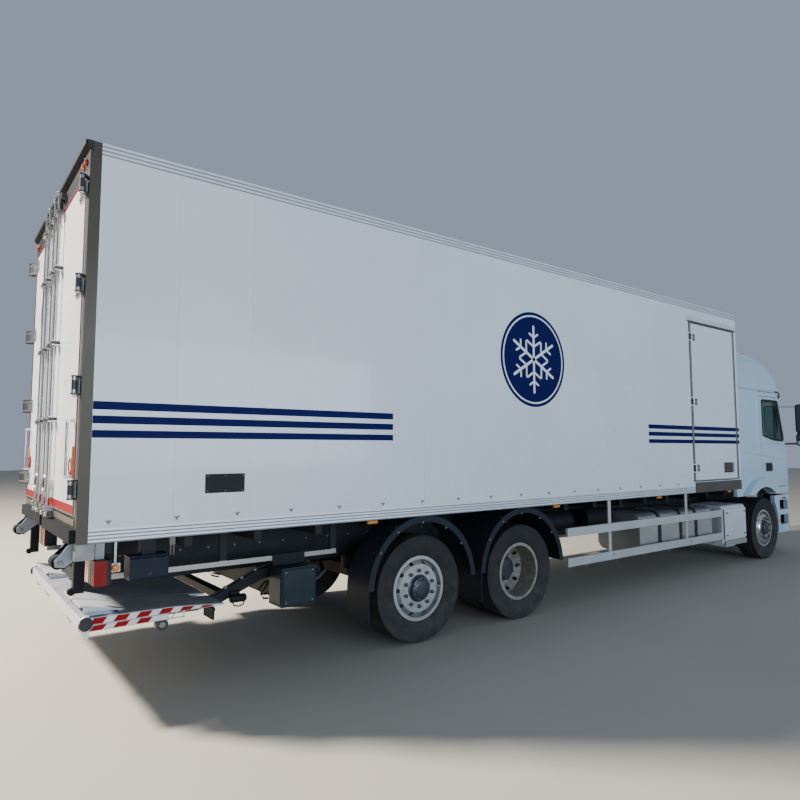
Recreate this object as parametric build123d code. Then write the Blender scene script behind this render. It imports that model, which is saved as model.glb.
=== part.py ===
from build123d import *
import math
import os

# A three-axle refrigerated truck: ladder chassis, tilting sleeper cab, insulated box body with rear and
# side doors, retractable tail lift folded under the rear end. Millimetres, X forward, Y left, Z up.
# The origin is on the ground, midway between the dock buffers at the rear and the bumper at the nose.

# Overall layout along the truck
FRONT_OVERHANG = 1380.0
WHEELBASE = 6100.0
BOGIE_SPACING = 1400.0
REAR_OVERHANG = 3014.0
BUFFER_DEPTH = 120.0

# Wheels
TYRE_RADIUS = 507.0
TYRE_WIDTH = 312.0
BEAD_RADIUS = 290.0
FLANGE_RADIUS = 306.0
RIM_THICKNESS = 12.0
TWIN_SPACING = 340.0
FRONT_TRACK_HALF = 1064.0
DRIVE_OUTER_HALF = 1089.0
TAG_TRACK_HALF = 1079.0
HAND_HOLE_COUNT = 10
HAND_HOLE_RADIUS = 21.6
HUB_RADIUS = 140.0
KINGPIN_HALF = 880.0
KINGPIN_RADIUS = 25.0

# Chassis
RAIL_OUTER_HALF = 425.0
RAIL_TOP_Z = 1020.0
RAIL_DEPTH = 270.0
RAIL_FLANGE = 80.0
RAIL_WEB = 8.0
CROSSMEMBER_COUNT = 12
CROSSMEMBER_SIZE = 90.0
BEARER_PITCH = 560.0
BEARER_WIDTH = 60.0
RUNNER_WIDTH = 70.0

# Box body
BOX_LENGTH = 9534.0
BOX_HALF = 1300.0
BOX_FLOOR_Z = 1202.0
BOX_TOP_Z = 4000.0
WALL = 60.0
ROOF_THICKNESS = 85.0
FLOOR_THICKNESS = 125.0
FRONT_WALL = 80.0
LOWER_RAIL_HEIGHT = 97.0
TOP_RAIL_HEIGHT = 88.0
RIB_DEPTH = 5.0
RAIL_RIBS = 4
POST_DEPTH = 75.0
SILL_TOP_Z = 1366.0
HEADER_Z = 3810.0
REAR_DOOR_GAP = 10.0
REAR_DOOR_THICKNESS = 75.0
HINGE_SET_BACK = 50.0
HINGE_OUTBOARD = 20.0
HINGE_RADIUS = 12.0
HINGE_HEIGHT = 110.0
REAR_HINGE_Z = (1570.0, 2270.0, 2970.0, 3670.0)

# Side door in the right wall, from the tag axle
SIDE_DOOR_START = 5090.0
SIDE_DOOR_WIDTH = 1310.0
SIDE_DOOR_BOTTOM_Z = 1370.0
SIDE_DOOR_TOP_Z = 3710.0
SIDE_DOOR_GAP = 10.0
SIDE_HINGE_Z = (1560.0, 2530.0, 3490.0)
SIDE_PIN_OUTBOARD = 25.0

# Cab
CAB_REAR_BACK = 820.0
CAB_HALF = 1150.0
CAB_WALL = 60.0
CAB_BOTTOM_Z = 1060.0
CAB_JOIN_Z = 2870.0
CAB_FLOOR_Z = 1300.0
TUNNEL_TOP_Z = 1560.0
TUNNEL_HALF = 540.0
CAB_SHEET = 40.0
ARCH_RADIUS = 690.0
ARCH_LIP_RADIUS = 840.0
ARCH_LIP_OUT = 100.0
CAB_DOOR_GAP = 10.0
CAB_DOOR_REAR = 130.0
CAB_DOOR_FRONT = 1080.0
CAB_DOOR_BOTTOM_Z = 1180.0
CAB_DOOR_TOP_Z = 2750.0
CAB_PIN_OUTBOARD = 12.0
CAB_PIN_RADIUS = 9.0
GLASS = 6.0

# Tail lift, from the tag axle
LIFT_PLATFORM_HALF = 1200.0
LIFT_PLATFORM_REAR = 2940.0
LIFT_TIP_LENGTH = 1000.0
LIFT_ARM_HALF = 790.0
LIFT_ARM_WIDTH = 70.0

# Seating clearance between pieces of different bodies and round soft pieces
SEAT = 0.3

# Stations worked out from the layout
OVERALL_LENGTH = FRONT_OVERHANG + WHEELBASE + BOGIE_SPACING + REAR_OVERHANG + BUFFER_DEPTH
X_BOX_REAR = -OVERALL_LENGTH / 2 + BUFFER_DEPTH
X_TAG = X_BOX_REAR + REAR_OVERHANG
X_DRIVE = X_TAG + BOGIE_SPACING
X_FRONT = X_DRIVE + WHEELBASE
X_NOSE = X_FRONT + FRONT_OVERHANG
X_BOX_FRONT = X_BOX_REAR + BOX_LENGTH
AXLE_Z = TYRE_RADIUS
BOX_INNER = BOX_HALF - WALL
FLOOR_TOP_Z = BOX_FLOOR_Z + FLOOR_THICKNESS
ROOF_UNDER_Z = BOX_TOP_Z - ROOF_THICKNESS
RAIL_BOTTOM_Z = RAIL_TOP_Z - RAIL_DEPTH
X_CAB_REAR = X_FRONT - CAB_REAR_BACK


def block(x0, x1, y0, y1, z0, z1):
    """A box given by its low and high planes."""
    return Pos((x0 + x1) / 2, (y0 + y1) / 2, (z0 + z1) / 2) * Box(x1 - x0, y1 - y0, z1 - z0)


def side_prism(points, y0, y1):
    """An outline in X and Z, extruded along Y."""
    face = Plane.XZ * make_face(Polyline(*points, close=True))
    return Pos(0, y1, 0) * extrude(face, y1 - y0, dir=(0, -1, 0))


def end_prism(points, x0, x1):
    """An outline in Y and Z, extruded along X."""
    face = Plane.YZ * make_face(Polyline(*points, close=True))
    return Pos(x0, 0, 0) * extrude(face, x1 - x0, dir=(1, 0, 0))


def plan_prism(points, z0, z1):
    """An outline in X and Y, extruded along Z."""
    face = make_face(Polyline(*points, close=True))
    return Pos(0, 0, z0) * extrude(face, z1 - z0, dir=(0, 0, 1))


def rod_y(x, z, radius, y0, y1):
    """A round bar along Y."""
    return Pos(x, (y0 + y1) / 2, z) * Rot(90, 0, 0) * Cylinder(radius, y1 - y0)


def rod_x(y, z, radius, x0, x1):
    """A round bar along X."""
    return Pos((x0 + x1) / 2, y, z) * Rot(0, 90, 0) * Cylinder(radius, x1 - x0)


def rod_z(x, y, radius, z0, z1):
    """A round bar along Z."""
    return Pos(x, y, (z0 + z1) / 2) * Cylinder(radius, z1 - z0)


def other_side(shape):
    """The same piece on the other side of the truck."""
    return mirror(shape, Plane.XZ)


def both_sides(shape):
    return [shape, other_side(shape)]


def fuse(shapes):
    """One solid out of pieces that touch."""
    first = shapes[0]
    rest = shapes[1:]
    return first.fuse(*rest) if rest else first


def save(name, shapes):
    """Write one node: separate solids stay separate in one file."""
    solids = []
    for shape in shapes if isinstance(shapes, list) else [shapes]:
        solids.extend(shape.solids())
    export_step(Compound(children=solids), os.path.join("parts", name + ".step"))


os.makedirs("parts", exist_ok=True)


# Ladder frame: two channel rails with crossmembers between their webs
RAIL_REAR_X = X_BOX_REAR + 200.0
RAIL_FRONT_X = X_NOSE - 250.0
JAW_Z = (455.0, 545.0)
JAW_PLATE = 22.0
JAW_REACH = 130.0
JAW_HALF = 50.0
JAW_HOLE_RADIUS = 19.0
JAW_HOLE_BACK = 50.0
FRONT_BEAM_DEPTH = 60.0
FRONT_BEAM_HALF = 380.0
TILT_BEARER = 30.0
CAB_REST_BACK = 200.0
CAB_REST_LENGTH = 90.0
TILT_X = X_NOSE - 130.0
TILT_Z = 800.0
TILT_PIN_RADIUS = 20.0
TILT_LUG = 36.0
TILT_LUG_GAP = 3.0
ENGINE_REAR_X = X_FRONT - 500.0
ENGINE_FRONT_X = X_FRONT + 700.0
ENGINE_HALF = 330.0
ENGINE_Z = (560.0, 1450.0)
GEARBOX_REAR_X = ENGINE_REAR_X - 900.0
GEARBOX_HALF = 240.0
GEARBOX_Z = (640.0, 1010.0)
SHAFT_RADIUS = 55.0


def chassis_frame():
    channel = [
        (RAIL_OUTER_HALF, RAIL_BOTTOM_Z),
        (RAIL_OUTER_HALF, RAIL_TOP_Z),
        (RAIL_OUTER_HALF - RAIL_FLANGE, RAIL_TOP_Z),
        (RAIL_OUTER_HALF - RAIL_FLANGE, RAIL_TOP_Z - RAIL_WEB),
        (RAIL_OUTER_HALF - RAIL_WEB, RAIL_TOP_Z - RAIL_WEB),
        (RAIL_OUTER_HALF - RAIL_WEB, RAIL_BOTTOM_Z + RAIL_WEB),
        (RAIL_OUTER_HALF - RAIL_FLANGE, RAIL_BOTTOM_Z + RAIL_WEB),
        (RAIL_OUTER_HALF - RAIL_FLANGE, RAIL_BOTTOM_Z),
    ]
    pieces = both_sides(end_prism(channel, RAIL_REAR_X, RAIL_FRONT_X))
    pitch = (RAIL_FRONT_X - RAIL_REAR_X - CROSSMEMBER_SIZE) / (CROSSMEMBER_COUNT - 1)
    reach = RAIL_OUTER_HALF - RAIL_WEB
    for index in range(CROSSMEMBER_COUNT):
        x = RAIL_REAR_X + index * pitch
        low = RAIL_BOTTOM_Z + RAIL_WEB
        if GEARBOX_REAR_X - CROSSMEMBER_SIZE - 20.0 < x < ENGINE_FRONT_X + 20.0:
            continue
        pieces.append(block(x, x + CROSSMEMBER_SIZE, -reach, reach, low, low + CROSSMEMBER_SIZE))
    beam_rear = RAIL_FRONT_X - FRONT_BEAM_DEPTH
    pieces.append(block(beam_rear, RAIL_FRONT_X, -FRONT_BEAM_HALF, FRONT_BEAM_HALF,
                        JAW_Z[0] - 15, RAIL_BOTTOM_Z + RAIL_WEB + 10))
    for low in (JAW_Z[0], JAW_Z[1] - JAW_PLATE):
        pieces.append(block(RAIL_FRONT_X - 1, RAIL_FRONT_X + JAW_REACH, -JAW_HALF, JAW_HALF,
                            low, low + JAW_PLATE))
    for side in (1, -1):
        y0, y1 = sorted((side * (RAIL_OUTER_HALF - TILT_BEARER), side * RAIL_OUTER_HALF))
        bearer = [(beam_rear, RAIL_BOTTOM_Z), (TILT_X, TILT_Z - 2 * TILT_PIN_RADIUS), (TILT_X + 28, TILT_Z),
                  (TILT_X, TILT_Z + 2 * TILT_PIN_RADIUS), (beam_rear, RAIL_BOTTOM_Z + 160)]
        pieces.append(side_prism(bearer, y0, y1))
        pin_end = side * (RAIL_OUTER_HALF + TILT_LUG_GAP + TILT_LUG + 6)
        pieces.append(rod_y(TILT_X, TILT_Z, TILT_PIN_RADIUS, *sorted((side * (RAIL_OUTER_HALF - 10), pin_end))))
        y0, y1 = sorted((side * (RAIL_OUTER_HALF - 2), side * (TUNNEL_HALF + 5)))
        rest_x = X_CAB_REAR + CAB_REST_BACK
        pieces.append(block(rest_x, rest_x + CAB_REST_LENGTH, y0, y1, RAIL_TOP_Z - 60, CAB_BOTTOM_Z - SEAT))
    frame = fuse(pieces)
    return frame - rod_z(RAIL_FRONT_X + JAW_REACH - JAW_HOLE_BACK, 0, JAW_HOLE_RADIUS,
                         JAW_Z[0] - 1, JAW_Z[1] + 1)


save("chassis_frame", chassis_frame())

# Box subframe: runners along the rails and cross bearers, short ones over the wheels
RUNNER_TOP_Z = RAIL_TOP_Z + 90.0
BEARER_HALF = 1190.0
BEARER_COUNT = int((BOX_LENGTH - BEARER_PITCH) // BEARER_PITCH) + 1
GUARD_RADIUS = 660.0
GUARD_THICKNESS = 12.0
GUARD_SHIFT = 35.0
GUARD_RISE = 30.0


def subframe():
    pieces = both_sides(
        block(RAIL_REAR_X, X_BOX_FRONT - 40.0, RAIL_OUTER_HALF - RUNNER_WIDTH, RAIL_OUTER_HALF,
              RAIL_TOP_Z, RUNNER_TOP_Z))
    guard_start = X_TAG + GUARD_SHIFT - GUARD_RADIUS - BEARER_WIDTH
    guard_end = X_DRIVE + GUARD_SHIFT + GUARD_RADIUS + 20.0
    for index in range(BEARER_COUNT):
        x = RAIL_REAR_X + index * BEARER_PITCH
        half = RAIL_OUTER_HALF if guard_start < x < guard_end else BEARER_HALF
        pieces.append(block(x, x + BEARER_WIDTH, -half, half, RUNNER_TOP_Z, BOX_FLOOR_Z))
    return fuse(pieces)


save("subframe", subframe())

# Wheels. A wheel's profiles hold radius and distance outward from its middle plane
SPINDLE_RADIUS = 40.0
BORE_RADIUS = SPINDLE_RADIUS + SEAT
BEAD_HALF = 115.0
BARREL_RADIUS = BEAD_RADIUS - RIM_THICKNESS - 4.0


def turned(profile, x, y, z, side):
    """A wheel profile turned about its axle, with outward pointing to the given side."""
    points = [(radius, side * outward) for radius, outward in profile]
    face = make_face(Polyline(*points, close=True))
    return Pos(x, y, z) * revolve(face, axis=Axis.Y)


def tyre(x, y, side):
    half = TYRE_WIDTH / 2
    profile = [
        (BEAD_RADIUS, -BEAD_HALF), (FLANGE_RADIUS + 2, -BEAD_HALF), (BEAD_RADIUS + 100, -half),
        (TYRE_RADIUS - 40, -half + 3), (TYRE_RADIUS, -half + 24), (TYRE_RADIUS, half - 24),
        (TYRE_RADIUS - 40, half - 3), (BEAD_RADIUS + 100, half), (FLANGE_RADIUS + 2, BEAD_HALF),
        (BEAD_RADIUS, BEAD_HALF),
    ]
    return turned(profile, x, y, AXLE_Z, side)


def barrel(x, y, side):
    inner = BEAD_HALF + SEAT
    outer = inner + 7.0
    seat_radius = BEAD_RADIUS - SEAT
    profile = [
        (BARREL_RADIUS, -outer), (FLANGE_RADIUS, -outer), (FLANGE_RADIUS, -inner), (seat_radius, -inner),
        (seat_radius, inner), (FLANGE_RADIUS, inner), (FLANGE_RADIUS, outer), (BARREL_RADIUS, outer),
    ]
    return turned(profile, x, y, AXLE_Z, side)


def hand_holes(x, y0, y1, count, circle):
    holes = []
    for index in range(count):
        angle = math.radians(360.0 * index / count)
        holes.append(rod_y(x + circle * math.cos(angle), AXLE_Z + circle * math.sin(angle),
                           HAND_HOLE_RADIUS, min(y0, y1), max(y0, y1)))
    return holes


HUB_DEPTH = 75.0
NAVE_OUT = 118.0
DISC_THICKNESS = 14.0
HOLE_CIRCLE = 246.0


def single_wheel(x, centre_half, side):
    """A single wheel: its disc stands outward and the hub cap ends level with the tyre."""
    y = side * centre_half
    nave_in = NAVE_OUT - DISC_THICKNESS
    profile = [
        (0, 30), (BORE_RADIUS, 30), (BORE_RADIUS, -HUB_DEPTH), (180, -HUB_DEPTH), (180, -40),
        (HUB_RADIUS - 10, -20), (HUB_RADIUS - 10, nave_in), (218, nave_in), (BARREL_RADIUS + 2, 40),
        (BARREL_RADIUS + 8, 40), (BARREL_RADIUS + 8, 56), (226, NAVE_OUT), (HUB_RADIUS - 10, NAVE_OUT),
        (HUB_RADIUS - 28, NAVE_OUT + 4), (100, 156), (70, 168), (0, 168),
    ]
    disc = turned(profile, x, y, AXLE_Z, side)
    for hole in hand_holes(x, y + side * 35, y + side * 125, HAND_HOLE_COUNT, HOLE_CIRCLE):
        disc = disc - hole
    return [tyre(x, y, side)], fuse([disc, barrel(x, y, side)])


def twin_wheel(x, outer_half, side):
    """Twin wheels bolted back to back: the outer one is a deep dish."""
    middle = side * (outer_half - TWIN_SPACING / 2)
    offset = TWIN_SPACING / 2
    edge = offset - BEAD_HALF + 4.0
    profile = [
        (0, 40), (BORE_RADIUS, 40), (BORE_RADIUS, -310), (200, -310), (200, -130),
        (HUB_RADIUS, -110), (HUB_RADIUS, -DISC_THICKNESS), (210, -DISC_THICKNESS),
        (BARREL_RADIUS + 1, -edge - 16), (BARREL_RADIUS + 8, -edge - 16), (BARREL_RADIUS + 8, -edge),
        (222, 0), (BARREL_RADIUS + 8, edge), (BARREL_RADIUS + 8, edge + 16),
        (BARREL_RADIUS + 1, edge + 16), (210, DISC_THICKNESS), (HUB_RADIUS, DISC_THICKNESS),
        (HUB_RADIUS, 60), (110, 66), (100, 110), (0, 110),
    ]
    disc = turned(profile, x, middle, AXLE_Z, side)
    for hole in hand_holes(x, middle - 90, middle + 90, HAND_HOLE_COUNT, HOLE_CIRCLE):
        disc = disc - hole
    tyres = []
    rims = [disc]
    for shift in (offset, -offset):
        y = middle + side * shift
        tyres.append(tyre(x, y, side))
        rims.append(barrel(x, y, side))
    return tyres, fuse(rims)


for axle, x, centre_half, build_wheel in (
        ("front", X_FRONT, FRONT_TRACK_HALF, single_wheel),
        ("drive", X_DRIVE, DRIVE_OUTER_HALF, twin_wheel),
        ("tag", X_TAG, TAG_TRACK_HALF, single_wheel)):
    for word, side in (("left", 1), ("right", -1)):
        tyres, rim = build_wheel(x, centre_half, side)
        save(axle + "_tyre_" + word, tyres)
        save(axle + "_rim_" + word, rim)

# Front axle: forged beam, dropped in the middle, with an eye for each kingpin
EYE_RADIUS = 55.0
EYE_LOW_Z = AXLE_Z - 75.0
EYE_HIGH_Z = AXLE_Z + 75.0
BEAM_DEPTH = 100.0


def front_axle():
    outline = [
        (-KINGPIN_HALF, EYE_LOW_Z + 20), (-KINGPIN_HALF, EYE_HIGH_Z - 20), (-700, EYE_HIGH_Z - 20),
        (-560, 500), (560, 500), (700, EYE_HIGH_Z - 20), (KINGPIN_HALF, EYE_HIGH_Z - 20),
        (KINGPIN_HALF, EYE_LOW_Z + 20), (700, EYE_LOW_Z + 20), (560, 390), (-560, 390),
        (-700, EYE_LOW_Z + 20),
    ]
    half = BEAM_DEPTH / 2
    pieces = [end_prism(outline, X_FRONT - half, X_FRONT + half)]
    for side in (1, -1):
        pieces.append(rod_z(X_FRONT, side * KINGPIN_HALF, EYE_RADIUS, EYE_LOW_Z, EYE_HIGH_Z))
    beam = fuse(pieces)
    for side in (1, -1):
        beam = beam - rod_z(X_FRONT, side * KINGPIN_HALF, KINGPIN_RADIUS + SEAT, EYE_LOW_Z - 1, EYE_HIGH_Z + 1)
    return beam


save("front_axle", front_axle())

# Steering knuckles: a fork round the beam's eye, the kingpin and the spindle of the wheel
FORK_PLATE = 45.0
FORK_BACK = 75.0


def knuckle(side):
    low = EYE_LOW_Z - SEAT
    high = EYE_HIGH_Z + SEAT
    back_y = KINGPIN_HALF + FORK_BACK
    plate_half = EYE_RADIUS
    spindle_end = FRONT_TRACK_HALF + 20.0
    pieces = [
        rod_z(X_FRONT, KINGPIN_HALF, plate_half, low - FORK_PLATE, low),
        rod_z(X_FRONT, KINGPIN_HALF, plate_half, high, high + FORK_PLATE),
        rod_z(X_FRONT, KINGPIN_HALF, KINGPIN_RADIUS, low - FORK_PLATE, high + FORK_PLATE),
        block(X_FRONT - plate_half, X_FRONT + plate_half, KINGPIN_HALF, back_y + 25, low - FORK_PLATE, low),
        block(X_FRONT - plate_half, X_FRONT + plate_half, KINGPIN_HALF, back_y + 25, high, high + FORK_PLATE),
        block(X_FRONT - plate_half, X_FRONT + plate_half, back_y, back_y + 25,
              low - FORK_PLATE, high + FORK_PLATE),
        rod_y(X_FRONT, AXLE_Z, SPINDLE_RADIUS, back_y, spindle_end),
    ]
    shape = fuse(pieces)
    return shape if side > 0 else other_side(shape)


save("knuckle_left", knuckle(1))
save("knuckle_right", knuckle(-1))

# Drive axle: housing with the final drive in the middle and spindles for the twin wheels
DRIVE_HUB_INNER = DRIVE_OUTER_HALF - TWIN_SPACING / 2 - 310.0
TAG_HUB_INNER = TAG_TRACK_HALF - HUB_DEPTH
PINION_RISE = 130.0
PINION_REACH = 330.0


def drive_axle():
    end = DRIVE_HUB_INNER - 6.0
    spindle_end = DRIVE_OUTER_HALF - TWIN_SPACING / 2 + 30.0
    profile = [
        (0, -spindle_end), (SPINDLE_RADIUS, -spindle_end), (SPINDLE_RADIUS, -end), (75, -end), (75, -300),
        (230, -110), (230, 110), (75, 300), (75, end), (SPINDLE_RADIUS, end),
        (SPINDLE_RADIUS, spindle_end), (0, spindle_end),
    ]
    nose = rod_x(0, AXLE_Z + PINION_RISE, 80, X_DRIVE, X_DRIVE + PINION_REACH)
    return fuse([turned(profile, X_DRIVE, 0, AXLE_Z, 1), nose])


def tag_axle():
    end = TAG_HUB_INNER - 6.0
    spindle_end = TAG_TRACK_HALF + 20.0
    beam = block(X_TAG - 60, X_TAG + 60, -end, end, AXLE_Z - 60, AXLE_Z + 60)
    return fuse([beam, rod_y(X_TAG, AXLE_Z, SPINDLE_RADIUS, -spindle_end, spindle_end)])


save("rear_axles", [drive_axle(), tag_axle()])

# Suspension: leaf springs at the front, trailing arms with air bellows at the rear
SPRING_Y = 400.0
SPRING_WIDTH = 90.0
LEAF_HALF = 800.0
LEAF_SEAT_Z = (500.0, 530.0)
LEAF_END_DROP = (90.0, 70.0)
HANGER_DROP = 100.0
HANGER_HALF = 40.0
BELLOWS_RADIUS = 110.0
BELLOWS_BACK = 230.0
ARM_THICKNESS = 45.0
TRAIL_REACH = 560.0


def suspension():
    pieces = []
    end_low, end_high = (RAIL_BOTTOM_Z - drop for drop in LEAF_END_DROP)
    leaf = [
        (X_FRONT - LEAF_HALF, end_low), (X_FRONT - LEAF_HALF, end_high), (X_FRONT, LEAF_SEAT_Z[1]),
        (X_FRONT + LEAF_HALF, end_high), (X_FRONT + LEAF_HALF, end_low),
        (X_FRONT + 60, LEAF_SEAT_Z[0]), (X_FRONT - 60, LEAF_SEAT_Z[0]),
    ]
    y0 = SPRING_Y - SPRING_WIDTH / 2
    y1 = SPRING_Y + SPRING_WIDTH / 2
    front = [side_prism(leaf, y0, y1)]
    for x in (X_FRONT - LEAF_HALF, X_FRONT + LEAF_HALF):
        front.append(block(x - HANGER_HALF, x + HANGER_HALF, y0, y1, RAIL_BOTTOM_Z - HANGER_DROP, RAIL_BOTTOM_Z))
    pieces.extend(both_sides(fuse(front)))
    for x, top in ((X_DRIVE, AXLE_Z + 75), (X_TAG, AXLE_Z + 60)):
        seat = top + ARM_THICKNESS
        arm = [
            (x - 330, top), (x - 330, seat), (x + 100, seat), (x + TRAIL_REACH, RAIL_BOTTOM_Z - 120),
            (x + TRAIL_REACH, RAIL_BOTTOM_Z - 160), (x + 120, top), (x - 100, top),
        ]
        rear = [side_prism(arm, y0, y1)]
        rear.append(block(x + TRAIL_REACH - 60, x + TRAIL_REACH + 40, y0, y1, RAIL_BOTTOM_Z - 200, RAIL_BOTTOM_Z))
        rear.append(rod_z(x - BELLOWS_BACK, SPRING_Y - 40, BELLOWS_RADIUS, seat, RAIL_BOTTOM_Z))
        pieces.extend(both_sides(fuse(rear)))
    return pieces


save("suspension", suspension())

# Engine as one block under the cab tunnel, the gearbox and the shaft to the drive axle


def engine():
    return block(ENGINE_REAR_X, ENGINE_FRONT_X, -ENGINE_HALF, ENGINE_HALF, ENGINE_Z[0], ENGINE_Z[1])


def driveline():
    gearbox = block(GEARBOX_REAR_X, ENGINE_REAR_X, -GEARBOX_HALF, GEARBOX_HALF, GEARBOX_Z[0], GEARBOX_Z[1])
    shaft = rod_x(0, AXLE_Z + PINION_RISE, SHAFT_RADIUS, X_DRIVE + PINION_REACH, GEARBOX_REAR_X + 10)
    return fuse([gearbox, shaft])


save("powertrain", [engine(), driveline()])

# Fuel tank on the right with its straps and brackets
TANK_X = (X_FRONT - 3640.0, X_FRONT - 1680.0)
TANK_Y = (-1145.0, -490.0)
TANK_Z = (440.0, 962.0)
TANK_CORNER = 120.0
STRAP_X = (450.0, 995.0, 1441.0)
STRAP_WIDTH = 80.0
STRAP_THICKNESS = 6.0


def rounded_bar(x0, x1, y_range, z_range, corner, grow=0.0):
    """A bar along X with a rounded rectangular section."""
    width = y_range[1] - y_range[0] + 2 * grow
    height = z_range[1] - z_range[0] + 2 * grow
    section = Plane.YZ * RectangleRounded(width, height, corner + grow)
    bar = extrude(section, x1 - x0, dir=(1, 0, 0))
    return Pos(x0, (y_range[0] + y_range[1]) / 2, (z_range[0] + z_range[1]) / 2) * bar


def tank_straps():
    straps = []
    for offset in STRAP_X:
        x0 = TANK_X[0] + offset
        x1 = x0 + STRAP_WIDTH
        ring = rounded_bar(x0, x1, TANK_Y, TANK_Z, TANK_CORNER, SEAT + STRAP_THICKNESS)
        ring = ring - rounded_bar(x0 - 1, x1 + 1, TANK_Y, TANK_Z, TANK_CORNER, SEAT)
        inner_y = TANK_Y[1] + SEAT + 1.0
        arm = block(x0, x1, inner_y, -RAIL_OUTER_HALF, TANK_Z[0] + TANK_CORNER + 20, RAIL_TOP_Z - 60)
        straps.append(fuse([ring, arm]))
    return straps


save("fuel_tank", [rounded_bar(TANK_X[0], TANK_X[1], TANK_Y, TANK_Z, TANK_CORNER)] + tank_straps())

# Air tanks behind the fuel tank, each on a bracket
AIR_TANK_RADIUS = 125.0
AIR_TANK_Y = -640.0
AIR_TANK_Z = 905.0
AIR_TANK_SPANS = ((2400.0, 2960.0), (3260.0, 3820.0))


def air_tanks():
    tanks = []
    for start, end in AIR_TANK_SPANS:
        middle = (start + end) / 2
        tank = rod_x(AIR_TANK_Y, AIR_TANK_Z, AIR_TANK_RADIUS, X_TAG + start, X_TAG + end)
        arm = block(X_TAG + middle - 40, X_TAG + middle + 40, AIR_TANK_Y + 40, -RAIL_OUTER_HALF,
                    AIR_TANK_Z - 60, AIR_TANK_Z + 60)
        tanks.append(fuse([tank, arm]))
    return tanks


save("air_tanks", air_tanks())

# Battery box on the right behind the front wheel, and the closed boxes of the left side
BATTERY_X = (X_FRONT - 1450.0, X_FRONT - 690.0)
BATTERY_Y = (-1190.0, -600.0)
BATTERY_Z = (345.0, 950.0)
EXHAUST_X = (X_FRONT - 2150.0, X_FRONT - 1100.0)
EXHAUST_Y = (560.0, 1160.0)
EXHAUST_Z = (400.0, 960.0)
COOLER_X = (X_TAG + 2500.0, X_TAG + 4800.0)
COOLER_Y = (520.0, 1190.0)
COOLER_Z = (420.0, 1010.0)
BRACKET_WIDTH = 80.0
LOUVRE_START = (250.0, 1250.0)
LOUVRE_COUNT = 9
LOUVRE_PITCH = 42.0
LOUVRE_LENGTH = 800.0
LOUVRE_GAP = 22.0


def hung_box(x_range, y_range, z_range, corner, side):
    """A rounded box hung on the rail by two brackets."""
    body = rounded_bar(x_range[0], x_range[1], y_range, z_range, corner)
    pieces = [body]
    inner = y_range[1] - 2 if side < 0 else y_range[0] + 2
    for x in (x_range[0] + 90.0, x_range[1] - 90.0 - BRACKET_WIDTH):
        y0, y1 = sorted((side * RAIL_OUTER_HALF, inner))
        pieces.append(block(x, x + BRACKET_WIDTH, y0, y1, z_range[1] - 190, z_range[1] - 70))
    return fuse(pieces)


def battery_box():
    step = block(BATTERY_X[0] + 50, BATTERY_X[0] + 360, BATTERY_Y[0] - 20, BATTERY_Y[0] + 200,
                 BATTERY_Z[0] - 20, BATTERY_Z[0] + 25)
    return fuse([hung_box(BATTERY_X, BATTERY_Y, BATTERY_Z, 60, -1), step])


def refrigeration_unit():
    """The underslung cooling unit: a housing with two fan openings behind louvres."""
    unit = hung_box(COOLER_X, COOLER_Y, COOLER_Z, 50, 1)
    for start in LOUVRE_START:
        for index in range(LOUVRE_COUNT):
            z = COOLER_Z[0] + 110 + index * LOUVRE_PITCH
            x = COOLER_X[0] + start
            unit = unit - block(x, x + LOUVRE_LENGTH, COOLER_Y[1] - 25, COOLER_Y[1] + 1, z, z + LOUVRE_GAP)
    return unit


save("battery_box", battery_box())
save("exhaust_box", hung_box(EXHAUST_X, EXHAUST_Y, EXHAUST_Z, 70, 1))
save("refrigeration_unit", refrigeration_unit())

# Side guards: two rails each side on posts under the box floor
GUARD_RAIL_Y = 1240.0
GUARD_RAIL_THICKNESS = 35.0
GUARD_SPAN = (X_TAG + 2215.0, X_FRONT - 1515.0)
GUARD_RAIL_Z = ((458.0, 558.0), (805.0, 905.0))
GUARD_POST_X = (X_FRONT - 4400.0, X_FRONT - 2530.0)


def side_guard():
    inner = GUARD_RAIL_Y - GUARD_RAIL_THICKNESS
    pieces = []
    for low, high in GUARD_RAIL_Z:
        pieces.append(block(GUARD_SPAN[0], GUARD_SPAN[1], inner, GUARD_RAIL_Y, low, high))
    for x in GUARD_POST_X:
        pieces.append(block(x - 30, x + 30, inner - 12, inner + 1, GUARD_RAIL_Z[0][0], BOX_FLOOR_Z))
    pieces.append(block(GUARD_SPAN[1] - 45, GUARD_SPAN[1], inner, GUARD_RAIL_Y,
                        GUARD_RAIL_Z[0][0], GUARD_RAIL_Z[1][1]))
    return fuse(pieces)


save("side_guards", both_sides(side_guard()))

# Mudguards: half-round covers over the rear wheels on stays, and flaps behind the wheels
TAG_GUARD_Y = (900.0, 1255.0)
DRIVE_GUARD_Y = (570.0, 1262.0)
FLAP_THICKNESS = 10.0
FLAP_BOTTOM_Z = 272.0
STAY_RADIUS = 18.0
GUARD_EDGE = 60.0
GUARD_EDGE_THICKNESS = 10.0


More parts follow.
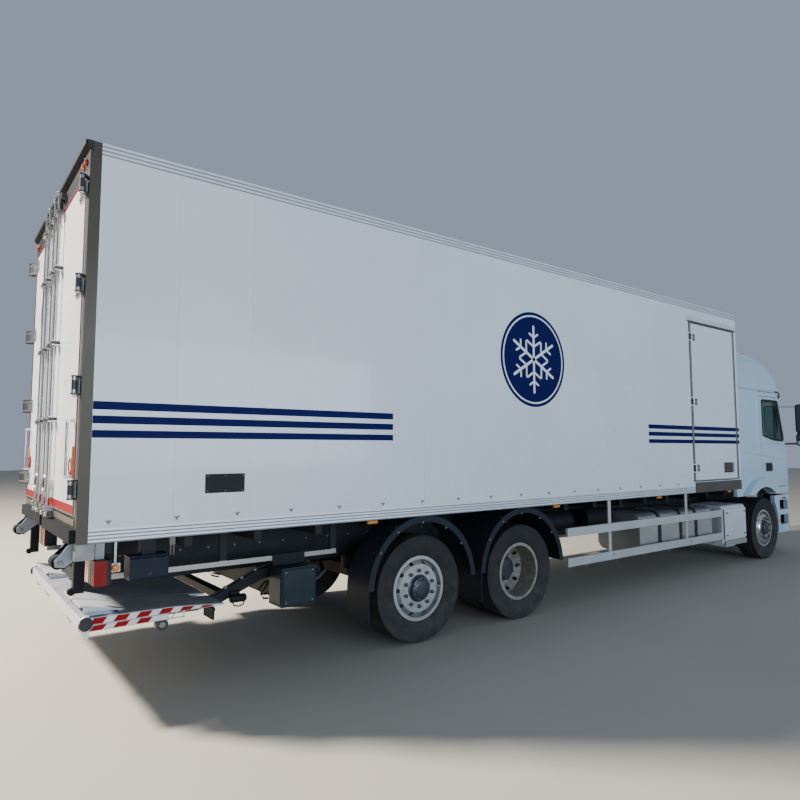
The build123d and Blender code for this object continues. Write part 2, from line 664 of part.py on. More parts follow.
def wheel_cover(axle_x, y_range, has_flap):
    x = axle_x + GUARD_SHIFT
    z = AXLE_Z + GUARD_RISE
    middle_radius = GUARD_RADIUS - GUARD_THICKNESS / 2
    ring = rod_y(x, z, GUARD_RADIUS, y_range[0], y_range[1])
    ring = ring - rod_y(x, z, GUARD_RADIUS - GUARD_THICKNESS, y_range[0] - 1, y_range[1] + 1)
    keep = block(x - GUARD_RADIUS - 1, x + GUARD_RADIUS + 1, y_range[0], y_range[1],
                 z + 25, z + GUARD_RADIUS + 1)
    edge = rod_y(x, z, GUARD_RADIUS, y_range[1] - GUARD_EDGE_THICKNESS, y_range[1])
    edge = edge - rod_y(x, z, GUARD_RADIUS - GUARD_EDGE, y_range[0] - 1, y_range[1] + 1)
    pieces = [ring & keep, edge & keep]
    for angle in (60.0, 120.0):
        sx = x + middle_radius * math.cos(math.radians(angle))
        sz = z + middle_radius * math.sin(math.radians(angle))
        pieces.append(rod_y(sx, sz, STAY_RADIUS, RAIL_OUTER_HALF, y_range[1] - 20))
    if has_flap:
        back = x - GUARD_RADIUS
        pieces.append(block(back, back + FLAP_THICKNESS, y_range[0], y_range[1], FLAP_BOTTOM_Z, z + 30))
    return fuse(pieces)


def mudguards():
    pieces = []
    pieces.extend(both_sides(wheel_cover(X_TAG, TAG_GUARD_Y, True)))
    pieces.extend(both_sides(wheel_cover(X_DRIVE, DRIVE_GUARD_Y, True)))
    return pieces


# Box body: floor, side walls with the side doorway, front wall and roof as insulated panels
DOOR_X0 = X_TAG + SIDE_DOOR_START
DOOR_X1 = DOOR_X0 + SIDE_DOOR_WIDTH
X_WALL_REAR = X_BOX_REAR + POST_DEPTH
WALL_LOW_Z = BOX_FLOOR_Z + LOWER_RAIL_HEIGHT
WALL_HIGH_Z = BOX_TOP_Z - TOP_RAIL_HEIGHT


def right_wall():
    wall = block(X_WALL_REAR, X_BOX_FRONT, -BOX_HALF, -BOX_INNER, WALL_LOW_Z, WALL_HIGH_Z)
    gap = SIDE_DOOR_GAP
    doorway = block(DOOR_X0 - gap, DOOR_X1 + gap, -BOX_HALF - 1, -BOX_INNER + 1,
                    SIDE_DOOR_BOTTOM_Z - gap, SIDE_DOOR_TOP_Z + gap)
    return wall - doorway


save("box_floor", block(X_WALL_REAR, X_BOX_FRONT - FRONT_WALL, -BOX_INNER, BOX_INNER, BOX_FLOOR_Z, FLOOR_TOP_Z))
save("box_left_wall", block(X_WALL_REAR, X_BOX_FRONT, BOX_INNER, BOX_HALF, WALL_LOW_Z, WALL_HIGH_Z))
save("box_front_wall", block(X_BOX_FRONT - FRONT_WALL, X_BOX_FRONT, -BOX_INNER, BOX_INNER,
                             BOX_FLOOR_Z, ROOF_UNDER_Z))
save("box_roof", block(X_WALL_REAR, X_BOX_FRONT, -BOX_INNER, BOX_INNER, ROOF_UNDER_Z, BOX_TOP_Z))

# Ribbed aluminium rails along the lower and upper edges of the box
TOP_RAIL_RIBS = 3


def ribbed_rail(low, high, ribs):
    pitch = (high - low) / ribs
    points = [(BOX_INNER, low), (BOX_INNER, high)]
    for index in range(ribs):
        top = high - index * pitch
        groove = top - pitch * 0.62
        base = top - pitch
        points.extend([(BOX_HALF, top), (BOX_HALF, groove), (BOX_HALF - RIB_DEPTH, groove - 4),
                       (BOX_HALF - RIB_DEPTH, base + 4)])
    points.append((BOX_HALF, low))
    return end_prism(points, X_WALL_REAR, X_BOX_FRONT)


save("box_rails", both_sides(ribbed_rail(BOX_FLOOR_Z, WALL_LOW_Z, RAIL_RIBS))
     + both_sides(ribbed_rail(WALL_HIGH_Z, BOX_TOP_Z, TOP_RAIL_RIBS)))

# Stainless rear portal: posts, sill and a header whose top edge hangs out over the doors
LIP_REACH = 32.0
LIP_HEIGHT = 40.0
HINGE_LUG = 10.0
X_HINGE = X_BOX_REAR - HINGE_SET_BACK
Y_HINGE = BOX_HALF + HINGE_OUTBOARD
HINGE_HOLE = HINGE_RADIUS + SEAT


def hinge_lugs(z):
    """The two lugs of the post that hold one hinge pin of the left door."""
    pieces = []
    for low in (z - HINGE_HEIGHT / 2 - HINGE_LUG - SEAT, z + HINGE_HEIGHT / 2 + SEAT):
        plate = [(X_BOX_REAR, BOX_HALF - 50), (X_BOX_REAR, BOX_HALF), (X_HINGE + 12, Y_HINGE + 18),
                 (X_HINGE - 18, Y_HINGE + 12), (X_HINGE - 18, Y_HINGE - 12)]
        lug = plan_prism(plate, low, low + HINGE_LUG)
        pieces.append(lug - rod_z(X_HINGE, Y_HINGE, HINGE_HOLE, low - 1, low + HINGE_LUG + 1))
    return pieces


def rear_frame():
    x0 = X_BOX_REAR
    x1 = X_BOX_REAR + POST_DEPTH
    pieces = both_sides(block(x0, x1, BOX_INNER, BOX_HALF, BOX_FLOOR_Z, BOX_TOP_Z))
    pieces.append(block(x0, x1, -BOX_INNER, BOX_INNER, BOX_FLOOR_Z, SILL_TOP_Z))
    header = [
        (x1, HEADER_Z), (x0, HEADER_Z), (x0, BOX_TOP_Z - LIP_HEIGHT - 12), (x0 - LIP_REACH, BOX_TOP_Z - 28),
        (x0 - LIP_REACH, BOX_TOP_Z), (x1, BOX_TOP_Z),
    ]
    pieces.append(side_prism(header, -BOX_HALF, BOX_HALF))
    for z in REAR_HINGE_Z:
        for lug in hinge_lugs(z):
            pieces.extend(both_sides(lug))
    return fuse(pieces)


save("box_rear_frame", rear_frame())

# Rear doors: insulated leaves with hinge straps, and the lock bars that ride on them
REAR_DOOR_LOW_Z = SILL_TOP_Z + REAR_DOOR_GAP
REAR_DOOR_HIGH_Z = HEADER_Z - REAR_DOOR_GAP
DOOR_FACE_X = X_BOX_REAR - 5.0
STRAP_LENGTH = 190.0
BAR_RADIUS = 14.0
BAR_LOW_Z = 1318.0
BAR_HIGH_Z = BOX_TOP_Z - 66.0
BAR_X = X_BOX_REAR - 42.0
BAR_Y = (130.0, 330.0)
KEEPER_Z = (1380.0, 2080.0, 2690.0, 3300.0, 3760.0)
HANDLE_RING = 75.0
RING_WIRE = 9.0
RING_SHIFT = 100.0
RING_Z = 1570.0
KEEPER_HALF = (45.0, 22.0)
GRIP_Y = 1130.0
GRIP_Z = (1650.0, 2040.0)
GRIP_OUT = 45.0


def rear_door(side):
    leaf = block(DOOR_FACE_X, X_BOX_REAR + REAR_DOOR_THICKNESS - 5, REAR_DOOR_GAP, BOX_INNER - REAR_DOOR_GAP,
                 REAR_DOOR_LOW_Z, REAR_DOOR_HIGH_Z)
    pieces = [leaf]
    for z in REAR_HINGE_Z:
        low = z - HINGE_HEIGHT / 2
        high = z + HINGE_HEIGHT / 2
        strap = [
            (DOOR_FACE_X + 1, BOX_INNER - REAR_DOOR_GAP - STRAP_LENGTH),
            (DOOR_FACE_X - 9, BOX_INNER - REAR_DOOR_GAP - STRAP_LENGTH),
            (DOOR_FACE_X - 9, BOX_INNER - REAR_DOOR_GAP - 12), (X_HINGE - 8, Y_HINGE - 12),
            (X_HINGE + 8, Y_HINGE - 5), (DOOR_FACE_X + 1, BOX_INNER - REAR_DOOR_GAP - 6),
        ]
        pieces.append(plan_prism(strap, low, high))
        pieces.append(rod_z(X_HINGE, Y_HINGE, HINGE_RADIUS + 4, low, high))
        pieces.append(rod_z(X_HINGE, Y_HINGE, HINGE_RADIUS, low - HINGE_LUG - SEAT, high + HINGE_LUG + SEAT))
    door = fuse(pieces)
    return door if side > 0 else other_side(door)


def rear_lock():
    """Two lock bars in their guides, the inner one with a ring handle, and the grip, for the left door."""
    bars = []
    for y in BAR_Y:
        pieces = [rod_z(BAR_X, y, BAR_RADIUS, BAR_LOW_Z, BAR_HIGH_Z)]
        for z in KEEPER_Z:
            pieces.append(block(BAR_X - 22, DOOR_FACE_X, y - KEEPER_HALF[0], y + KEEPER_HALF[0],
                                z - KEEPER_HALF[1], z + KEEPER_HALF[1]))
        bars.append(fuse(pieces))
    hub_x = BAR_X - 20
    ring_y = BAR_Y[0] + RING_SHIFT
    reach = HANDLE_RING - RING_WIRE
    ring = Pos(hub_x + 8, ring_y, RING_Z) * Rot(0, 90, 0) * Torus(reach, RING_WIRE)
    lever = block(hub_x, hub_x + 16, BAR_Y[0], ring_y - reach + 4, RING_Z - 16, RING_Z + 16)
    catch = block(hub_x, DOOR_FACE_X, ring_y + reach - 4, ring_y + reach + 14, RING_Z - 25, RING_Z + 25)
    bars[0] = fuse([bars[0], ring, lever, catch])
    grip = fuse([
        rod_z(DOOR_FACE_X - GRIP_OUT, GRIP_Y, 9, GRIP_Z[0], GRIP_Z[1]),
        block(DOOR_FACE_X - GRIP_OUT - 7, DOOR_FACE_X, GRIP_Y - 14, GRIP_Y + 14, GRIP_Z[0] - 10, GRIP_Z[0] + 12),
        block(DOOR_FACE_X - GRIP_OUT - 7, DOOR_FACE_X, GRIP_Y - 14, GRIP_Y + 14, GRIP_Z[1] - 14, GRIP_Z[1] + 8),
    ])
    return bars + [grip]


save("rear_door_left", rear_door(1))
save("rear_door_right", rear_door(-1))
save("rear_lock_left", rear_lock())
save("rear_lock_right", [other_side(shape) for shape in rear_lock()])

# Side door with three hinges at its rear edge
SIDE_PIN_X = DOOR_X0 - 14.0
SIDE_PIN_Y = -BOX_HALF - SIDE_PIN_OUTBOARD
SIDE_PIN_RADIUS = 8.0
SIDE_LUG = 10.0
SIDE_HINGE_HEIGHT = 100.0
RECESS_X = (DOOR_X1 - 437.0, DOOR_X1 - 107.0)
RECESS_Z = (1470.0, 1630.0)
RECESS_DEPTH = 30.0


def side_door():
    pieces = [block(DOOR_X0, DOOR_X1, -BOX_HALF, -BOX_INNER, SIDE_DOOR_BOTTOM_Z, SIDE_DOOR_TOP_Z)]
    for z in SIDE_HINGE_Z:
        low = z - SIDE_HINGE_HEIGHT / 2
        high = z + SIDE_HINGE_HEIGHT / 2
        strap = [(DOOR_X0 + 5, -BOX_HALF + 1), (DOOR_X0 + 120, -BOX_HALF + 1), (DOOR_X0 + 120, -BOX_HALF - 8),
                 (DOOR_X0 + 8, -BOX_HALF - 12), (SIDE_PIN_X, SIDE_PIN_Y - 8), (SIDE_PIN_X, SIDE_PIN_Y + 6)]
        pieces.append(plan_prism(strap, low, high))
        pieces.append(rod_z(SIDE_PIN_X, SIDE_PIN_Y, SIDE_PIN_RADIUS + 4, low, high))
        pieces.append(rod_z(SIDE_PIN_X, SIDE_PIN_Y, SIDE_PIN_RADIUS, low - SIDE_LUG - SEAT,
                            high + SIDE_LUG + SEAT))
    door = fuse(pieces)
    return door - block(RECESS_X[0], RECESS_X[1], -BOX_HALF - 1, -BOX_HALF + RECESS_DEPTH,
                        RECESS_Z[0], RECESS_Z[1])


def side_door_lugs():
    """Hinge lugs of the side doorway, screwed to the wall behind the door."""
    lugs = []
    for z in SIDE_HINGE_Z:
        for low in (z - SIDE_HINGE_HEIGHT / 2 - SIDE_LUG - SEAT, z + SIDE_HINGE_HEIGHT / 2 + SEAT):
            plate = [(SIDE_PIN_X - 90, -BOX_HALF), (SIDE_PIN_X + 2, -BOX_HALF), (SIDE_PIN_X + 14, SIDE_PIN_Y),
                     (SIDE_PIN_X + 6, SIDE_PIN_Y - 14), (SIDE_PIN_X - 14, SIDE_PIN_Y - 10)]
            lug = plan_prism(plate, low, low + SIDE_LUG)
            lugs.append(lug - rod_z(SIDE_PIN_X, SIDE_PIN_Y, SIDE_PIN_RADIUS + SEAT, low - 1, low + SIDE_LUG + 1))
    return lugs


save("side_door", side_door())
save("box_right_wall", fuse([right_wall()] + side_door_lugs()))

# Evaporator under the roof at the front wall: its housing slopes up towards the load
EVAPORATOR_DEPTH = 420.0
EVAPORATOR_HALF = 800.0
EVAPORATOR_HEIGHT = 260.0
EVAPORATOR_LIP = 90.0
EVAPORATOR_X = X_BOX_FRONT - FRONT_WALL
save("evaporator", side_prism([
    (EVAPORATOR_X, ROOF_UNDER_Z), (EVAPORATOR_X - EVAPORATOR_DEPTH, ROOF_UNDER_Z),
    (EVAPORATOR_X - EVAPORATOR_DEPTH, ROOF_UNDER_Z - EVAPORATOR_LIP),
    (EVAPORATOR_X - EVAPORATOR_LIP, ROOF_UNDER_Z - EVAPORATOR_HEIGHT),
    (EVAPORATOR_X, ROOF_UNDER_Z - EVAPORATOR_HEIGHT),
], -EVAPORATOR_HALF, EVAPORATOR_HALF))

# Dock buffers: rollers in forks at both corners, and the rubber strips on the sill
ROLLER_RADIUS = 45.0
ROLLER_Y = (1040.0, 1160.0)
ROLLER_Z = 1075.0
SILL_RUBBER = 38.0
POST_X = (X_BOX_REAR + 27.0, X_BOX_REAR + 97.0)
POST_Y = (1060.0, 1130.0)
POST_LOW_Z = 850.0
POST_WHEEL_RADIUS = 24.0


def step_post():
    """The post that keeps the platform off the body, with a small wheel at its foot."""
    post = block(POST_X[0], POST_X[1], POST_Y[0], POST_Y[1], POST_LOW_Z, BOX_FLOOR_Z)
    wheel = rod_y(POST_X[0] - 8, POST_LOW_Z + 10, POST_WHEEL_RADIUS, POST_Y[0] + 15, POST_Y[1] - 15)
    return fuse([post, wheel])


def dock_buffers():
    x_roller = X_BOX_REAR - BUFFER_DEPTH + ROLLER_RADIUS
    roller = rod_y(x_roller, ROLLER_Z, ROLLER_RADIUS, ROLLER_Y[0], ROLLER_Y[1])
    fork = [(x_roller - 25, ROLLER_Z - 30), (x_roller + 35, ROLLER_Z - 45), (X_BOX_REAR + 60, ROLLER_Z + 30),
            (X_BOX_REAR + 60, BOX_FLOOR_Z), (X_BOX_REAR, BOX_FLOOR_Z), (x_roller - 25, ROLLER_Z + 30)]
    pieces = [roller]
    for y in (ROLLER_Y[0] - 12, ROLLER_Y[1]):
        pieces.append(side_prism(fork, y, y + 12))
    strip = block(X_BOX_REAR - SILL_RUBBER, X_BOX_REAR, 60, BOX_HALF - 20, BOX_FLOOR_Z + 8, 1300)
    return both_sides(fuse(pieces)) + both_sides(strip) + both_sides(step_post())


save("dock_buffers", dock_buffers())

# Rear lamps on a carrier bar under the floor, with the tail lift's control box ahead of them
LAMP_X = (X_BOX_REAR + 125.0, X_BOX_REAR + 206.0)
LAMP_Y = (950.0, 1285.0)
LAMP_Z = (910.0, 1078.0)
LAMP_BAR_X = (X_BOX_REAR + 140.0, X_BOX_REAR + 196.0)
LAMP_BAR_HEIGHT = 60.0
LAMP_HANGER_Y = (1150.0, 1230.0)
CONTROL_X = (X_BOX_REAR + 364.0, X_BOX_REAR + 630.0)
CONTROL_Y = (-1240.0, -1080.0)
CONTROL_Z = (910.0, 1075.0)


def rear_lamps():
    """Lamp housings hung from a bar across the truck."""
    bar = block(LAMP_BAR_X[0], LAMP_BAR_X[1], -LAMP_HANGER_Y[1], LAMP_HANGER_Y[1],
                LAMP_Z[1], LAMP_Z[1] + LAMP_BAR_HEIGHT)
    pieces = [bar]
    for side in (1, -1):
        y0, y1 = sorted((side * LAMP_Y[0], side * LAMP_Y[1]))
        pieces.append(block(LAMP_X[0], LAMP_X[1], y0, y1, LAMP_Z[0], LAMP_Z[1]))
        y0, y1 = sorted((side * LAMP_HANGER_Y[0], side * LAMP_HANGER_Y[1]))
        pieces.append(block(LAMP_BAR_X[0], LAMP_BAR_X[1], y0, y1, LAMP_Z[1] + LAMP_BAR_HEIGHT - 1, BOX_FLOOR_Z))
    return fuse(pieces)


def control_box():
    body = rounded_bar(CONTROL_X[0], CONTROL_X[1], CONTROL_Y, CONTROL_Z, 20)
    hanger = block(CONTROL_X[0] + 90, CONTROL_X[0] + 190, CONTROL_Y[0] + 50, CONTROL_Y[1] - 20,
                   CONTROL_Z[1] - 1, BOX_FLOOR_Z)
    return fuse([body, hanger])


save("rear_lamps", rear_lamps())

# Cab. Each section row holds height, nose reach at the middle and at the sides ahead of the front
# axle, half width, and corner radius
CAB_SECTIONS = (
    (CAB_BOTTOM_Z, 1362.0, 1262.0, CAB_HALF, 150.0),
    (1650.0, 1366.0, 1262.0, CAB_HALF, 150.0),
    (1960.0, 1290.0, 1180.0, CAB_HALF, 110.0),
    (2720.0, 1065.0, 960.0, CAB_HALF, 110.0),
    (CAB_JOIN_Z, 1020.0, 915.0, CAB_HALF - 8.0, 110.0),
)
CAP_SECTIONS = (
    (CAB_JOIN_Z, 1100.0, 980.0, CAB_HALF, 130.0),
    (2960.0, 1085.0, 965.0, CAB_HALF - 8.0, 130.0),
    (3110.0, 1010.0, 890.0, CAB_HALF - 30.0, 150.0),
    (3320.0, 850.0, 720.0, CAB_HALF - 90.0, 170.0),
    (3440.0, 640.0, 520.0, CAB_HALF - 170.0, 150.0),
    (3540.0, 140.0, 60.0, CAB_HALF - 290.0, 60.0),
)


def plan_outline(z, nose, shoulder, half, corner, inset=0.0):
    """The cab's outline at one height: flat back and sides, bowed front with rounded corners."""
    rear = X_CAB_REAR + inset
    side = half - inset
    shoulder_x = X_FRONT + shoulder - inset
    nose_x = X_FRONT + nose - inset
    with BuildSketch(Plane.XY.offset(z)) as sketch:
        with BuildLine():
            Line((shoulder_x, -side), (rear, -side))
            Line((rear, -side), (rear, side))
            Line((rear, side), (shoulder_x, side))
            ThreePointArc((shoulder_x, side), (nose_x, 0), (shoulder_x, -side))
        make_face()
        fillet(sketch.vertices().group_by(Axis.X)[-1], radius=corner - inset * 0.5)
    return sketch.sketch


def cab_loft(sections, inset=0.0, low=None, high=None):
    """A ruled body through the section rows; the end rows may be moved to other heights."""
    outlines = []
    for index, (z, nose, shoulder, half, corner) in enumerate(sections):
        level = z
        if index == 0 and low is not None:
            level = low
        if index == len(sections) - 1 and high is not None:
            level = high
        outlines.append(plan_outline(level, nose, shoulder, half, corner, inset))
    return loft(outlines, ruled=True)


CAB_OUTER = cab_loft(CAB_SECTIONS)
CAB_INNER = cab_loft(CAB_SECTIONS, CAB_WALL, CAB_BOTTOM_Z - 5.0, CAB_JOIN_Z + 5.0)
GLASS_OUTER = cab_loft(CAB_SECTIONS, 12.0)
GLASS_INNER = cab_loft(CAB_SECTIONS, 12.0 + GLASS, CAB_BOTTOM_Z - 5.0, CAB_JOIN_Z + 5.0)


def cab_side_outline(points):
    return [(X_FRONT + x, z) for x, z in points]


DOOR_OUTLINE = cab_side_outline([
    (CAB_DOOR_REAR, CAB_DOOR_BOTTOM_Z), (CAB_DOOR_REAR, CAB_DOOR_TOP_Z), (895, CAB_DOOR_TOP_Z),
    (CAB_DOOR_FRONT, 2060), (CAB_DOOR_FRONT, CAB_DOOR_BOTTOM_Z),
])
WINDOW_OUTLINE = cab_side_outline([
    (CAB_DOOR_REAR + 90, 2080), (CAB_DOOR_REAR + 90, 2680), (835, 2680), (CAB_DOOR_FRONT - 60, 2060),
    (CAB_DOOR_FRONT - 60, 1990), (620, 2010),
])
DOOR_ARCH_RADIUS = ARCH_LIP_RADIUS + 12.0
DOOR_REACH = 105.0


def door_prism(grow):
    """The door's outline through the left side wall, grown by the gap for the opening."""
    low = CAB_HALF - DOOR_REACH
    high = CAB_HALF + 40.0
    shape = side_prism(DOOR_OUTLINE, low, high)
    if grow:
        shape = offset(shape, amount=grow)
        shape = shape & block(X_CAB_REAR, X_NOSE, low, high + grow, 0, CAB_JOIN_Z)
    arch = rod_y(X_FRONT, AXLE_Z, DOOR_ARCH_RADIUS - grow, low - 5, high + 5)
    return shape - arch


def arch_cut(side):
    y0, y1 = sorted((side * 640, side * (CAB_HALF + ARCH_LIP_OUT + 20)))
    return rod_y(X_FRONT, AXLE_Z, ARCH_RADIUS, y0, y1)


WINDSCREEN_LOW_Z = 1965.0
WINDSCREEN_HIGH_Z = 2715.0
WINDSCREEN_HALF = 1030.0
GRILLE_LOW_Z = 1120.0
GRILLE_HIGH_Z = 1560.0
GRILLE_HALF = 780.0


def tilt_lug():
    """The cab's arm: down beside the rail and forward to the tilt pin, clear of the bumper's wall."""
    y0 = RAIL_OUTER_HALF + TILT_LUG_GAP
    y1 = y0 + TILT_LUG
    outline = [
        (TILT_X, TILT_Z - 32), (TILT_X - 262, TILT_Z - 32), (TILT_X - 262, CAB_FLOOR_Z - 1),
        (TILT_X - 195, CAB_FLOOR_Z - 1), (TILT_X - 195, TILT_Z + 32), (TILT_X, TILT_Z + 32),
    ]
    arm = fuse([side_prism(outline, y0, y1), rod_y(TILT_X, TILT_Z, 34, y0, y1)])
    return arm - rod_y(TILT_X, TILT_Z, TILT_PIN_RADIUS + SEAT, y0 - 1, y1 + 1)


def cab_shell():
    tunnel = block(X_CAB_REAR - 5, X_FRONT + 860, -TUNNEL_HALF, TUNNEL_HALF, CAB_FLOOR_Z - 10, TUNNEL_TOP_Z)
    cabin = CAB_INNER & block(X_CAB_REAR, X_NOSE, -CAB_HALF, CAB_HALF, CAB_FLOOR_Z, CAB_JOIN_Z + 10)
    cabin = cabin - tunnel
    under = CAB_INNER & block(X_CAB_REAR, X_NOSE, -CAB_HALF, CAB_HALF, CAB_BOTTOM_Z - 10, CAB_FLOOR_Z - CAB_SHEET)
    engine_bay = block(X_CAB_REAR - 1, X_FRONT + 860 - CAB_SHEET, -TUNNEL_HALF + CAB_SHEET,
                       TUNNEL_HALF - CAB_SHEET, CAB_BOTTOM_Z - 10, TUNNEL_TOP_Z - CAB_SHEET)
    shell = CAB_OUTER - cabin - under - engine_bay
    pieces = [shell]
    for side in (1, -1):
        y0, y1 = sorted((side * (CAB_HALF - 20), side * (CAB_HALF + ARCH_LIP_OUT)))
        flare = rod_y(X_FRONT, AXLE_Z, ARCH_LIP_RADIUS, y0, y1)
        flare = flare & block(X_FRONT - 860, X_FRONT + 700, y0, y1, CAB_BOTTOM_Z + 20, 1400)
        liner = rod_y(X_FRONT, AXLE_Z, ARCH_RADIUS + 25, *sorted((side * 700, side * CAB_HALF)))
        liner = liner & block(X_FRONT - 715, X_FRONT + 715, -CAB_HALF, CAB_HALF, CAB_BOTTOM_Z, CAB_FLOOR_Z)
        pieces.extend([flare, liner])
    shell = fuse(pieces)
    for side in (1, -1):
        shell = shell - arch_cut(side)
    opening = door_prism(CAB_DOOR_GAP)
    shell = shell - opening - other_side(opening)
    shell = fuse([shell] + both_sides(tilt_lug()))
    glass_zone = block(X_FRONT + 700, X_NOSE + 10, -WINDSCREEN_HALF, WINDSCREEN_HALF,
                       WINDSCREEN_LOW_Z, WINDSCREEN_HIGH_Z)
    grille_zone = block(X_FRONT + 1150, X_NOSE + 10, -GRILLE_HALF, GRILLE_HALF, GRILLE_LOW_Z, GRILLE_HIGH_Z)
    return shell - glass_zone - grille_zone


def windscreen():
    zone = block(X_FRONT + 700, X_NOSE + 10, -WINDSCREEN_HALF + SEAT, WINDSCREEN_HALF - SEAT,
                 WINDSCREEN_LOW_Z + SEAT, WINDSCREEN_HIGH_Z - SEAT)
    return (GLASS_OUTER - GLASS_INNER) & zone


def cab_roof():
    cap = cab_loft(CAP_SECTIONS)
    hollow = cab_loft(CAP_SECTIONS, CAB_WALL, CAB_JOIN_Z - 5.0, 3500.0)
    keep = block(X_CAB_REAR, X_NOSE, -CAB_HALF, CAB_HALF, CAB_JOIN_Z - 10, 3490.0)
    return cap - (hollow & keep)


save("windscreen", windscreen())
save("cab_roof", cab_roof())

# Cab doors: the shell's own wall inside the door outline, with two hinges at the front edge
CAB_PIN_X = X_FRONT + CAB_DOOR_FRONT + 12.0
CAB_PIN_Y = CAB_HALF + CAB_PIN_OUTBOARD
CAB_HINGE_Z = (1330.0, 1830.0)
CAB_HINGE_HEIGHT = 70.0
CAB_LUG = 10.0
CAB_HANDLE_X = (280.0, 490.0)
CAB_HANDLE_Z = (1450.0, 1600.0)
CAB_HANDLE_OUT = 20.0


def cab_door():
    wall = (CAB_OUTER - CAB_INNER) & door_prism(0.0)
    window = side_prism(WINDOW_OUTLINE, CAB_HALF - DOOR_REACH - 1, CAB_HALF + 50)
    pieces = [wall - window]
    for z in CAB_HINGE_Z:
        low = z - CAB_HINGE_HEIGHT / 2
        high = z + CAB_HINGE_HEIGHT / 2
        strap = [(CAB_PIN_X - 100, CAB_HALF - 2), (CAB_PIN_X - 22, CAB_HALF - 2), (CAB_PIN_X, CAB_PIN_Y - 8),
                 (CAB_PIN_X, CAB_PIN_Y + 8), (CAB_PIN_X - 100, CAB_HALF + 6)]
        pieces.append(plan_prism(strap, low, high))
        pieces.append(rod_z(CAB_PIN_X, CAB_PIN_Y, CAB_PIN_RADIUS, low - CAB_LUG - SEAT, high + CAB_LUG + SEAT))
    handle = block(X_FRONT + CAB_HANDLE_X[0], X_FRONT + CAB_HANDLE_X[1], CAB_HALF - 1, CAB_HALF + CAB_HANDLE_OUT,
                   CAB_HANDLE_Z[0], CAB_HANDLE_Z[1])
    pieces.append(handle)
    return fuse(pieces)


def cab_door_lugs():
    """Hinge lugs on the cab's front pillar."""
    lugs = []
    for z in CAB_HINGE_Z:
        for low in (z - CAB_HINGE_HEIGHT / 2 - CAB_LUG - SEAT, z + CAB_HINGE_HEIGHT / 2 + SEAT):
            plate = [(CAB_PIN_X - 13, CAB_PIN_Y + 12), (CAB_PIN_X - 13, CAB_PIN_Y - 10),
                     (CAB_PIN_X + 2, CAB_HALF - 2), (CAB_PIN_X + 2, CAB_HALF - 35),
                     (CAB_PIN_X + 60, CAB_HALF - 35), (CAB_PIN_X + 14, CAB_PIN_Y + 12)]
            lug = plan_prism(plate, low, low + CAB_LUG)
            lugs.append(lug - rod_z(CAB_PIN_X, CAB_PIN_Y, CAB_PIN_RADIUS + SEAT, low - 1, low + CAB_LUG + 1))
    return lugs


def door_glass():
    pane = side_prism(WINDOW_OUTLINE, CAB_HALF - DOOR_REACH - 1, CAB_HALF + 50)
    pane = offset(pane, amount=-SEAT)
    return (GLASS_OUTER - GLASS_INNER) & pane


for word, side in (("left", 1), ("right", -1)):
    for name, shape in (("cab_door_", cab_door()), ("door_glass_", door_glass())):
        save(name + word, shape if side > 0 else other_side(shape))
save("cab_shell", fuse([cab_shell()] + [piece for lug in cab_door_lugs() for piece in both_sides(lug)]))

# Grille: slats in a frame that fills the opening of the front panel
GRILLE_SLATS = 5
SLAT_HEIGHT = 46.0


def grille():
    skin = CAB_OUTER - cab_loft(CAB_SECTIONS, 40.0, CAB_BOTTOM_Z - 5.0, CAB_JOIN_Z + 5.0)
    zone = block(X_FRONT + 1150, X_NOSE + 10, -GRILLE_HALF + SEAT, GRILLE_HALF - SEAT,
                 GRILLE_LOW_Z + SEAT, GRILLE_HIGH_Z - SEAT)
    panel = skin & zone
    pitch = (GRILLE_HIGH_Z - GRILLE_LOW_Z) / GRILLE_SLATS
    for index in range(GRILLE_SLATS):
        low = GRILLE_LOW_Z + index * pitch + (pitch - SLAT_HEIGHT) / 2
        panel = panel - block(X_FRONT + 1150, X_NOSE + 10, -GRILLE_HALF + 60, GRILLE_HALF - 60,
                              low, low + SLAT_HEIGHT)
    return panel


save("grille", grille())

# Cab interior: dashboard, steering wheel on its column, and the bunk on its base
DASH_REAR = 720.0
DASH_TOP_Z = 1900.0
WHEEL_X = X_FRONT + 560.0
WHEEL_Y = 560.0
WHEEL_Z = 1960.0
WHEEL_RIM_RADIUS = 225.0
BUNK_DEPTH = 480.0
BUNK_TOP_Z = 1720.0


def cab_interior():
    dash_outline = [
        (X_FRONT + 900, TUNNEL_TOP_Z + 1), (X_FRONT + DASH_REAR, TUNNEL_TOP_Z + 1),
        (X_FRONT + DASH_REAR, DASH_TOP_Z - 60), (X_FRONT + DASH_REAR + 80, DASH_TOP_Z),
        (X_FRONT + 1180, DASH_TOP_Z), (X_FRONT + 1180, TUNNEL_TOP_Z + 1),
    ]
    limit = cab_loft(CAB_SECTIONS, CAB_WALL + SEAT, CAB_BOTTOM_Z - 5.0, CAB_JOIN_Z + 5.0)
    width = CAB_HALF - CAB_WALL - 22
    dash = side_prism(dash_outline, -width, width) & limit
    column = Pos(WHEEL_X + 110, WHEEL_Y, WHEEL_Z - 130) * Rot(0, -40, 0) * Cylinder(28, 340)
    wheel = Torus(WHEEL_RIM_RADIUS, 16) + Box(2 * WHEEL_RIM_RADIUS, 40, 14) + Cylinder(70, 36)
    wheel = Pos(WHEEL_X, WHEEL_Y, WHEEL_Z) * Rot(0, -40, 0) * wheel
    legs = block(X_FRONT + 880, X_FRONT + 1100, -width, width, CAB_FLOOR_Z, TUNNEL_TOP_Z + 1) & limit
    bunk = block(X_CAB_REAR + CAB_WALL, X_CAB_REAR + CAB_WALL + BUNK_DEPTH, -width, width,
                 TUNNEL_TOP_Z, BUNK_TOP_Z)
    return [fuse([dash, legs, column, wheel]), bunk]


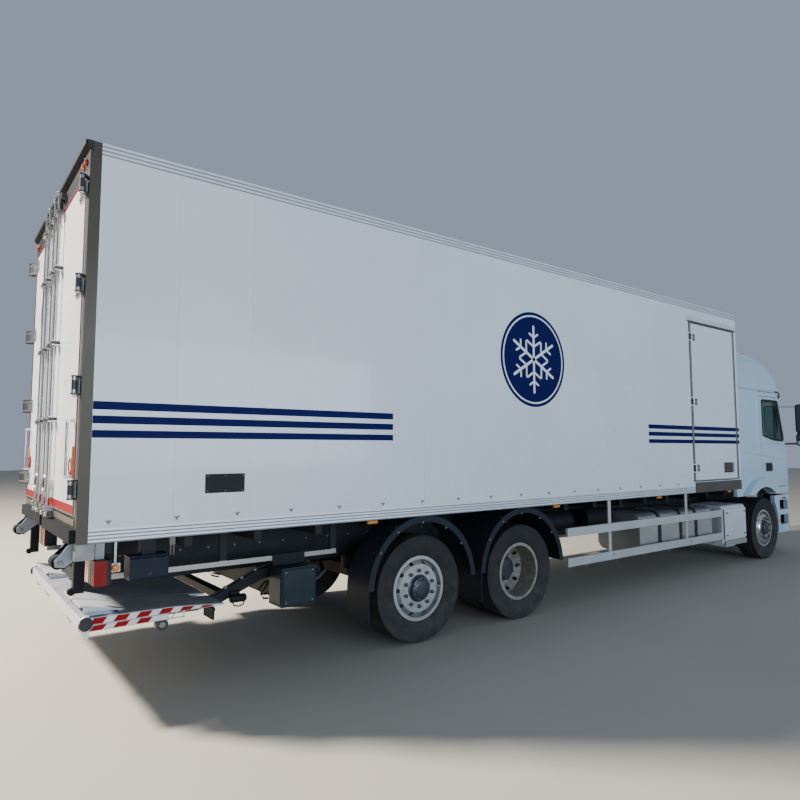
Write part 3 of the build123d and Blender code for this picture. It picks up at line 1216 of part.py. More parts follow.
# Seats and the bunk's mattress: plain cushions
SEAT_Y = 560.0
SEAT_X = (X_FRONT - 170.0, X_FRONT + 330.0)
SEAT_BASE_Z = CAB_FLOOR_Z + 420.0


def cab_seats():
    pieces = []
    for side in (1, -1):
        y0, y1 = sorted((side * (SEAT_Y - 240), side * (SEAT_Y + 240)))
        y0 = max(y0, -CAB_HALF + CAB_WALL + 20)
        cushion = block(SEAT_X[0], SEAT_X[1], y0, y1, SEAT_BASE_Z, SEAT_BASE_Z + 120)
        back = [(SEAT_X[0] - 20, SEAT_BASE_Z + 20), (SEAT_X[0] + 100, SEAT_BASE_Z + 20),
                (SEAT_X[0] - 40, SEAT_BASE_Z + 730), (SEAT_X[0] - 150, SEAT_BASE_Z + 730)]
        pieces.append(fuse([cushion, side_prism(back, y0, y1)]))
    return pieces


def seat_bases():
    pieces = []
    for side in (1, -1):
        floor_y0, floor_y1 = sorted((side * (TUNNEL_HALF + 1), side * (SEAT_Y + 200)))
        top_y0, top_y1 = sorted((side * (SEAT_Y - 200), side * (SEAT_Y + 200)))
        stem = block(SEAT_X[0] + 90, SEAT_X[1] - 60, floor_y0, floor_y1, CAB_FLOOR_Z, SEAT_BASE_Z - 40)
        plate = block(SEAT_X[0] + 30, SEAT_X[1] - 20, top_y0, top_y1, SEAT_BASE_Z - 60, SEAT_BASE_Z - SEAT)
        pieces.append(fuse([stem, plate]))
    return pieces


MATTRESS_WIDTH = CAB_HALF - CAB_WALL - 30.0
MATTRESS = block(X_CAB_REAR + CAB_WALL + 5, X_CAB_REAR + CAB_WALL + BUNK_DEPTH - 5,
                 -MATTRESS_WIDTH, MATTRESS_WIDTH, BUNK_TOP_Z + SEAT, BUNK_TOP_Z + 110)
save("cab_interior", cab_interior() + seat_bases())
save("cab_seats", cab_seats() + [MATTRESS])

# Mirrors on arms from the front pillars, and the sun visor over the windscreen
MIRROR_X = X_FRONT + 1210.0
MIRROR_Y = (1305.0, 1500.0)
MIRROR_Z = (2130.0, 2640.0)
WIDE_MIRROR_Z = (1890.0, 2110.0)


def mirror_set():
    """Main and wide-angle heads, one above the other on a tube, held by two arms."""
    def head(z_range):
        outline = RectangleRounded(MIRROR_Y[1] - MIRROR_Y[0], z_range[1] - z_range[0], 45)
        shell = extrude(Plane.YZ * outline, 95, dir=(1, 0, 0))
        return Pos(MIRROR_X - 20, sum(MIRROR_Y) / 2, sum(z_range) / 2) * shell
    tube_y = MIRROR_Y[0] + 30
    pieces = [head(MIRROR_Z), head(WIDE_MIRROR_Z)]
    pieces.append(rod_z(MIRROR_X + 30, tube_y, 14, WIDE_MIRROR_Z[0] + 20, MIRROR_Z[1] - 20))
    for z, x in ((WIDE_MIRROR_Z[0] + 40, X_FRONT + 1150), (MIRROR_Z[1] - 40, X_FRONT + 960)):
        arm = [(x - 20, CAB_HALF - 60), (x + 30, CAB_HALF - 60), (MIRROR_X + 50, tube_y), (MIRROR_X + 10, tube_y)]
        pieces.append(plan_prism(arm, z - 16, z + 16))
    return fuse(pieces) - CAB_OUTER


def sun_visor():
    outline = [
        (X_FRONT + 1090, 2900), (X_FRONT + 1300, 2800), (X_FRONT + 1310, 2815), (X_FRONT + 1090, 2925),
    ]
    blade = side_prism(outline, -1000, 1000)
    cap = cab_loft(CAP_SECTIONS)
    return blade - cap


save("mirrors", both_sides(mirror_set()))
save("sun_visor", sun_visor())

# Front bumper with steps beside the wheels, and the headlamps in it
BUMPER_LOW_Z = 370.0
BUMPER_HIGH_Z = 1015.0
BUMPER_WALL = 70.0
STEP_COUNT = 2
STEP_LOW_Z = 480.0
STEP_PITCH = 260.0
STEP_PLATE = 25.0
STEP_HEIGHT = 170.0
INTAKE_HALF = 560.0
INTAKE_Z = ((450.0, 560.0), (900.0, 980.0))


def bumper_outline(inset):
    with BuildSketch() as sketch:
        with BuildLine():
            Line((X_FRONT + 560, -CAB_HALF + inset), (X_FRONT + 560, CAB_HALF - inset))
            Line((X_FRONT + 560, CAB_HALF - inset), (X_NOSE - 140 - inset, CAB_HALF - inset))
            ThreePointArc((X_NOSE - 140 - inset, CAB_HALF - inset), (X_NOSE - inset, 0),
                          (X_NOSE - 140 - inset, -CAB_HALF + inset))
            Line((X_NOSE - 140 - inset, -CAB_HALF + inset), (X_FRONT + 560, -CAB_HALF + inset))
        make_face()
        fillet(sketch.vertices().group_by(Axis.X)[-1], radius=150 - inset)
    return sketch.sketch


HEADLAMP_Y = (700.0, 1060.0)
HEADLAMP_Z = (640.0, 860.0)


def bumper_shell():
    outer = Pos(0, 0, BUMPER_LOW_Z) * extrude(bumper_outline(0), BUMPER_HIGH_Z - BUMPER_LOW_Z)
    inner = Pos(0, 0, BUMPER_LOW_Z - 1) * extrude(bumper_outline(BUMPER_WALL), BUMPER_HIGH_Z - BUMPER_LOW_Z + 2)
    inner = inner + block(X_FRONT + 500, X_FRONT + 700, -CAB_HALF + BUMPER_WALL, CAB_HALF - BUMPER_WALL,
                          BUMPER_LOW_Z - 1, BUMPER_HIGH_Z + 1)
    return outer - inner


def headlamp_zone(side, shrink):
    y0, y1 = sorted((side * (HEADLAMP_Y[0] + shrink), side * (HEADLAMP_Y[1] - shrink)))
    return block(X_FRONT + 1100, X_NOSE + 10, y0, y1, HEADLAMP_Z[0] + shrink, HEADLAMP_Z[1] - shrink)


def front_bumper():
    shell = bumper_shell()
    shell = shell - rod_y(X_FRONT, AXLE_Z, ARCH_RADIUS, -CAB_HALF - 10, CAB_HALF + 10)
    for low, high in INTAKE_Z:
        shell = shell - block(X_FRONT + 1200, X_NOSE + 10, -INTAKE_HALF, INTAKE_HALF, low, high)
    for side in (1, -1):
        shell = shell - headlamp_zone(side, 0.0)
    pieces = [shell]
    for side in (1, -1):
        y0, y1 = sorted((side * 200, side * 280))
        pieces.append(block(RAIL_FRONT_X, X_NOSE - BUMPER_WALL + 10, y0, y1, 600, 680))
        for index in range(STEP_COUNT):
            z = STEP_LOW_Z + index * STEP_PITCH
            y0, y1 = sorted((side * (CAB_HALF - 260), side * (CAB_HALF - BUMPER_WALL + 1)))
            pieces.append(block(X_FRONT + 730, X_FRONT + 1120, y0, y1, z, z + STEP_PLATE))
    bumper = fuse(pieces)
    for side in (1, -1):
        for index in range(STEP_COUNT):
            z = STEP_LOW_Z + STEP_PLATE + index * STEP_PITCH
            y0, y1 = sorted((side * (CAB_HALF - BUMPER_WALL - 1), side * (CAB_HALF + 1)))
            bumper = bumper - block(X_FRONT + 760, X_FRONT + 1090, y0, y1, z, z + STEP_HEIGHT)
    return bumper


def headlamps():
    return [bumper_shell() & headlamp_zone(side, SEAT) for side in (1, -1)]


save("front_bumper", front_bumper())
save("headlamps", headlamps())

# Flaps behind the front wheels, hung on the rail
FRONT_FLAP_X = X_FRONT - 665.0
FRONT_FLAP_Y = (880.0, 1190.0)
FRONT_FLAP_Z = (250.0, 1000.0)


def front_flap():
    plate = block(FRONT_FLAP_X, FRONT_FLAP_X + FLAP_THICKNESS, FRONT_FLAP_Y[0], FRONT_FLAP_Y[1],
                  FRONT_FLAP_Z[0], FRONT_FLAP_Z[1])
    stay = rod_y(FRONT_FLAP_X + 5, FRONT_FLAP_Z[1] - 40, STAY_RADIUS, RAIL_OUTER_HALF, FRONT_FLAP_Y[1] - 10)
    return fuse([plate, stay])


save("mudguards", mudguards() + both_sides(front_flap()))

# Tail lift: slide rails under the floor, carriage, arms and the folded platform
SLIDE_Y = (880.0, 920.0)
SLIDE_Z = (880.0, 920.0)
SLIDE_SPAN = (X_TAG - 2870.0, X_TAG - 760.0)
CARRIAGE_X = (X_TAG - 1300.0, X_TAG - 1050.0)
CARRIAGE_Z = (520.0, 735.0)
CARRIAGE_HALF = 1000.0
LIFT_BOX_X = (X_TAG - 1410.0, X_TAG - 1086.0)
LIFT_BOX_Y = (LIFT_ARM_HALF + LIFT_ARM_WIDTH + 20.0, 1120.0)
LIFT_BOX_Z = (515.0, 838.0)
SHOE_X = (LIFT_BOX_X[0] + 10.0, LIFT_BOX_X[1] - 10.0)
SHOE_WALL = 14.0
ARM_Y = (LIFT_ARM_HALF, LIFT_ARM_HALF + LIFT_ARM_WIDTH)
LIFT_PIN_RADIUS = 18.0
ARM_PIVOT_X = X_TAG - 1345.0
ARM_PIVOT_Z = 780.0
PLATFORM_PIVOT_X = X_TAG - 2020.0
PLATFORM_PIVOT_Z = 585.0
ARM_EYE_RADIUS = 40.0
LUG_THICKNESS = 19.0
LUG_GAP = 1.0


def lift_rails():
    pieces = []
    rail = block(SLIDE_SPAN[0], SLIDE_SPAN[1], SLIDE_Y[0], SLIDE_Y[1], SLIDE_Z[0], SLIDE_Z[1])
    parts = [rail]
    for x in (SLIDE_SPAN[0] + 450, SLIDE_SPAN[0] + 1000, SLIDE_SPAN[1] - 60):
        parts.append(block(x, x + 60, SLIDE_Y[0] + 8, SLIDE_Y[1] - 8, SLIDE_Z[1] - 1, BOX_FLOOR_Z))
    pieces.extend(both_sides(fuse(parts)))
    return pieces


def lug_walls():
    """The two walls, low and high, on either side of an arm."""
    return ((ARM_Y[0] - LUG_GAP - LUG_THICKNESS, ARM_Y[0] - LUG_GAP),
            (ARM_Y[1] + LUG_GAP, ARM_Y[1] + LUG_GAP + LUG_THICKNESS))


def lift_carriage():
    """The cross beam with a box at each end, a shoe on each slide rail and lugs for the arms."""
    low_z, high_z = CARRIAGE_Z
    pieces = [block(CARRIAGE_X[0], CARRIAGE_X[1], -CARRIAGE_HALF, CARRIAGE_HALF, low_z, high_z)]
    for side in (1, -1):
        y0, y1 = sorted((side * LIFT_BOX_Y[0], side * LIFT_BOX_Y[1]))
        pieces.append(block(LIFT_BOX_X[0], LIFT_BOX_X[1], y0, y1, LIFT_BOX_Z[0], LIFT_BOX_Z[1]))
        y0, y1 = sorted((side * (SLIDE_Y[0] - SHOE_WALL), side * (SLIDE_Y[1] + SHOE_WALL)))
        pieces.append(block(SHOE_X[0], SHOE_X[1], y0, y1, LIFT_BOX_Z[1] - 1, SLIDE_Z[0] - SEAT))
        for low, high in ((SLIDE_Y[0] - SHOE_WALL, SLIDE_Y[0] - SEAT), (SLIDE_Y[1] + SEAT, SLIDE_Y[1] + SHOE_WALL)):
            y0, y1 = sorted((side * low, side * high))
            pieces.append(block(SHOE_X[0], SHOE_X[1], y0, y1, SLIDE_Z[0] - 2, SLIDE_Z[1] + 10))
        lug = [(CARRIAGE_X[0] + 2, low_z + 60), (CARRIAGE_X[0] + 2, high_z), (ARM_PIVOT_X + 30, ARM_PIVOT_Z + 30),
               (ARM_PIVOT_X - 30, ARM_PIVOT_Z + 30), (ARM_PIVOT_X - 36, ARM_PIVOT_Z - 20)]
        for low, high in lug_walls():
            pieces.append(side_prism(lug, *sorted((side * low, side * high))))
        y0, y1 = sorted((side * (ARM_Y[0] - LUG_THICKNESS), side * (ARM_Y[1] + LUG_THICKNESS)))
        pieces.append(rod_y(ARM_PIVOT_X, ARM_PIVOT_Z, LIFT_PIN_RADIUS, y0, y1))
    return fuse(pieces)


def lift_arm():
    """A cranked arm: level beside the platform, then rising to the pivot on the carriage."""
    y0, y1 = ARM_Y
    outline = [
        (PLATFORM_PIVOT_X, PLATFORM_PIVOT_Z - 36), (PLATFORM_PIVOT_X + 130, PLATFORM_PIVOT_Z - 34),
        (ARM_PIVOT_X - 120, ARM_PIVOT_Z - 60), (ARM_PIVOT_X, ARM_PIVOT_Z - 36),
        (ARM_PIVOT_X, ARM_PIVOT_Z + 36), (ARM_PIVOT_X - 160, ARM_PIVOT_Z + 26),
        (PLATFORM_PIVOT_X + 110, PLATFORM_PIVOT_Z + 40), (PLATFORM_PIVOT_X, PLATFORM_PIVOT_Z + 36),
    ]
    arm = fuse([
        side_prism(outline, y0, y1),
        rod_y(ARM_PIVOT_X, ARM_PIVOT_Z, ARM_EYE_RADIUS, y0, y1),
        rod_y(PLATFORM_PIVOT_X, PLATFORM_PIVOT_Z, ARM_EYE_RADIUS, y0, y1),
    ])
    for x, z in ((ARM_PIVOT_X, ARM_PIVOT_Z), (PLATFORM_PIVOT_X, PLATFORM_PIVOT_Z)):
        arm = arm - rod_y(x, z, LIFT_PIN_RADIUS + SEAT, y0 - 1, y1 + 1)
    return arm


def lift_arms():
    tie = block(PLATFORM_PIVOT_X + 180, PLATFORM_PIVOT_X + 260, -ARM_Y[0] - 1, ARM_Y[0] + 1,
                PLATFORM_PIVOT_Z + 5, PLATFORM_PIVOT_Z + 65)
    return fuse(both_sides(lift_arm()) + [tie])


TIP_REAR_X = X_TAG - LIFT_PLATFORM_REAR
MAIN_LENGTH = 578.0
MAIN_LOW_Z = 596.0
FOLD_Z = 640.0
TIP_THICKNESS = 50.0
FOLD_PIN_RADIUS = 24.0
FOLD_HINGE_LENGTH = 300.0
GROUND_ROLLER = (548.0, 556.0, 42.0)
GROUND_ROLLER_Y = (1100.0, 1170.0)
NOTCH_GAP = 12.0


def lift_platform():
    """The folded platform: the long tip leaf lies on the short main leaf that the arms carry."""
    half = LIFT_PLATFORM_HALF
    main_front = TIP_REAR_X + MAIN_LENGTH
    main = block(TIP_REAR_X + 25, main_front, -half, half, MAIN_LOW_Z, FOLD_Z - 2)
    tip = side_prism([
        (TIP_REAR_X, FOLD_Z), (TIP_REAR_X, FOLD_Z + TIP_THICKNESS),
        (TIP_REAR_X + LIFT_TIP_LENGTH * 0.62, FOLD_Z + TIP_THICKNESS - 8),
        (TIP_REAR_X + LIFT_TIP_LENGTH, FOLD_Z + 12), (TIP_REAR_X + LIFT_TIP_LENGTH, FOLD_Z),
    ], -half, half)
    pieces = [main, tip]
    length = FOLD_HINGE_LENGTH
    for y0, y1 in ((-half, -half + length), (-length / 2, length / 2), (half - length, half)):
        pieces.append(rod_y(TIP_REAR_X + FOLD_PIN_RADIUS + 2, FOLD_Z - 2, FOLD_PIN_RADIUS, y0, y1))
    lug = [(main_front - 90, MAIN_LOW_Z + 5), (main_front - 30, 552), (PLATFORM_PIVOT_X - 10, 546),
           (PLATFORM_PIVOT_X + 28, PLATFORM_PIVOT_Z - 14), (PLATFORM_PIVOT_X + 28, PLATFORM_PIVOT_Z + 20),
           (PLATFORM_PIVOT_X - 40, FOLD_Z - 2), (main_front - 90, FOLD_Z - 2)]
    for side in (1, -1):
        for low, high in lug_walls():
            pieces.append(side_prism(lug, *sorted((side * low, side * high))))
        y0, y1 = sorted((side * (ARM_Y[0] - LUG_THICKNESS), side * (ARM_Y[1] + LUG_THICKNESS)))
        pieces.append(rod_y(PLATFORM_PIVOT_X, PLATFORM_PIVOT_Z, LIFT_PIN_RADIUS, y0, y1))
        y0, y1 = sorted((side * GROUND_ROLLER_Y[0], side * GROUND_ROLLER_Y[1]))
        pieces.append(rod_y(TIP_REAR_X + GROUND_ROLLER[0], GROUND_ROLLER[1], GROUND_ROLLER[2], y0, y1))
    platform = fuse(pieces)
    for side in (1, -1):
        y0, y1 = sorted((side * (ARM_Y[0] - NOTCH_GAP), side * (ARM_Y[1] + NOTCH_GAP)))
        platform = platform - block(PLATFORM_PIVOT_X - 60, PLATFORM_PIVOT_X + 120, y0, y1, FOLD_Z - 3, FOLD_Z + 80)
    return platform


save("lift_rails", lift_rails() + [control_box()])
save("lift_carriage", lift_carriage())
save("lift_arms", lift_arms())
save("lift_platform", lift_platform())
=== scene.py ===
import math
import bmesh
import bpy
from mathutils import Matrix, Vector


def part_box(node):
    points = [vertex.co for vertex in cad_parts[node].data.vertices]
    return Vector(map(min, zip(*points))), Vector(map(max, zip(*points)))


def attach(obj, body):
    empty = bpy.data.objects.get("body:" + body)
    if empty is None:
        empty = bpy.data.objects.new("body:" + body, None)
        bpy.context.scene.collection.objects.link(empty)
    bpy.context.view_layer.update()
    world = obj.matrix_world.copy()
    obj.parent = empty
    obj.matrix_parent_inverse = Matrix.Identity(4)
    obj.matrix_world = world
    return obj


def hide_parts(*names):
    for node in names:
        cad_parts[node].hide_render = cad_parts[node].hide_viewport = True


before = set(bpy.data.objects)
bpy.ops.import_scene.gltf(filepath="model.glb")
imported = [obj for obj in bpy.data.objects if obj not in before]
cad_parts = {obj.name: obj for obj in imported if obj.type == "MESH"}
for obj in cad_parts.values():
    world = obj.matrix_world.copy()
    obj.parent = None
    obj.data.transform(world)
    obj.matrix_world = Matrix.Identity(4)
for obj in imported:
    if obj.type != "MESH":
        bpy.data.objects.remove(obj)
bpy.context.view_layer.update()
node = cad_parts

# Ladder frame, subframe, axles and springs: rolled and forged steel under black chassis paint,
# dulled by road dust that is thickest low down. Flange bolts hold the crossmembers.
DUST = (0.165, 0.145, 0.12, 1.0)
DUST_DULLS = 0.45
NOISE_LOW, NOISE_HIGH = 0.3, 0.7
COAT_ROUGHNESS = 0.06
SIDES = (("left", 1), ("right", -1))


def wire(tree, kind, inputs=None, **settings):
    """A node with its settings and inputs; an input is a value or another node's output."""
    made = tree.nodes.new(kind)
    for key, value in settings.items():
        setattr(made, key, value)
    for key, value in (inputs or {}).items():
        if isinstance(value, bpy.types.NodeSocket):
            tree.links.new(value, made.inputs[key])
        else:
            made.inputs[key].default_value = value
    return made


def reckon(tree, operation, *values, **settings):
    """The output of a node that works out a number from two or three others."""
    numbered = dict(enumerate(values))
    return wire(tree, "ShaderNodeMath", numbered, operation=operation, **settings).outputs[0]


def group_with(name, inputs, outputs):
    """An empty shader group with its sockets; both lists hold name, kind and default value."""
    tree = bpy.data.node_groups.new(name, "ShaderNodeTree")
    for way, rows in (("INPUT", inputs), ("OUTPUT", outputs)):
        for label, kind, value in rows:
            socket = tree.interface.new_socket(label, in_out=way, socket_type="NodeSocket" + kind)
            if value is not None:
                socket.default_value = value
    return tree, tree.nodes.new("NodeGroupInput"), tree.nodes.new("NodeGroupOutput")


def road_dust_group():
    """Mottles a colour and lays dust on it up to a height that a noise breaks up."""
    tree, given, result = group_with(
        "road dust",
        [("Colour", "Color", (1, 1, 1, 1)), ("Dust", "Color", DUST), ("Amount", "Float", 0.3),
         ("Top", "Float", 1.2), ("Mottle", "Float", 0.1), ("Mottle size", "Float", 0.3)],
        [("Colour", "Color", None), ("Mask", "Float", None), ("Cloud", "Float", None)])
    place = wire(tree, "ShaderNodeTexCoord").outputs["Object"]
    over_size = reckon(tree, "DIVIDE", 1.0, given.outputs["Mottle size"])
    cloud = wire(tree, "ShaderNodeTexNoise", {"Vector": place, "Scale": over_size, "Detail": 6.0})
    spots = wire(tree, "ShaderNodeTexNoise",
                 {"Vector": place, "Scale": 9.0, "Detail": 8.0, "Roughness": 0.65})
    height = wire(tree, "ShaderNodeSeparateXYZ", {0: place}).outputs["Z"]
    fall = wire(tree, "ShaderNodeMapRange", {0: height, 1: 0.0, 2: given.outputs["Top"], 3: 1.0, 4: 0.12})
    patch = wire(tree, "ShaderNodeMapRange", {0: spots.outputs["Fac"], 1: 0.36, 2: 0.72, 3: 0.25, 4: 1.0})
    lie = reckon(tree, "MULTIPLY", fall.outputs[0], patch.outputs[0])
    mask = reckon(tree, "MULTIPLY", lie, given.outputs["Amount"], use_clamp=True)
    low = reckon(tree, "SUBTRACT", 1.0, given.outputs["Mottle"])
    high = reckon(tree, "ADD", 1.0, given.outputs["Mottle"])
    shade = wire(tree, "ShaderNodeMapRange",
                 {0: cloud.outputs["Fac"], 1: NOISE_LOW, 2: NOISE_HIGH, 3: low, 4: high})
    tint = wire(tree, "ShaderNodeVectorMath", {0: given.outputs["Colour"], "Scale": shade.outputs[0]},
                operation="SCALE")
    mixed = wire(tree, "ShaderNodeMix", {0: mask, 6: tint.outputs[0], 7: given.outputs["Dust"]},
                 data_type="RGBA")
    tree.links.new(mixed.outputs[2], result.inputs["Colour"])
    tree.links.new(mask, result.inputs["Mask"])
    tree.links.new(cloud.outputs["Fac"], result.inputs["Cloud"])
    return tree


def surface_grain_group():
    """Noise stretched by a vector, as a value and as a bump: orange peel, cast skin or brushing."""
    tree, given, result = group_with(
        "surface grain",
        [("Stretch", "Vector", (1, 1, 1)), ("Scale", "Float", 200.0), ("Depth", "Float", 0.0002)],
        [("Value", "Float", None), ("Normal", "Vector", None)])
    place = wire(tree, "ShaderNodeTexCoord").outputs["Object"]
    drawn = wire(tree, "ShaderNodeVectorMath", {0: place, 1: given.outputs["Stretch"]},
                 operation="MULTIPLY")
    noise = wire(tree, "ShaderNodeTexNoise", {"Vector": drawn.outputs[0], "Scale": given.outputs["Scale"],
                                              "Detail": 4.0, "Roughness": 0.6})
    bump = wire(tree, "ShaderNodeBump", {"Strength": 1.0, "Distance": given.outputs["Depth"],
                                         "Height": noise.outputs["Fac"]})
    tree.links.new(noise.outputs["Fac"], result.inputs["Value"])
    tree.links.new(bump.outputs[0], result.inputs["Normal"])
    return tree


ROAD_DUST = road_dust_group()
SURFACE_GRAIN = surface_grain_group()


def zone_group():
    """A mask that is 1 inside a box of the object's space."""
    tree, given, result = group_with(
        "zone", [("Centre", "Vector", (0, 0, 0)), ("Half", "Vector", (1, 1, 1))], [("Mask", "Float", None)])
    place = wire(tree, "ShaderNodeTexCoord").outputs["Object"]
    away = wire(tree, "ShaderNodeVectorMath", {0: place, 1: given.outputs["Centre"]}, operation="SUBTRACT")
    share = wire(tree, "ShaderNodeVectorMath", {0: away.outputs[0], 1: given.outputs["Half"]},
                 operation="DIVIDE")
    size = wire(tree, "ShaderNodeVectorMath", {0: share.outputs[0]}, operation="ABSOLUTE")
    parts = wire(tree, "ShaderNodeSeparateXYZ", {0: size.outputs[0]})
    wide = reckon(tree, "MAXIMUM", parts.outputs["X"], parts.outputs["Y"])
    most = reckon(tree, "MAXIMUM", wide, parts.outputs["Z"])
    tree.links.new(reckon(tree, "LESS_THAN", most, 1.0), result.inputs["Mask"])
    return tree


ZONE = zone_group()


def surface(name, colour, roughness, metallic=0.0, dust=0.0, dust_top=1.4, mottle=0.06, mottle_size=0.4,
            grain=220.0, depth=0.00015, stretch=(1, 1, 1), coat=0.0, spread=0.08, gloss=0.5, zones=()):
    """A finish: a mottled and dusted colour, roughness that follows both, and a grain bump.

    A zone is a box, as three pairs, with the colour, roughness and metal of what lies in it."""
    made = bpy.data.materials.new(name)
    made.use_nodes = True
    tree = made.node_tree
    shader = tree.nodes["Principled BSDF"]
    dusty = wire(tree, "ShaderNodeGroup", {}, node_tree=ROAD_DUST)
    for label, value in (("Colour", (*colour, 1.0)), ("Dust", DUST), ("Amount", dust), ("Top", dust_top),
                         ("Mottle", mottle), ("Mottle size", mottle_size)):
        dusty.inputs[label].default_value = value
    skin = wire(tree, "ShaderNodeGroup", {}, node_tree=SURFACE_GRAIN)
    for label, value in (("Stretch", stretch), ("Scale", grain), ("Depth", depth)):
        skin.inputs[label].default_value = value
    rough = wire(tree, "ShaderNodeMapRange",
                 {0: skin.outputs["Value"], 1: NOISE_LOW, 2: NOISE_HIGH, 3: roughness - spread,
                  4: roughness + spread}).outputs[0]
    shader.inputs["Metallic"].default_value = metallic
    paint, metal = None, None
    for span, other, dull, shine in zones:
        mask = wire(tree, "ShaderNodeGroup", {}, node_tree=ZONE)
        mask.inputs["Centre"].default_value = [(low + high) / 2 for low, high in span]
        mask.inputs["Half"].default_value = [(high - low) / 2 for low, high in span]
        share = mask.outputs["Mask"]
        paint = wire(tree, "ShaderNodeMix", {0: share, 6: paint or (*colour, 1.0), 7: (*other, 1.0)},
                     data_type="RGBA").outputs[2]
        rough = wire(tree, "ShaderNodeMix", {0: share, 2: rough, 3: dull}).outputs[0]
        metal = wire(tree, "ShaderNodeMix",
                     {0: share, 2: metallic if metal is None else metal, 3: shine}).outputs[0]
    if zones:
        tree.links.new(paint, dusty.inputs["Colour"])
        tree.links.new(metal, shader.inputs["Metallic"])
    dulled = reckon(tree, "MULTIPLY_ADD", dusty.outputs["Mask"], DUST_DULLS, rough, use_clamp=True)
    tree.links.new(dusty.outputs["Colour"], shader.inputs["Base Color"])
    tree.links.new(dulled, shader.inputs["Roughness"])
    tree.links.new(skin.outputs["Normal"], shader.inputs["Normal"])
    shader.inputs["Specular IOR Level"].default_value = gloss
    shader.inputs["Coat Weight"].default_value = coat
    shader.inputs["Coat Roughness"].default_value = COAT_ROUGHNESS
    return made


def dress(material, *names):
    """Gives CAD nodes their finish."""
    for name in names:
        for slot in node[name].material_slots:
            slot.material = material


def finished(name, mesh, body, material=None, bevel=0.0, smooth_angle=35.0):
    """A mesh as a piece on its body, with soft edges and a material slot."""
    if material is not None:
        mesh.materials.clear()
        mesh.materials.append(material)
    mesh.polygons.foreach_set("use_smooth", [True] * len(mesh.polygons))
    mesh.set_sharp_from_angle(angle=math.radians(smooth_angle))
    made = bpy.data.objects.new(name, mesh)
    bpy.context.scene.collection.objects.link(made)
    if bevel:
        soften = made.modifiers.new("soft edges", "BEVEL")
        soften.width = bevel
        soften.segments = 2
        soften.limit_method = "ANGLE"
        soften.angle_limit = math.radians(40)
    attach(made, body)
    return made


def built(name, shapes, body, material, bevel=0.0, smooth_angle=35.0):
    """A piece of several closed shapes; each is a function that adds itself to a bmesh."""
    mesh = bpy.data.meshes.new(name)
    form = bmesh.new()
    for shape in shapes:
        shape(form)
    bmesh.ops.recalc_face_normals(form, faces=form.faces)
    form.to_mesh(mesh)
    form.free()
    return finished(name, mesh, body, material, bevel, smooth_angle)


def block(x, y, z):
    """A closed box between three pairs of planes."""
    centre = [(low + high) / 2 for low, high in (x, y, z)]
    size = [abs(high - low) for low, high in (x, y, z)]

    def add(form):
        bmesh.ops.create_cube(form, size=1.0,
                              matrix=Matrix.Translation(centre) @ Matrix.Diagonal((*size, 1)))
    return add


def corners_of(form, rings):
    """The rings of points as rows of new corners."""
    return [[form.verts.new(point) for point in ring] for ring in rings]


def joined(form, rows):
    """Faces from each row of corners to the next, all the way round."""
    for first, second in zip(rows, rows[1:]):
        for index in range(len(first)):
            after = (index + 1) % len(first)
            form.faces.new((first[index], first[after], second[after], second[index]))


def about(middle, half):
    """The span of a half width to each side of a middle."""
    return middle - half, middle + half


def inset(span, depth):
    """A span without a depth at each end."""
    return span[0] + depth, span[1] - depth


def pair(side, near, far):
    """Two distances from the middle plane, on one side of it."""
    return side * near, side * far


def sided(side, points):
    """Points whose distance from the middle plane is taken to one side."""
    return [(x, side * y, z) for x, y, z in points]


def swept(rings):
    """A closed tube of faces through rings of points with equal counts."""
    def add(form):
        rows = corners_of(form, rings)
        joined(form, rows)
        form.faces.new(list(reversed(rows[0])))
        form.faces.new(rows[-1])
    return add


def looped(rings):
    """A closed hoop of faces through rings of points."""
    def add(form):
        rows = corners_of(form, rings)
        joined(form, rows + rows[:1])
    return add


def put(flat, axis, level):
    """The point of space that two coordinates and a level along an axis stand for."""
    whole = list(flat)
    whole.insert("XYZ".index(axis), level)
    return Vector(whole)


def prism(outline, axis, low, high):
    """An outline of two coordinates, drawn out along the third axis."""
    return swept([[put(point, axis, level) for point in outline] for level in (low, high)])


def circle(centre, turn, radius, sides):
    """Points round a centre, in the plane that a turn faces."""
    angles = [2 * math.pi * index / sides for index in range(sides)]
    return [centre + turn @ Vector((radius * math.cos(a), radius * math.sin(a), 0)) for a in angles]


def rod(start, end, radius, sides=16, end_radius=None):
    """A round bar between two points."""
    start, end = Vector(start), Vector(end)
    turn = (end - start).to_track_quat("Z", "Y")
    last = radius if end_radius is None else end_radius
    return swept([circle(start, turn, radius, sides), circle(end, turn, last, sides)])


def pipe(points, radius, sides=10):
    """A round tube along points, its rings turned halfway at each bend."""
    points = [Vector(point) for point in points]
    rings = []
    for before, point, after in zip(points[:1] + points, points, points[1:] + points[-1:]):
        rings.append(circle(point, (after - before).to_track_quat("Z", "Y"), radius, sides))
    return swept(rings)


SAME_POINT = 1e-6


def lathe(profile, centre, steps=64, axis="Y"):
    """A closed profile of radius and distance along the axis, turned about it."""
    rings = []
    for step in range(steps):
        a = 2 * math.pi * step / steps
        rings.append([Vector(centre) + put((radius * math.cos(a), radius * math.sin(a)), axis, along)
                      for radius, along in profile])

    def add(form):
        rows = corners_of(form, rings)
        joined(form, rows + rows[:1])
        bmesh.ops.remove_doubles(form, verts=[v for row in rows for v in row], dist=SAME_POINT)
    return add


CROWN_TAPER = 0.72
CROWN_HEIGHT = 0.25


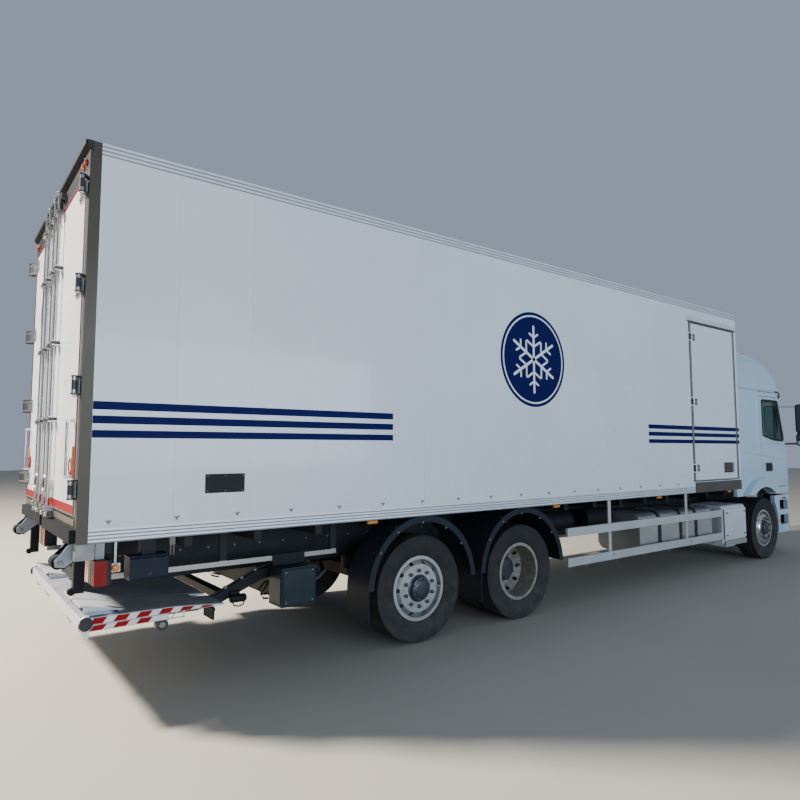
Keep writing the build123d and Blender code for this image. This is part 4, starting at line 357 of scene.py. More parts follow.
def fastener_tree():
    """Screws, nuts and rivets: a many-sided head on every point, facing the way the point says."""
    tree = bpy.data.node_groups.new("fasteners", "GeometryNodeTree")
    for label, kind in (("Geometry", "Geometry"), ("Radius", "Float"), ("Height", "Float"),
                        ("Sides", "Int"), ("Finish", "Material")):
        tree.interface.new_socket(label, in_out="INPUT", socket_type="NodeSocket" + kind)
    tree.interface.new_socket("Geometry", in_out="OUTPUT", socket_type="NodeSocketGeometry")
    given = tree.nodes.new("NodeGroupInput")
    result = tree.nodes.new("NodeGroupOutput")
    head = wire(tree, "GeometryNodeMeshCylinder",
                {"Vertices": given.outputs["Sides"], "Radius": given.outputs["Radius"],
                 "Depth": given.outputs["Height"]})
    crown = wire(tree, "GeometryNodeMeshCone",
                 {"Vertices": given.outputs["Sides"], "Radius Bottom": given.outputs["Radius"],
                  "Radius Top": reckon(tree, "MULTIPLY", given.outputs["Radius"], CROWN_TAPER),
                  "Depth": reckon(tree, "MULTIPLY", given.outputs["Height"], CROWN_HEIGHT)})
    lift = wire(tree, "ShaderNodeCombineXYZ", {"Z": reckon(tree, "MULTIPLY", given.outputs["Height"], 0.5)})
    raised = wire(tree, "GeometryNodeTransform",
                  {"Geometry": crown.outputs["Mesh"], "Translation": lift.outputs[0]})
    whole = tree.nodes.new("GeometryNodeJoinGeometry")
    tree.links.new(head.outputs["Mesh"], whole.inputs[0])
    tree.links.new(raised.outputs[0], whole.inputs[0])
    facing = wire(tree, "GeometryNodeInputNamedAttribute", {"Name": "facing"}, data_type="FLOAT_VECTOR")
    turn = wire(tree, "FunctionNodeAlignRotationToVector", {"Vector": facing.outputs[0]}, axis="Z")
    spread = wire(tree, "GeometryNodeInstanceOnPoints",
                  {"Points": given.outputs["Geometry"], "Instance": whole.outputs[0],
                   "Rotation": turn.outputs[0]})
    solid = wire(tree, "GeometryNodeRealizeInstances", {"Geometry": spread.outputs[0]})
    painted = wire(tree, "GeometryNodeSetMaterial", {"Geometry": solid.outputs[0],
                                                     "Material": given.outputs["Finish"]})
    tree.links.new(painted.outputs[0], result.inputs[0])
    return tree


def from_tree(name, tree, values, points=(), facing=()):
    """The plain mesh that a geometry tree makes from some points."""
    seed = bpy.data.meshes.new(name + " points")
    seed.from_pydata([tuple(point) for point in points], [], [])
    if facing:
        wanted = seed.attributes.new("facing", "FLOAT_VECTOR", "POINT")
        wanted.data.foreach_set("vector", [value for way in facing for value in way])
    holder = bpy.data.objects.new(name + " points", seed)
    bpy.context.scene.collection.objects.link(holder)
    modifier = holder.modifiers.new("tree", "NODES")
    modifier.node_group = tree
    sockets = {item.name: item.identifier for item in tree.interface.items_tree if item.in_out == "INPUT"}
    for label, value in values.items():
        modifier[sockets[label]] = value
    evaluated = holder.evaluated_get(bpy.context.evaluated_depsgraph_get())
    mesh = bpy.data.meshes.new_from_object(evaluated)
    holder.modifiers.remove(modifier)
    bpy.data.objects.remove(holder)
    return mesh


FASTENERS = fastener_tree()


def fasteners(name, spots, body, material, radius, height, sides=6):
    """Heads on spots, each a point and the way it faces."""
    mesh = from_tree(name, FASTENERS,
                     {"Radius": radius, "Height": height, "Sides": sides, "Finish": material},
                     [Vector(point) + Vector(way) * height / 2 for point, way in spots],
                     [way for point, way in spots])
    return finished(name, mesh, body)


chassis_paint = surface("chassis paint", (0.01, 0.011, 0.014), 0.55, dust=0.16, dust_top=1.3, depth=0.0003,
                        gloss=0.25)
cast_iron = surface("cast iron", (0.03, 0.029, 0.028), 0.68, metallic=0.3, dust=0.45, dust_top=1.0,
                    depth=0.0005, grain=120.0)
zinc = surface("zinc plate", (0.2, 0.2, 0.195), 0.48, metallic=0.8, dust=0.25, depth=0.0001)
dress(chassis_paint, "chassis_frame", "subframe", "suspension", "lift_rails")
dress(cast_iron, "front_axle", "knuckle_left", "knuckle_right", "rear_axles", "powertrain")
RAIL_WEB_Y = 0.425
BOLT_START_X = -5.4
BOLT_PITCH = 0.245
BOLT_COUNT = 44
BOLT_ROWS = (0.8, 0.97)
rail_bolts = []
for side in (1, -1):
    for index in range(BOLT_COUNT):
        for z in BOLT_ROWS:
            rail_bolts.append(((BOLT_START_X + index * BOLT_PITCH, side * RAIL_WEB_Y, z), (0, side, 0)))
fasteners("rail_bolts", rail_bolts, "chassis", zinc, 0.011, 0.01)
AXLE_X = {"front": 4.627, "drive": -1.473, "tag": -2.873}
DAMPER_Y = 0.36
LINE_Y = 0.315
LINE_ROUTE = ((-5.3, 0.0), (-3.6, 0.01), (-0.6, 0.0), (1.6, -0.01), (3.7, 0.0))
for word, side in SIDES:
    dampers = []
    y = side * DAMPER_Y
    for x in AXLE_X.values():
        dampers.append(rod((x - 0.16, y, 0.46), (x - 0.26, y, 0.7), 0.03, 20))
        dampers.append(rod((x - 0.26, y, 0.7), (x - 0.31, y, 0.82), 0.038, 20))
    built(f"dampers_{word}", dampers, "chassis", chassis_paint, 0.003)
    chambers = []
    for name in ("drive", "tag"):
        x = AXLE_X[name] + 0.17
        chambers.append(lathe([(0.0, 0.0), (0.05, 0.0), (0.082, 0.02), (0.086, 0.07), (0.082, 0.12),
                               (0.07, 0.17), (0.0, 0.18)], (x, side * 0.3, 0.63), 28, "X"))
    built(f"brake_chambers_{word}", chambers, "chassis", cast_iron)
    lines = []
    for height in (0.86, 0.885, 0.91):
        lines.append(pipe([(x, side * LINE_Y, height + sway) for x, sway in LINE_ROUTE], 0.009))
    built(f"air_lines_{word}", lines, "chassis", chassis_paint)

# Tyres: black rubber with a ribbed or blocked tread, flexing sidewalls and a rim protector ring.
# Each is turned in four uneven steps to a tread pitch, so that the cross grooves have steep walls.
rubber = surface("tyre rubber", (0.013, 0.013, 0.015), 0.74, dust=0.42, dust_top=1.15, mottle=0.2,
                 mottle_size=0.12, grain=90.0, depth=0.0004, spread=0.05, gloss=0.3)
AXLE_Z = 0.507
TYRE_PROFILE = (
    (0.2905, 0.114), (0.3085, 0.1155), (0.318, 0.129), (0.324, 0.13), (0.342, 0.142), (0.37, 0.1535),
    (0.4, 0.1558), (0.43, 0.154), (0.456, 0.149), (0.462, 0.15), (0.476, 0.1475), (0.492, 0.143),
    (0.501, 0.135))
CROWN = 0.5068
GROOVE = 0.012
CROWN_CURVE = 0.45
BLOCK_CUT = 0.011
SHOULDER_CUT = 0.005
SHOULDER_OUT = 0.09
PITCH_STEPS = ((0.0, False), (0.8, False), (0.83, True), (0.97, True))
WHEEL_HALF = {"front": 1.064, "drive": 0.919, "tag": 1.079}
TWIN_OFFSET = 0.17


def tread_columns():
    """Half the tread from the shoulder to the middle: radius, distance out, and whether a rib."""
    columns = []
    ribs = [True, True, False, False, True, True, False, False, True, True]
    spots = [0.13, 0.0925, 0.0915, 0.0845, 0.0835, 0.0505, 0.0495, 0.0425, 0.0415, 0.0]
    for out, rib in zip(spots, ribs):
        radius = CROWN - CROWN_CURVE * out * out - (0 if rib else GROOVE)
        columns.append((radius, out, rib))
    return columns


def tyre_rings(x, y, pitches, blocked):
    """Rings of the tyre's section round the axle. A cross groove is cut on the ribs that are blocked."""
    half = [(radius, out, False) for radius, out in TYRE_PROFILE] + tread_columns()
    section = half + [(radius, -out, rib) for radius, out, rib in reversed(half[:-1])]
    rings = []
    for pitch in range(pitches):
        for share, deep in PITCH_STEPS:
            a = 2 * math.pi * (pitch + share) / pitches
            ring = []
            for radius, out, rib in section:
                cut = 0.0
                if deep and rib and (blocked or abs(out) > SHOULDER_OUT):
                    cut = BLOCK_CUT if blocked else SHOULDER_CUT
                size = radius - cut
                ring.append((x + size * math.cos(a), y + out, AXLE_Z + size * math.sin(a)))
            rings.append(ring)
    return rings


for axle, pitches, blocked in (("front", 72, False), ("drive", 56, True), ("tag", 72, False)):
    for word, side in SIDES:
        middle = side * WHEEL_HALF[axle]
        offsets = (TWIN_OFFSET, -TWIN_OFFSET) if axle == "drive" else (0.0,)
        tread = built(f"{axle}_tread_{word}",
                      [looped(tyre_rings(AXLE_X[axle], middle + shift, pitches, blocked))
                       for shift in offsets], f"{axle}_wheel_{word}", rubber, smooth_angle=28.0)
        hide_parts(f"{axle}_tyre_{word}")

# Wheels: pressed steel in silver paint with ten nuts, a domed hub cap, and a bright nut ring in front.
# The twin wheels are dished, dusty with brake wear, and carry a hub flange with its own bolts.
rim_silver = surface("wheel silver", (0.5, 0.5, 0.49), 0.36, metallic=0.7, dust=0.42, dust_top=1.25,
                     mottle=0.14, mottle_size=0.08, depth=0.0002)
rim_worn = surface("worn wheel silver", (0.33, 0.3, 0.26), 0.5, metallic=0.55, dust=0.45, dust_top=1.8,
                   mottle=0.3, mottle_size=0.06, depth=0.0004)
nut_steel = surface("nut steel", (0.16, 0.15, 0.14), 0.42, metallic=0.85, dust=0.3, depth=0.0002)
hub_black = surface("hub black", (0.016, 0.02, 0.034), 0.34, dust=0.22, mottle=0.15, depth=0.0003, coat=0.2)
bright_ring = surface("bright nut ring", (0.74, 0.74, 0.75), 0.18, metallic=1.0, dust=0.1, depth=0.00005)
NUT_CIRCLE, CAP_CIRCLE = 0.1675, 0.0975
NUT_FACE = {"front": 0.14, "drive": 0.014, "tag": 0.118}
CAP_FACE = {"front": 0.158, "drive": 0.111, "tag": 0.158}
STEM_OUT = {"front": 0.12, "drive": 0.05, "tag": 0.12}
HUB_CAP = ((0.0, 0.15), (0.0, 0.1745), (0.06, 0.1735), (0.078, 0.17), (0.09, 0.16), (0.105, 0.158),
           (0.1135, 0.13), (0.128, 0.1215), (0.128, 0.117))
TWIN_CAP = ((0.0, 0.1), (0.0, 0.115), (0.06, 0.114), (0.075, 0.112), (0.103, 0.111), (0.114, 0.07),
            (0.139, 0.062), (0.139, 0.055))
NUT_RING = ((0.132, 0.1175), (0.1325, 0.126), (0.144, 0.14), (0.19, 0.14), (0.208, 0.125), (0.2085, 0.1175))
dress(rim_silver, "front_rim_left", "front_rim_right", "tag_rim_left", "tag_rim_right")
dress(rim_worn, "drive_rim_left", "drive_rim_right")


def circle_spots(x, y, radius, count, side, phase=0.5):
    """Spots round a wheel's axle that face outward."""
    angles = [2 * math.pi * (index + phase) / count for index in range(count)]
    return [((x + radius * math.cos(a), y, AXLE_Z + radius * math.sin(a)), (0, side, 0)) for a in angles]


for axle in ("front", "drive", "tag"):
    for word, side in SIDES:
        x, body = AXLE_X[axle], f"{axle}_wheel_{word}"
        middle = side * WHEEL_HALF[axle]
        profile = TWIN_CAP if axle == "drive" else HUB_CAP
        cap = [lathe([(radius, side * out) for radius, out in profile], (x, middle, AXLE_Z), 48)]
        built(f"{axle}_hub_cap_{word}", cap, body, hub_black)
        if axle == "front":
            ring = [lathe([(radius, side * out) for radius, out in NUT_RING], (x, middle, AXLE_Z), 60)]
            built(f"{axle}_nut_ring_{word}", ring, body, bright_ring)
        nuts = circle_spots(x, middle + side * NUT_FACE[axle], NUT_CIRCLE, 10, side)
        fasteners(f"{axle}_nuts_{word}", nuts, body, nut_steel, 0.0185, 0.022)
        studs = [((point[0], point[1] + side * 0.018, point[2]), way) for point, way in nuts]
        studs += circle_spots(x, middle + side * CAP_FACE[axle], CAP_CIRCLE, 8, side)
        fasteners(f"{axle}_studs_{word}", studs, body, nut_steel, 0.01, 0.012, 10)
        stem_y = middle + side * STEM_OUT[axle]
        stem = [rod((x + 0.232, stem_y, AXLE_Z), (x + 0.225, stem_y + side * 0.045, AXLE_Z), 0.006, 10)]
        built(f"{axle}_valve_{word}", stem, body, bright_ring)

# Fuel tank: a brushed aluminium tank held by three dark bolted straps, with a round filler cap on its
# outer shoulder.
TANK_LOW, TANK_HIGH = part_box("fuel_tank")
STRAP_X = (1.437, 1.982, 2.428)
STRAP_WIDTH = 0.08
STRAP_BLACK = (0.02, 0.021, 0.023)
straps = [(((x, x + STRAP_WIDTH), (-2, 2), (0, 2)), STRAP_BLACK, 0.5, 0.3) for x in STRAP_X]
tank_metal = surface("tank aluminium", (0.6, 0.61, 0.62), 0.34, metallic=0.85, dust=0.22, dust_top=1.0,
                     mottle=0.12, mottle_size=0.5, grain=40.0, depth=0.00008, stretch=(0.3, 8, 8),
                     zones=straps)
strap_black = surface("strap black", STRAP_BLACK, 0.5, dust=0.25)
dress(tank_metal, "fuel_tank")
TANK_Y = -0.79
cap_x = TANK_HIGH[0] - 0.28
cap_y, cap_z = TANK_Y - 0.16, TANK_HIGH[2]
filler = [rod((cap_x, cap_y, cap_z - 0.04), (cap_x, cap_y, cap_z + 0.01), 0.058, 32),
          rod((cap_x, cap_y, cap_z + 0.009), (cap_x, cap_y, cap_z + 0.022), 0.05, 12, 0.044)]
built("tank_filler", filler, "chassis", strap_black, 0.003)
strap_bolts = [((x + STRAP_WIDTH / 2, TANK_LOW[1] + 0.001, z), (0, -1, 0)) for x in STRAP_X
               for z in (0.62, 0.8)]
fasteners("strap_bolts", strap_bolts, "chassis", zinc, 0.012, 0.014)

# Air tanks and boxes on the rails: the air tanks and the exhaust box in chassis black, the battery box
# in white pressed steel with a step and four cover bolts.
unit_white = surface("unit white", (0.6, 0.62, 0.63), 0.42, dust=0.28, dust_top=1.1, coat=0.2)
step_grey = surface("step grey", (0.36, 0.34, 0.3), 0.6, dust=0.3, dust_top=1.2)
dress(chassis_paint, "air_tanks", "exhaust_box")
dress(unit_white, "battery_box", "refrigeration_unit")
BATTERY_LOW, BATTERY_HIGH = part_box("battery_box")
front_y = BATTERY_LOW[1]
cover = [block((BATTERY_LOW[0] + 0.03, BATTERY_HIGH[0] - 0.03), (front_y - 0.012, front_y + 0.002),
               (BATTERY_LOW[2] + 0.11, BATTERY_HIGH[2] - 0.05))]
built("battery_cover", cover, "chassis", unit_white, 0.006)
cover_bolts = [((x, front_y - 0.012, z), (0, -1, 0))
               for x in (BATTERY_LOW[0] + 0.09, BATTERY_HIGH[0] - 0.09)
               for z in (BATTERY_LOW[2] + 0.17, BATTERY_HIGH[2] - 0.11)]
fasteners("battery_bolts", cover_bolts, "chassis", strap_black, 0.013, 0.012)
treads = [block((BATTERY_LOW[0] + 0.04, BATTERY_HIGH[0] - 0.04), (front_y - 0.018, front_y + 0.04),
                (BATTERY_LOW[2] + 0.015, BATTERY_LOW[2] + 0.085))]
for index in range(14):
    x = BATTERY_LOW[0] + 0.075 + index * 0.047
    treads.append(block((x, x + 0.014), (front_y - 0.024, front_y - 0.017),
                        (BATTERY_LOW[2] + 0.025, BATTERY_LOW[2] + 0.075)))
built("battery_step", treads, "chassis", step_grey, 0.002)
SHIELD_LOW, SHIELD_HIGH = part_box("exhaust_box")
punched = [((SHIELD_LOW[0] + 0.1 + row * 0.055, SHIELD_HIGH[1], SHIELD_LOW[2] + 0.12 + line * 0.05),
            (0, 1, 0)) for row in range(16) for line in range(7)]
fasteners("shield_holes", punched, "chassis", zinc, 0.014, 0.003, 8)

# Underslung cooling unit on the left: a white cabinet whose service doors have fine seams and two rows
# of black latches.
UNIT_LOW, UNIT_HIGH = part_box("refrigeration_unit")
out_y = UNIT_HIGH[1]
latches = []
for x in (UNIT_LOW[0] + 0.14, (UNIT_LOW[0] + UNIT_HIGH[0]) / 2, UNIT_HIGH[0] - 0.14):
    for z in (UNIT_LOW[2] + 0.14, UNIT_HIGH[2] - 0.1):
        latches.append(block(about(x, 0.022), (out_y - 0.002, out_y + 0.008), about(z, 0.035)))
        latches.append(rod((x, out_y + 0.006, z - 0.015), (x, out_y + 0.016, z - 0.015), 0.01, 12))
built("unit_latches", latches, "chassis", strap_black, 0.003)
seams = []
for x in (UNIT_LOW[0] + 0.05, (UNIT_LOW[0] + UNIT_HIGH[0]) / 2 - 0.05,
          (UNIT_LOW[0] + UNIT_HIGH[0]) / 2 + 0.05, UNIT_HIGH[0] - 0.05):
    seams.append(block(about(x, 0.004), (out_y - 0.001, out_y + 0.002),
                       (UNIT_LOW[2] + 0.05, UNIT_HIGH[2] - 0.05)))
built("unit_seams", seams, "chassis", strap_black)

# Side guards: matt aluminium planks bolted to posts, with small rope hooks under them. Mudguards are
# dark moulded half rings with five bolts round each.
post_zones = [(((x, x + 0.058), (-1.2, 1.2), (0.4, 1.21)), (0.26, 0.235, 0.205), 0.5, 0.5)
              for x in (0.223, 2.093)]
guard_metal = surface("guard aluminium", (0.56, 0.565, 0.55), 0.46, metallic=0.45, dust=0.26, dust_top=1.2,
                      mottle=0.08, grain=60.0, stretch=(0.2, 6, 6), depth=0.00005, zones=post_zones)
moulded = surface("mudguard plastic", (0.011, 0.017, 0.026), 0.46, dust=0.12, dust_top=1.6, depth=0.0003,
                  gloss=0.2)
dress(guard_metal, "side_guards")
dress(moulded, "mudguards")
GUARD_LOW, GUARD_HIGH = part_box("side_guards")
HOOK_START, HOOK_PITCH = 0.35, 0.62
HOOK_SHAPE = ((-0.03, 0.01), (-0.025, -0.02), (0, -0.034), (0.025, -0.02), (0.03, 0.01))
hooks = []
for side in (1, -1):
    for index in range(6):
        x = GUARD_LOW[0] + HOOK_START + index * HOOK_PITCH
        y = side * (GUARD_HIGH[1] - 0.012)
        hooks.append(pipe([(x + along, y, GUARD_LOW[2] + up) for along, up in HOOK_SHAPE], 0.005, 8))
built("rope_hooks", hooks, "chassis", zinc)
guard_bolts = []
for x in (0.252, 2.122):
    for z in (0.52, 0.78):
        for side in (1, -1):
            guard_bolts.append(((x, side * GUARD_HIGH[1], z), (0, side, 0)))
fasteners("guard_bolts", guard_bolts, "chassis", zinc, 0.011, 0.008)
GUARD_MID, GUARD_OUT = 0.63, 1.262
STAY_ANGLES = (38, 62, 90, 118, 142)
stay_bolts = []
for name in ("drive", "tag"):
    for side in (1, -1):
        for angle in STAY_ANGLES:
            a = math.radians(angle)
            x, z = AXLE_X[name] + GUARD_MID * math.cos(a), AXLE_Z + GUARD_MID * math.sin(a)
            stay_bolts.append(((x, side * GUARD_OUT, z), (0, side, 0)))
fasteners("mudguard_bolts", stay_bolts, "chassis", zinc, 0.01, 0.006, 12)

# Insulated box: glass-fibre laminate over foam, in sheets about 0.6 m wide whose joints just show,
# between ribbed aluminium rails. Navy film stripes, rows of clips and rivets, and a cover plate.
PANEL_START = -4.066
PANEL_PITCH = 0.5927
JOINT_SHADE = (0.3, 0.33, 0.38, 1.0)


def panel_joint_group():
    """A mask of thin upright lines, one at each joint between the sheets of a long wall."""
    tree, given, result = group_with(
        "panel joints", [("Start", "Float", PANEL_START), ("Pitch", "Float", PANEL_PITCH),
                         ("Width", "Float", 0.004)],
        [("Mask", "Float", None)])
    place = wire(tree, "ShaderNodeTexCoord").outputs["Object"]
    along = wire(tree, "ShaderNodeSeparateXYZ", {0: place}).outputs["X"]
    away = reckon(tree, "SUBTRACT", along, given.outputs["Start"])
    half = reckon(tree, "MULTIPLY", given.outputs["Pitch"], 0.5)
    bounce = reckon(tree, "PINGPONG", away, half)
    line = wire(tree, "ShaderNodeMapRange", {0: bounce, 1: 0.0, 2: given.outputs["Width"], 3: 1.0, 4: 0.0},
                interpolation_type="SMOOTHSTEP")
    tree.links.new(line.outputs[0], result.inputs["Mask"])
    return tree


def jointed(material, depth, shade):
    """Adds the panel joints to a finish, as a shallow groove that is a little darker."""
    tree = material.node_tree
    shader = tree.nodes["Principled BSDF"]
    mask = wire(tree, "ShaderNodeGroup", {}, node_tree=PANEL_JOINTS).outputs["Mask"]
    colour = shader.inputs["Base Color"].links[0].from_socket
    weak = reckon(tree, "MULTIPLY", mask, shade)
    darker = wire(tree, "ShaderNodeMix", {0: weak, 6: colour, 7: JOINT_SHADE}, data_type="RGBA")
    tree.links.new(darker.outputs[2], shader.inputs["Base Color"])
    groove = wire(tree, "ShaderNodeBump", {"Strength": 1.0, "Distance": depth, "Height": mask,
                                           "Normal": shader.inputs["Normal"].links[0].from_socket},
                  invert=True)
    tree.links.new(groove.outputs[0], shader.inputs["Normal"])
    return material


PANEL_JOINTS = panel_joint_group()
LAMINATE = (0.73, 0.765, 0.8)
LAMINATE_SKIN = {"mottle_size": 1.1, "grain": 1.6, "spread": 0.05, "gloss": 0.25}
GROOVE_DEPTH, GROOVE_SHADE = 0.0006, 0.22
wall_laminate = jointed(surface("wall laminate", LAMINATE, 0.24, dust=0.16, dust_top=2.6, mottle=0.035,
                                depth=0.0014, coat=0.3, **LAMINATE_SKIN), GROOVE_DEPTH, GROOVE_SHADE)
laminate = surface("box laminate", LAMINATE, 0.26, dust=0.12, dust_top=2.8, mottle=0.03, depth=0.0012,
                   coat=0.25, **LAMINATE_SKIN)
floor_resin = surface("floor resin", (0.16, 0.17, 0.18), 0.72, mottle=0.12, mottle_size=0.3, grain=420.0,
                      depth=0.0012)
# The rails' rib grooves are painted shade: a darker band at each groove height stands for the shadow
# between the ribs.
groove_shade_bands = []
for low, high, ribs in ((1.202, 1.299, 4), (3.912, 4.0, 3)):
    pitch = (high - low) / ribs
    for index in range(ribs):
        base = low + index * pitch
        groove_shade_bands.append((((-6, 4), (-2, 2), (base, base + 0.38 * pitch)), (0.3, 0.32, 0.36), 0.5, 0.1))
rail_metal = surface("rail aluminium", (0.74, 0.76, 0.79), 0.34, metallic=0.25, dust=0.12, dust_top=2.0,
                     mottle=0.05, grain=30.0, stretch=(0.1, 8, 8), depth=0.00004, zones=groove_shade_bands)
dress(wall_laminate, "box_left_wall", "box_right_wall")
dress(laminate, "box_front_wall", "box_roof")
dress(floor_resin, "box_floor")
dress(rail_metal, "box_rails")
WALL_Y = 1.3
FILM = 0.0006
stripe_navy = surface("stripe navy", (0.0025, 0.0055, 0.072), 0.5, dust=0.02, mottle=0.05, depth=0.00005,
                      gloss=0.08)
STRIPE_Z = ((2.113, 2.17), (2.016, 2.071), (1.918, 1.971))
REAR_RUN, FRONT_RUN = (-5.811, -3.256), (1.027, 3.627)
STRIPE_RUNS = {-1: (REAR_RUN, (FRONT_RUN[0], 2.19), (3.538, FRONT_RUN[1])), 1: (REAR_RUN, FRONT_RUN)}
films = []
for side in (1, -1):
    for run in STRIPE_RUNS[side]:
        for span in STRIPE_Z:
            films.append(block(run, pair(side, WALL_Y - 0.001, WALL_Y + FILM), span))
built("wall_stripes", films, "chassis", stripe_navy)

# A round navy badge on each long wall, cut from film: a thin white ring and a plain snow crystal of six
# arms, each with two pairs of side needles. A small one is on the left rear door.
film_white = surface("film white", (0.8, 0.82, 0.84), 0.3, dust=0.06, coat=0.3, depth=0.00005)


def needle(centre, angle, start, end, half, out, turn):
    """A straight bar of a crystal, at an angle round the centre, standing out from its wall."""
    way = Vector((math.cos(angle), math.sin(angle)))
    across = Vector((-way.y, way.x)) * half
    corners = [way * start - across, way * end - across, way * (end + half), way * end + across,
               way * start + across]
    rings = []
    for level in (0.0, out):
        rings.append([Vector(centre) + turn(corner.x, corner.y, level) for corner in corners])
    return swept(rings)


def crystal_shapes(centre, size, out, turn):
    """A snow crystal: six arms and their side needles."""
    shapes = []
    for arm in range(6):
        a = math.radians(60 * arm + 30)
        shapes.append(needle(centre, a, 0.0, size, size * 0.042, out, turn))
        for reach, length in ((0.38, 0.34), (0.66, 0.22)):
            root = Vector((math.cos(a), math.sin(a))) * size * reach
            for lean in (60, -60):
                place = Vector(centre) + turn(root.x, root.y, 0.0)
                shapes.append(needle(place, a + math.radians(lean), 0.0, size * length, size * 0.032,
                                     out * 0.9, turn))
    return shapes


def badge(name, centre, radius, body, turn, axis, way):
    """The disc, its ring and its crystal, as films on one another."""
    navy = [lathe([(0.0, -0.001 * way), (0.0, FILM * way), (radius, FILM * way), (radius, -0.001 * way)],
                  centre, 96, axis)]
    built(name + "_disc", navy, body, stripe_navy)
    white = [lathe([(radius * 0.9, 0.0), (radius * 0.9, 2 * FILM * way), (radius * 0.935, 2 * FILM * way),
                    (radius * 0.935, 0.0)], centre, 96, axis)]
    white += crystal_shapes(centre, radius * 0.7, 2.4 * FILM, turn)
    built(name + "_crystal", white, body, film_white)


def on_side(side):
    """Places a drawing on a long wall, with its third size outward."""
    return lambda across, up, out: Vector((across, side * out, up))


BADGE_X, BADGE_Z, BADGE_RADIUS = -1.27, 2.85, 0.54
badge("badge_right", (BADGE_X, -WALL_Y, BADGE_Z), BADGE_RADIUS, "chassis", on_side(-1), "Y", -1)
badge("badge_left", (BADGE_X, WALL_Y, BADGE_Z), BADGE_RADIUS, "chassis", on_side(1), "Y", 1)

# Small fittings of the long walls: black clips on the flat strip over the lower rail, rivets along the
# upper rail, a plain black cover plate with six fixings, and amber side markers under the floor.
BLACK = (0.016, 0.017, 0.019)
vent_black = surface("cover black", BLACK, 0.45, dust=0.1, dust_top=2.2, gloss=0.12)
clip_grey = surface("clip grey", (0.16, 0.17, 0.21), 0.5, dust=0.1, dust_top=2.2)
CLIP_START, CLIP_PITCH, CLIP_Z = -5.687, 0.463, 1.346
clips = []
for side in (1, -1):
    for index in range(17 if side < 0 else 20):
        x = CLIP_START + index * CLIP_PITCH
        y = pair(side, WALL_Y - 0.001, WALL_Y + 0.007)
        clips.append(block(about(x, 0.02), y, (CLIP_Z - 0.003, CLIP_Z + 0.005)))
        clips.append(block(about(x, 0.006), y, (CLIP_Z - 0.02, CLIP_Z - 0.003)))
built("strip_clips", clips, "chassis", clip_grey, 0.0015)
RIVET_START, RIVET_PITCH = -5.75, 0.2
rivets = []
for side in (1, -1):
    for index in range(47):
        for z in (3.975, 3.925):
            rivets.append(((RIVET_START + index * RIVET_PITCH, side * WALL_Y, z), (0, side, 0)))
fasteners("rail_rivets", rivets, "chassis", rail_metal, 0.006, 0.0025, 8)
PANEL_X = (-5.019, -4.707)
PANEL_Z = (1.508, 1.651)
cover = [block(PANEL_X, (-WALL_Y - 0.006, -WALL_Y + 0.001), PANEL_Z)]
built("wall_cover", cover, "chassis", vent_black, 0.0015)
fixings = [((x, -WALL_Y - 0.006, z), (0, -1, 0))
           for x in (PANEL_X[0] + 0.018, sum(PANEL_X) / 2, PANEL_X[1] - 0.018)
           for z in inset(PANEL_Z, 0.014)]
fasteners("cover_rivets", fixings, "chassis", clip_grey, 0.005, 0.003, 10)
amber_lens = surface("amber lens", (0.75, 0.22, 0.02), 0.22, coat=0.5, dust=0.1, depth=0.0004, grain=500.0)
MARKER_X = (-3.448, -0.859, 1.32, 3.33)
markers, lenses = [], []
for side in (1, -1):
    for x in MARKER_X:
        y = side * 1.215
        markers.append(block(about(x, 0.062), (y, y + side * 0.022), (1.155, 1.203)))
        lenses.append(prism([(y + side * 0.02, 1.16), (y + side * 0.042, 1.166), (y + side * 0.042, 1.19),
                             (y + side * 0.02, 1.196)], "X", x - 0.052, x + 0.052))
built("marker_bases", markers, "chassis", vent_black, 0.003)
built("marker_lenses", lenses, "chassis", amber_lens, 0.004)

# Inside the box: an evaporator with ring guards over its two fans, cargo rails along the walls, and
# an aluminium kick strip above the floor.
unit_inside = surface("evaporator white", (0.66, 0.68, 0.7), 0.4, mottle=0.05, depth=0.0003)
dress(unit_inside, "evaporator")
EVAP_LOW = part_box("evaporator")[0]
rails = []
LINING_Y = 1.2395
for side in (1, -1):
    run = (-5.78, 2.15 if side < 0 else 3.52)
    for z in (1.75, 2.55):
        rails.append(block(run, pair(side, LINING_Y, 1.228), (z - 0.045, z - 0.02)))
        rails.append(block(run, pair(side, LINING_Y, 1.228), (z + 0.02, z + 0.045)))
        rails.append(block(run, pair(side, LINING_Y, 1.236), about(z, 0.02)))
    rails.append(block(run, pair(side, LINING_Y, 1.232), (1.328, 1.5)))
built("cargo_rails", rails, "chassis", rail_metal, 0.002)
GUARD_WIRE = 0.003
guards = []
for y in (-0.4, 0.4):
    for index in range(5):
        inner, outer = about(0.035 + index * 0.026, GUARD_WIRE)
        guards.append(lathe([(inner, -GUARD_WIRE), (outer, -GUARD_WIRE), (outer, GUARD_WIRE),
                             (inner, GUARD_WIRE)], (0, y, 0), 40, "Z"))
    for angle in range(0, 180, 45):
        a = math.radians(angle)
        reach = Vector((0.14 * math.cos(a), 0.14 * math.sin(a), 0))
        guards.append(rod(Vector((0, y, 0)) - reach, Vector((0, y, 0)) + reach, GUARD_WIRE, 8))
FAN_PLACE = (EVAP_LOW[0] + 0.162, 0, 3.735)
FAN_TILT = math.radians(27.3)
fan_turn = Matrix.Translation(FAN_PLACE) @ Matrix.Rotation(FAN_TILT, 4, "Y")


def tilted(shapes, matrix):
    """The same shapes, turned and moved by a matrix."""
    def add(form):
        before = set(form.verts)
        for shape in shapes:
            shape(form)
        bmesh.ops.transform(form, matrix=matrix, verts=[v for v in form.verts if v not in before])
    return add


built("fan_guards", [tilted(guards, fan_turn)], "chassis", vent_black)

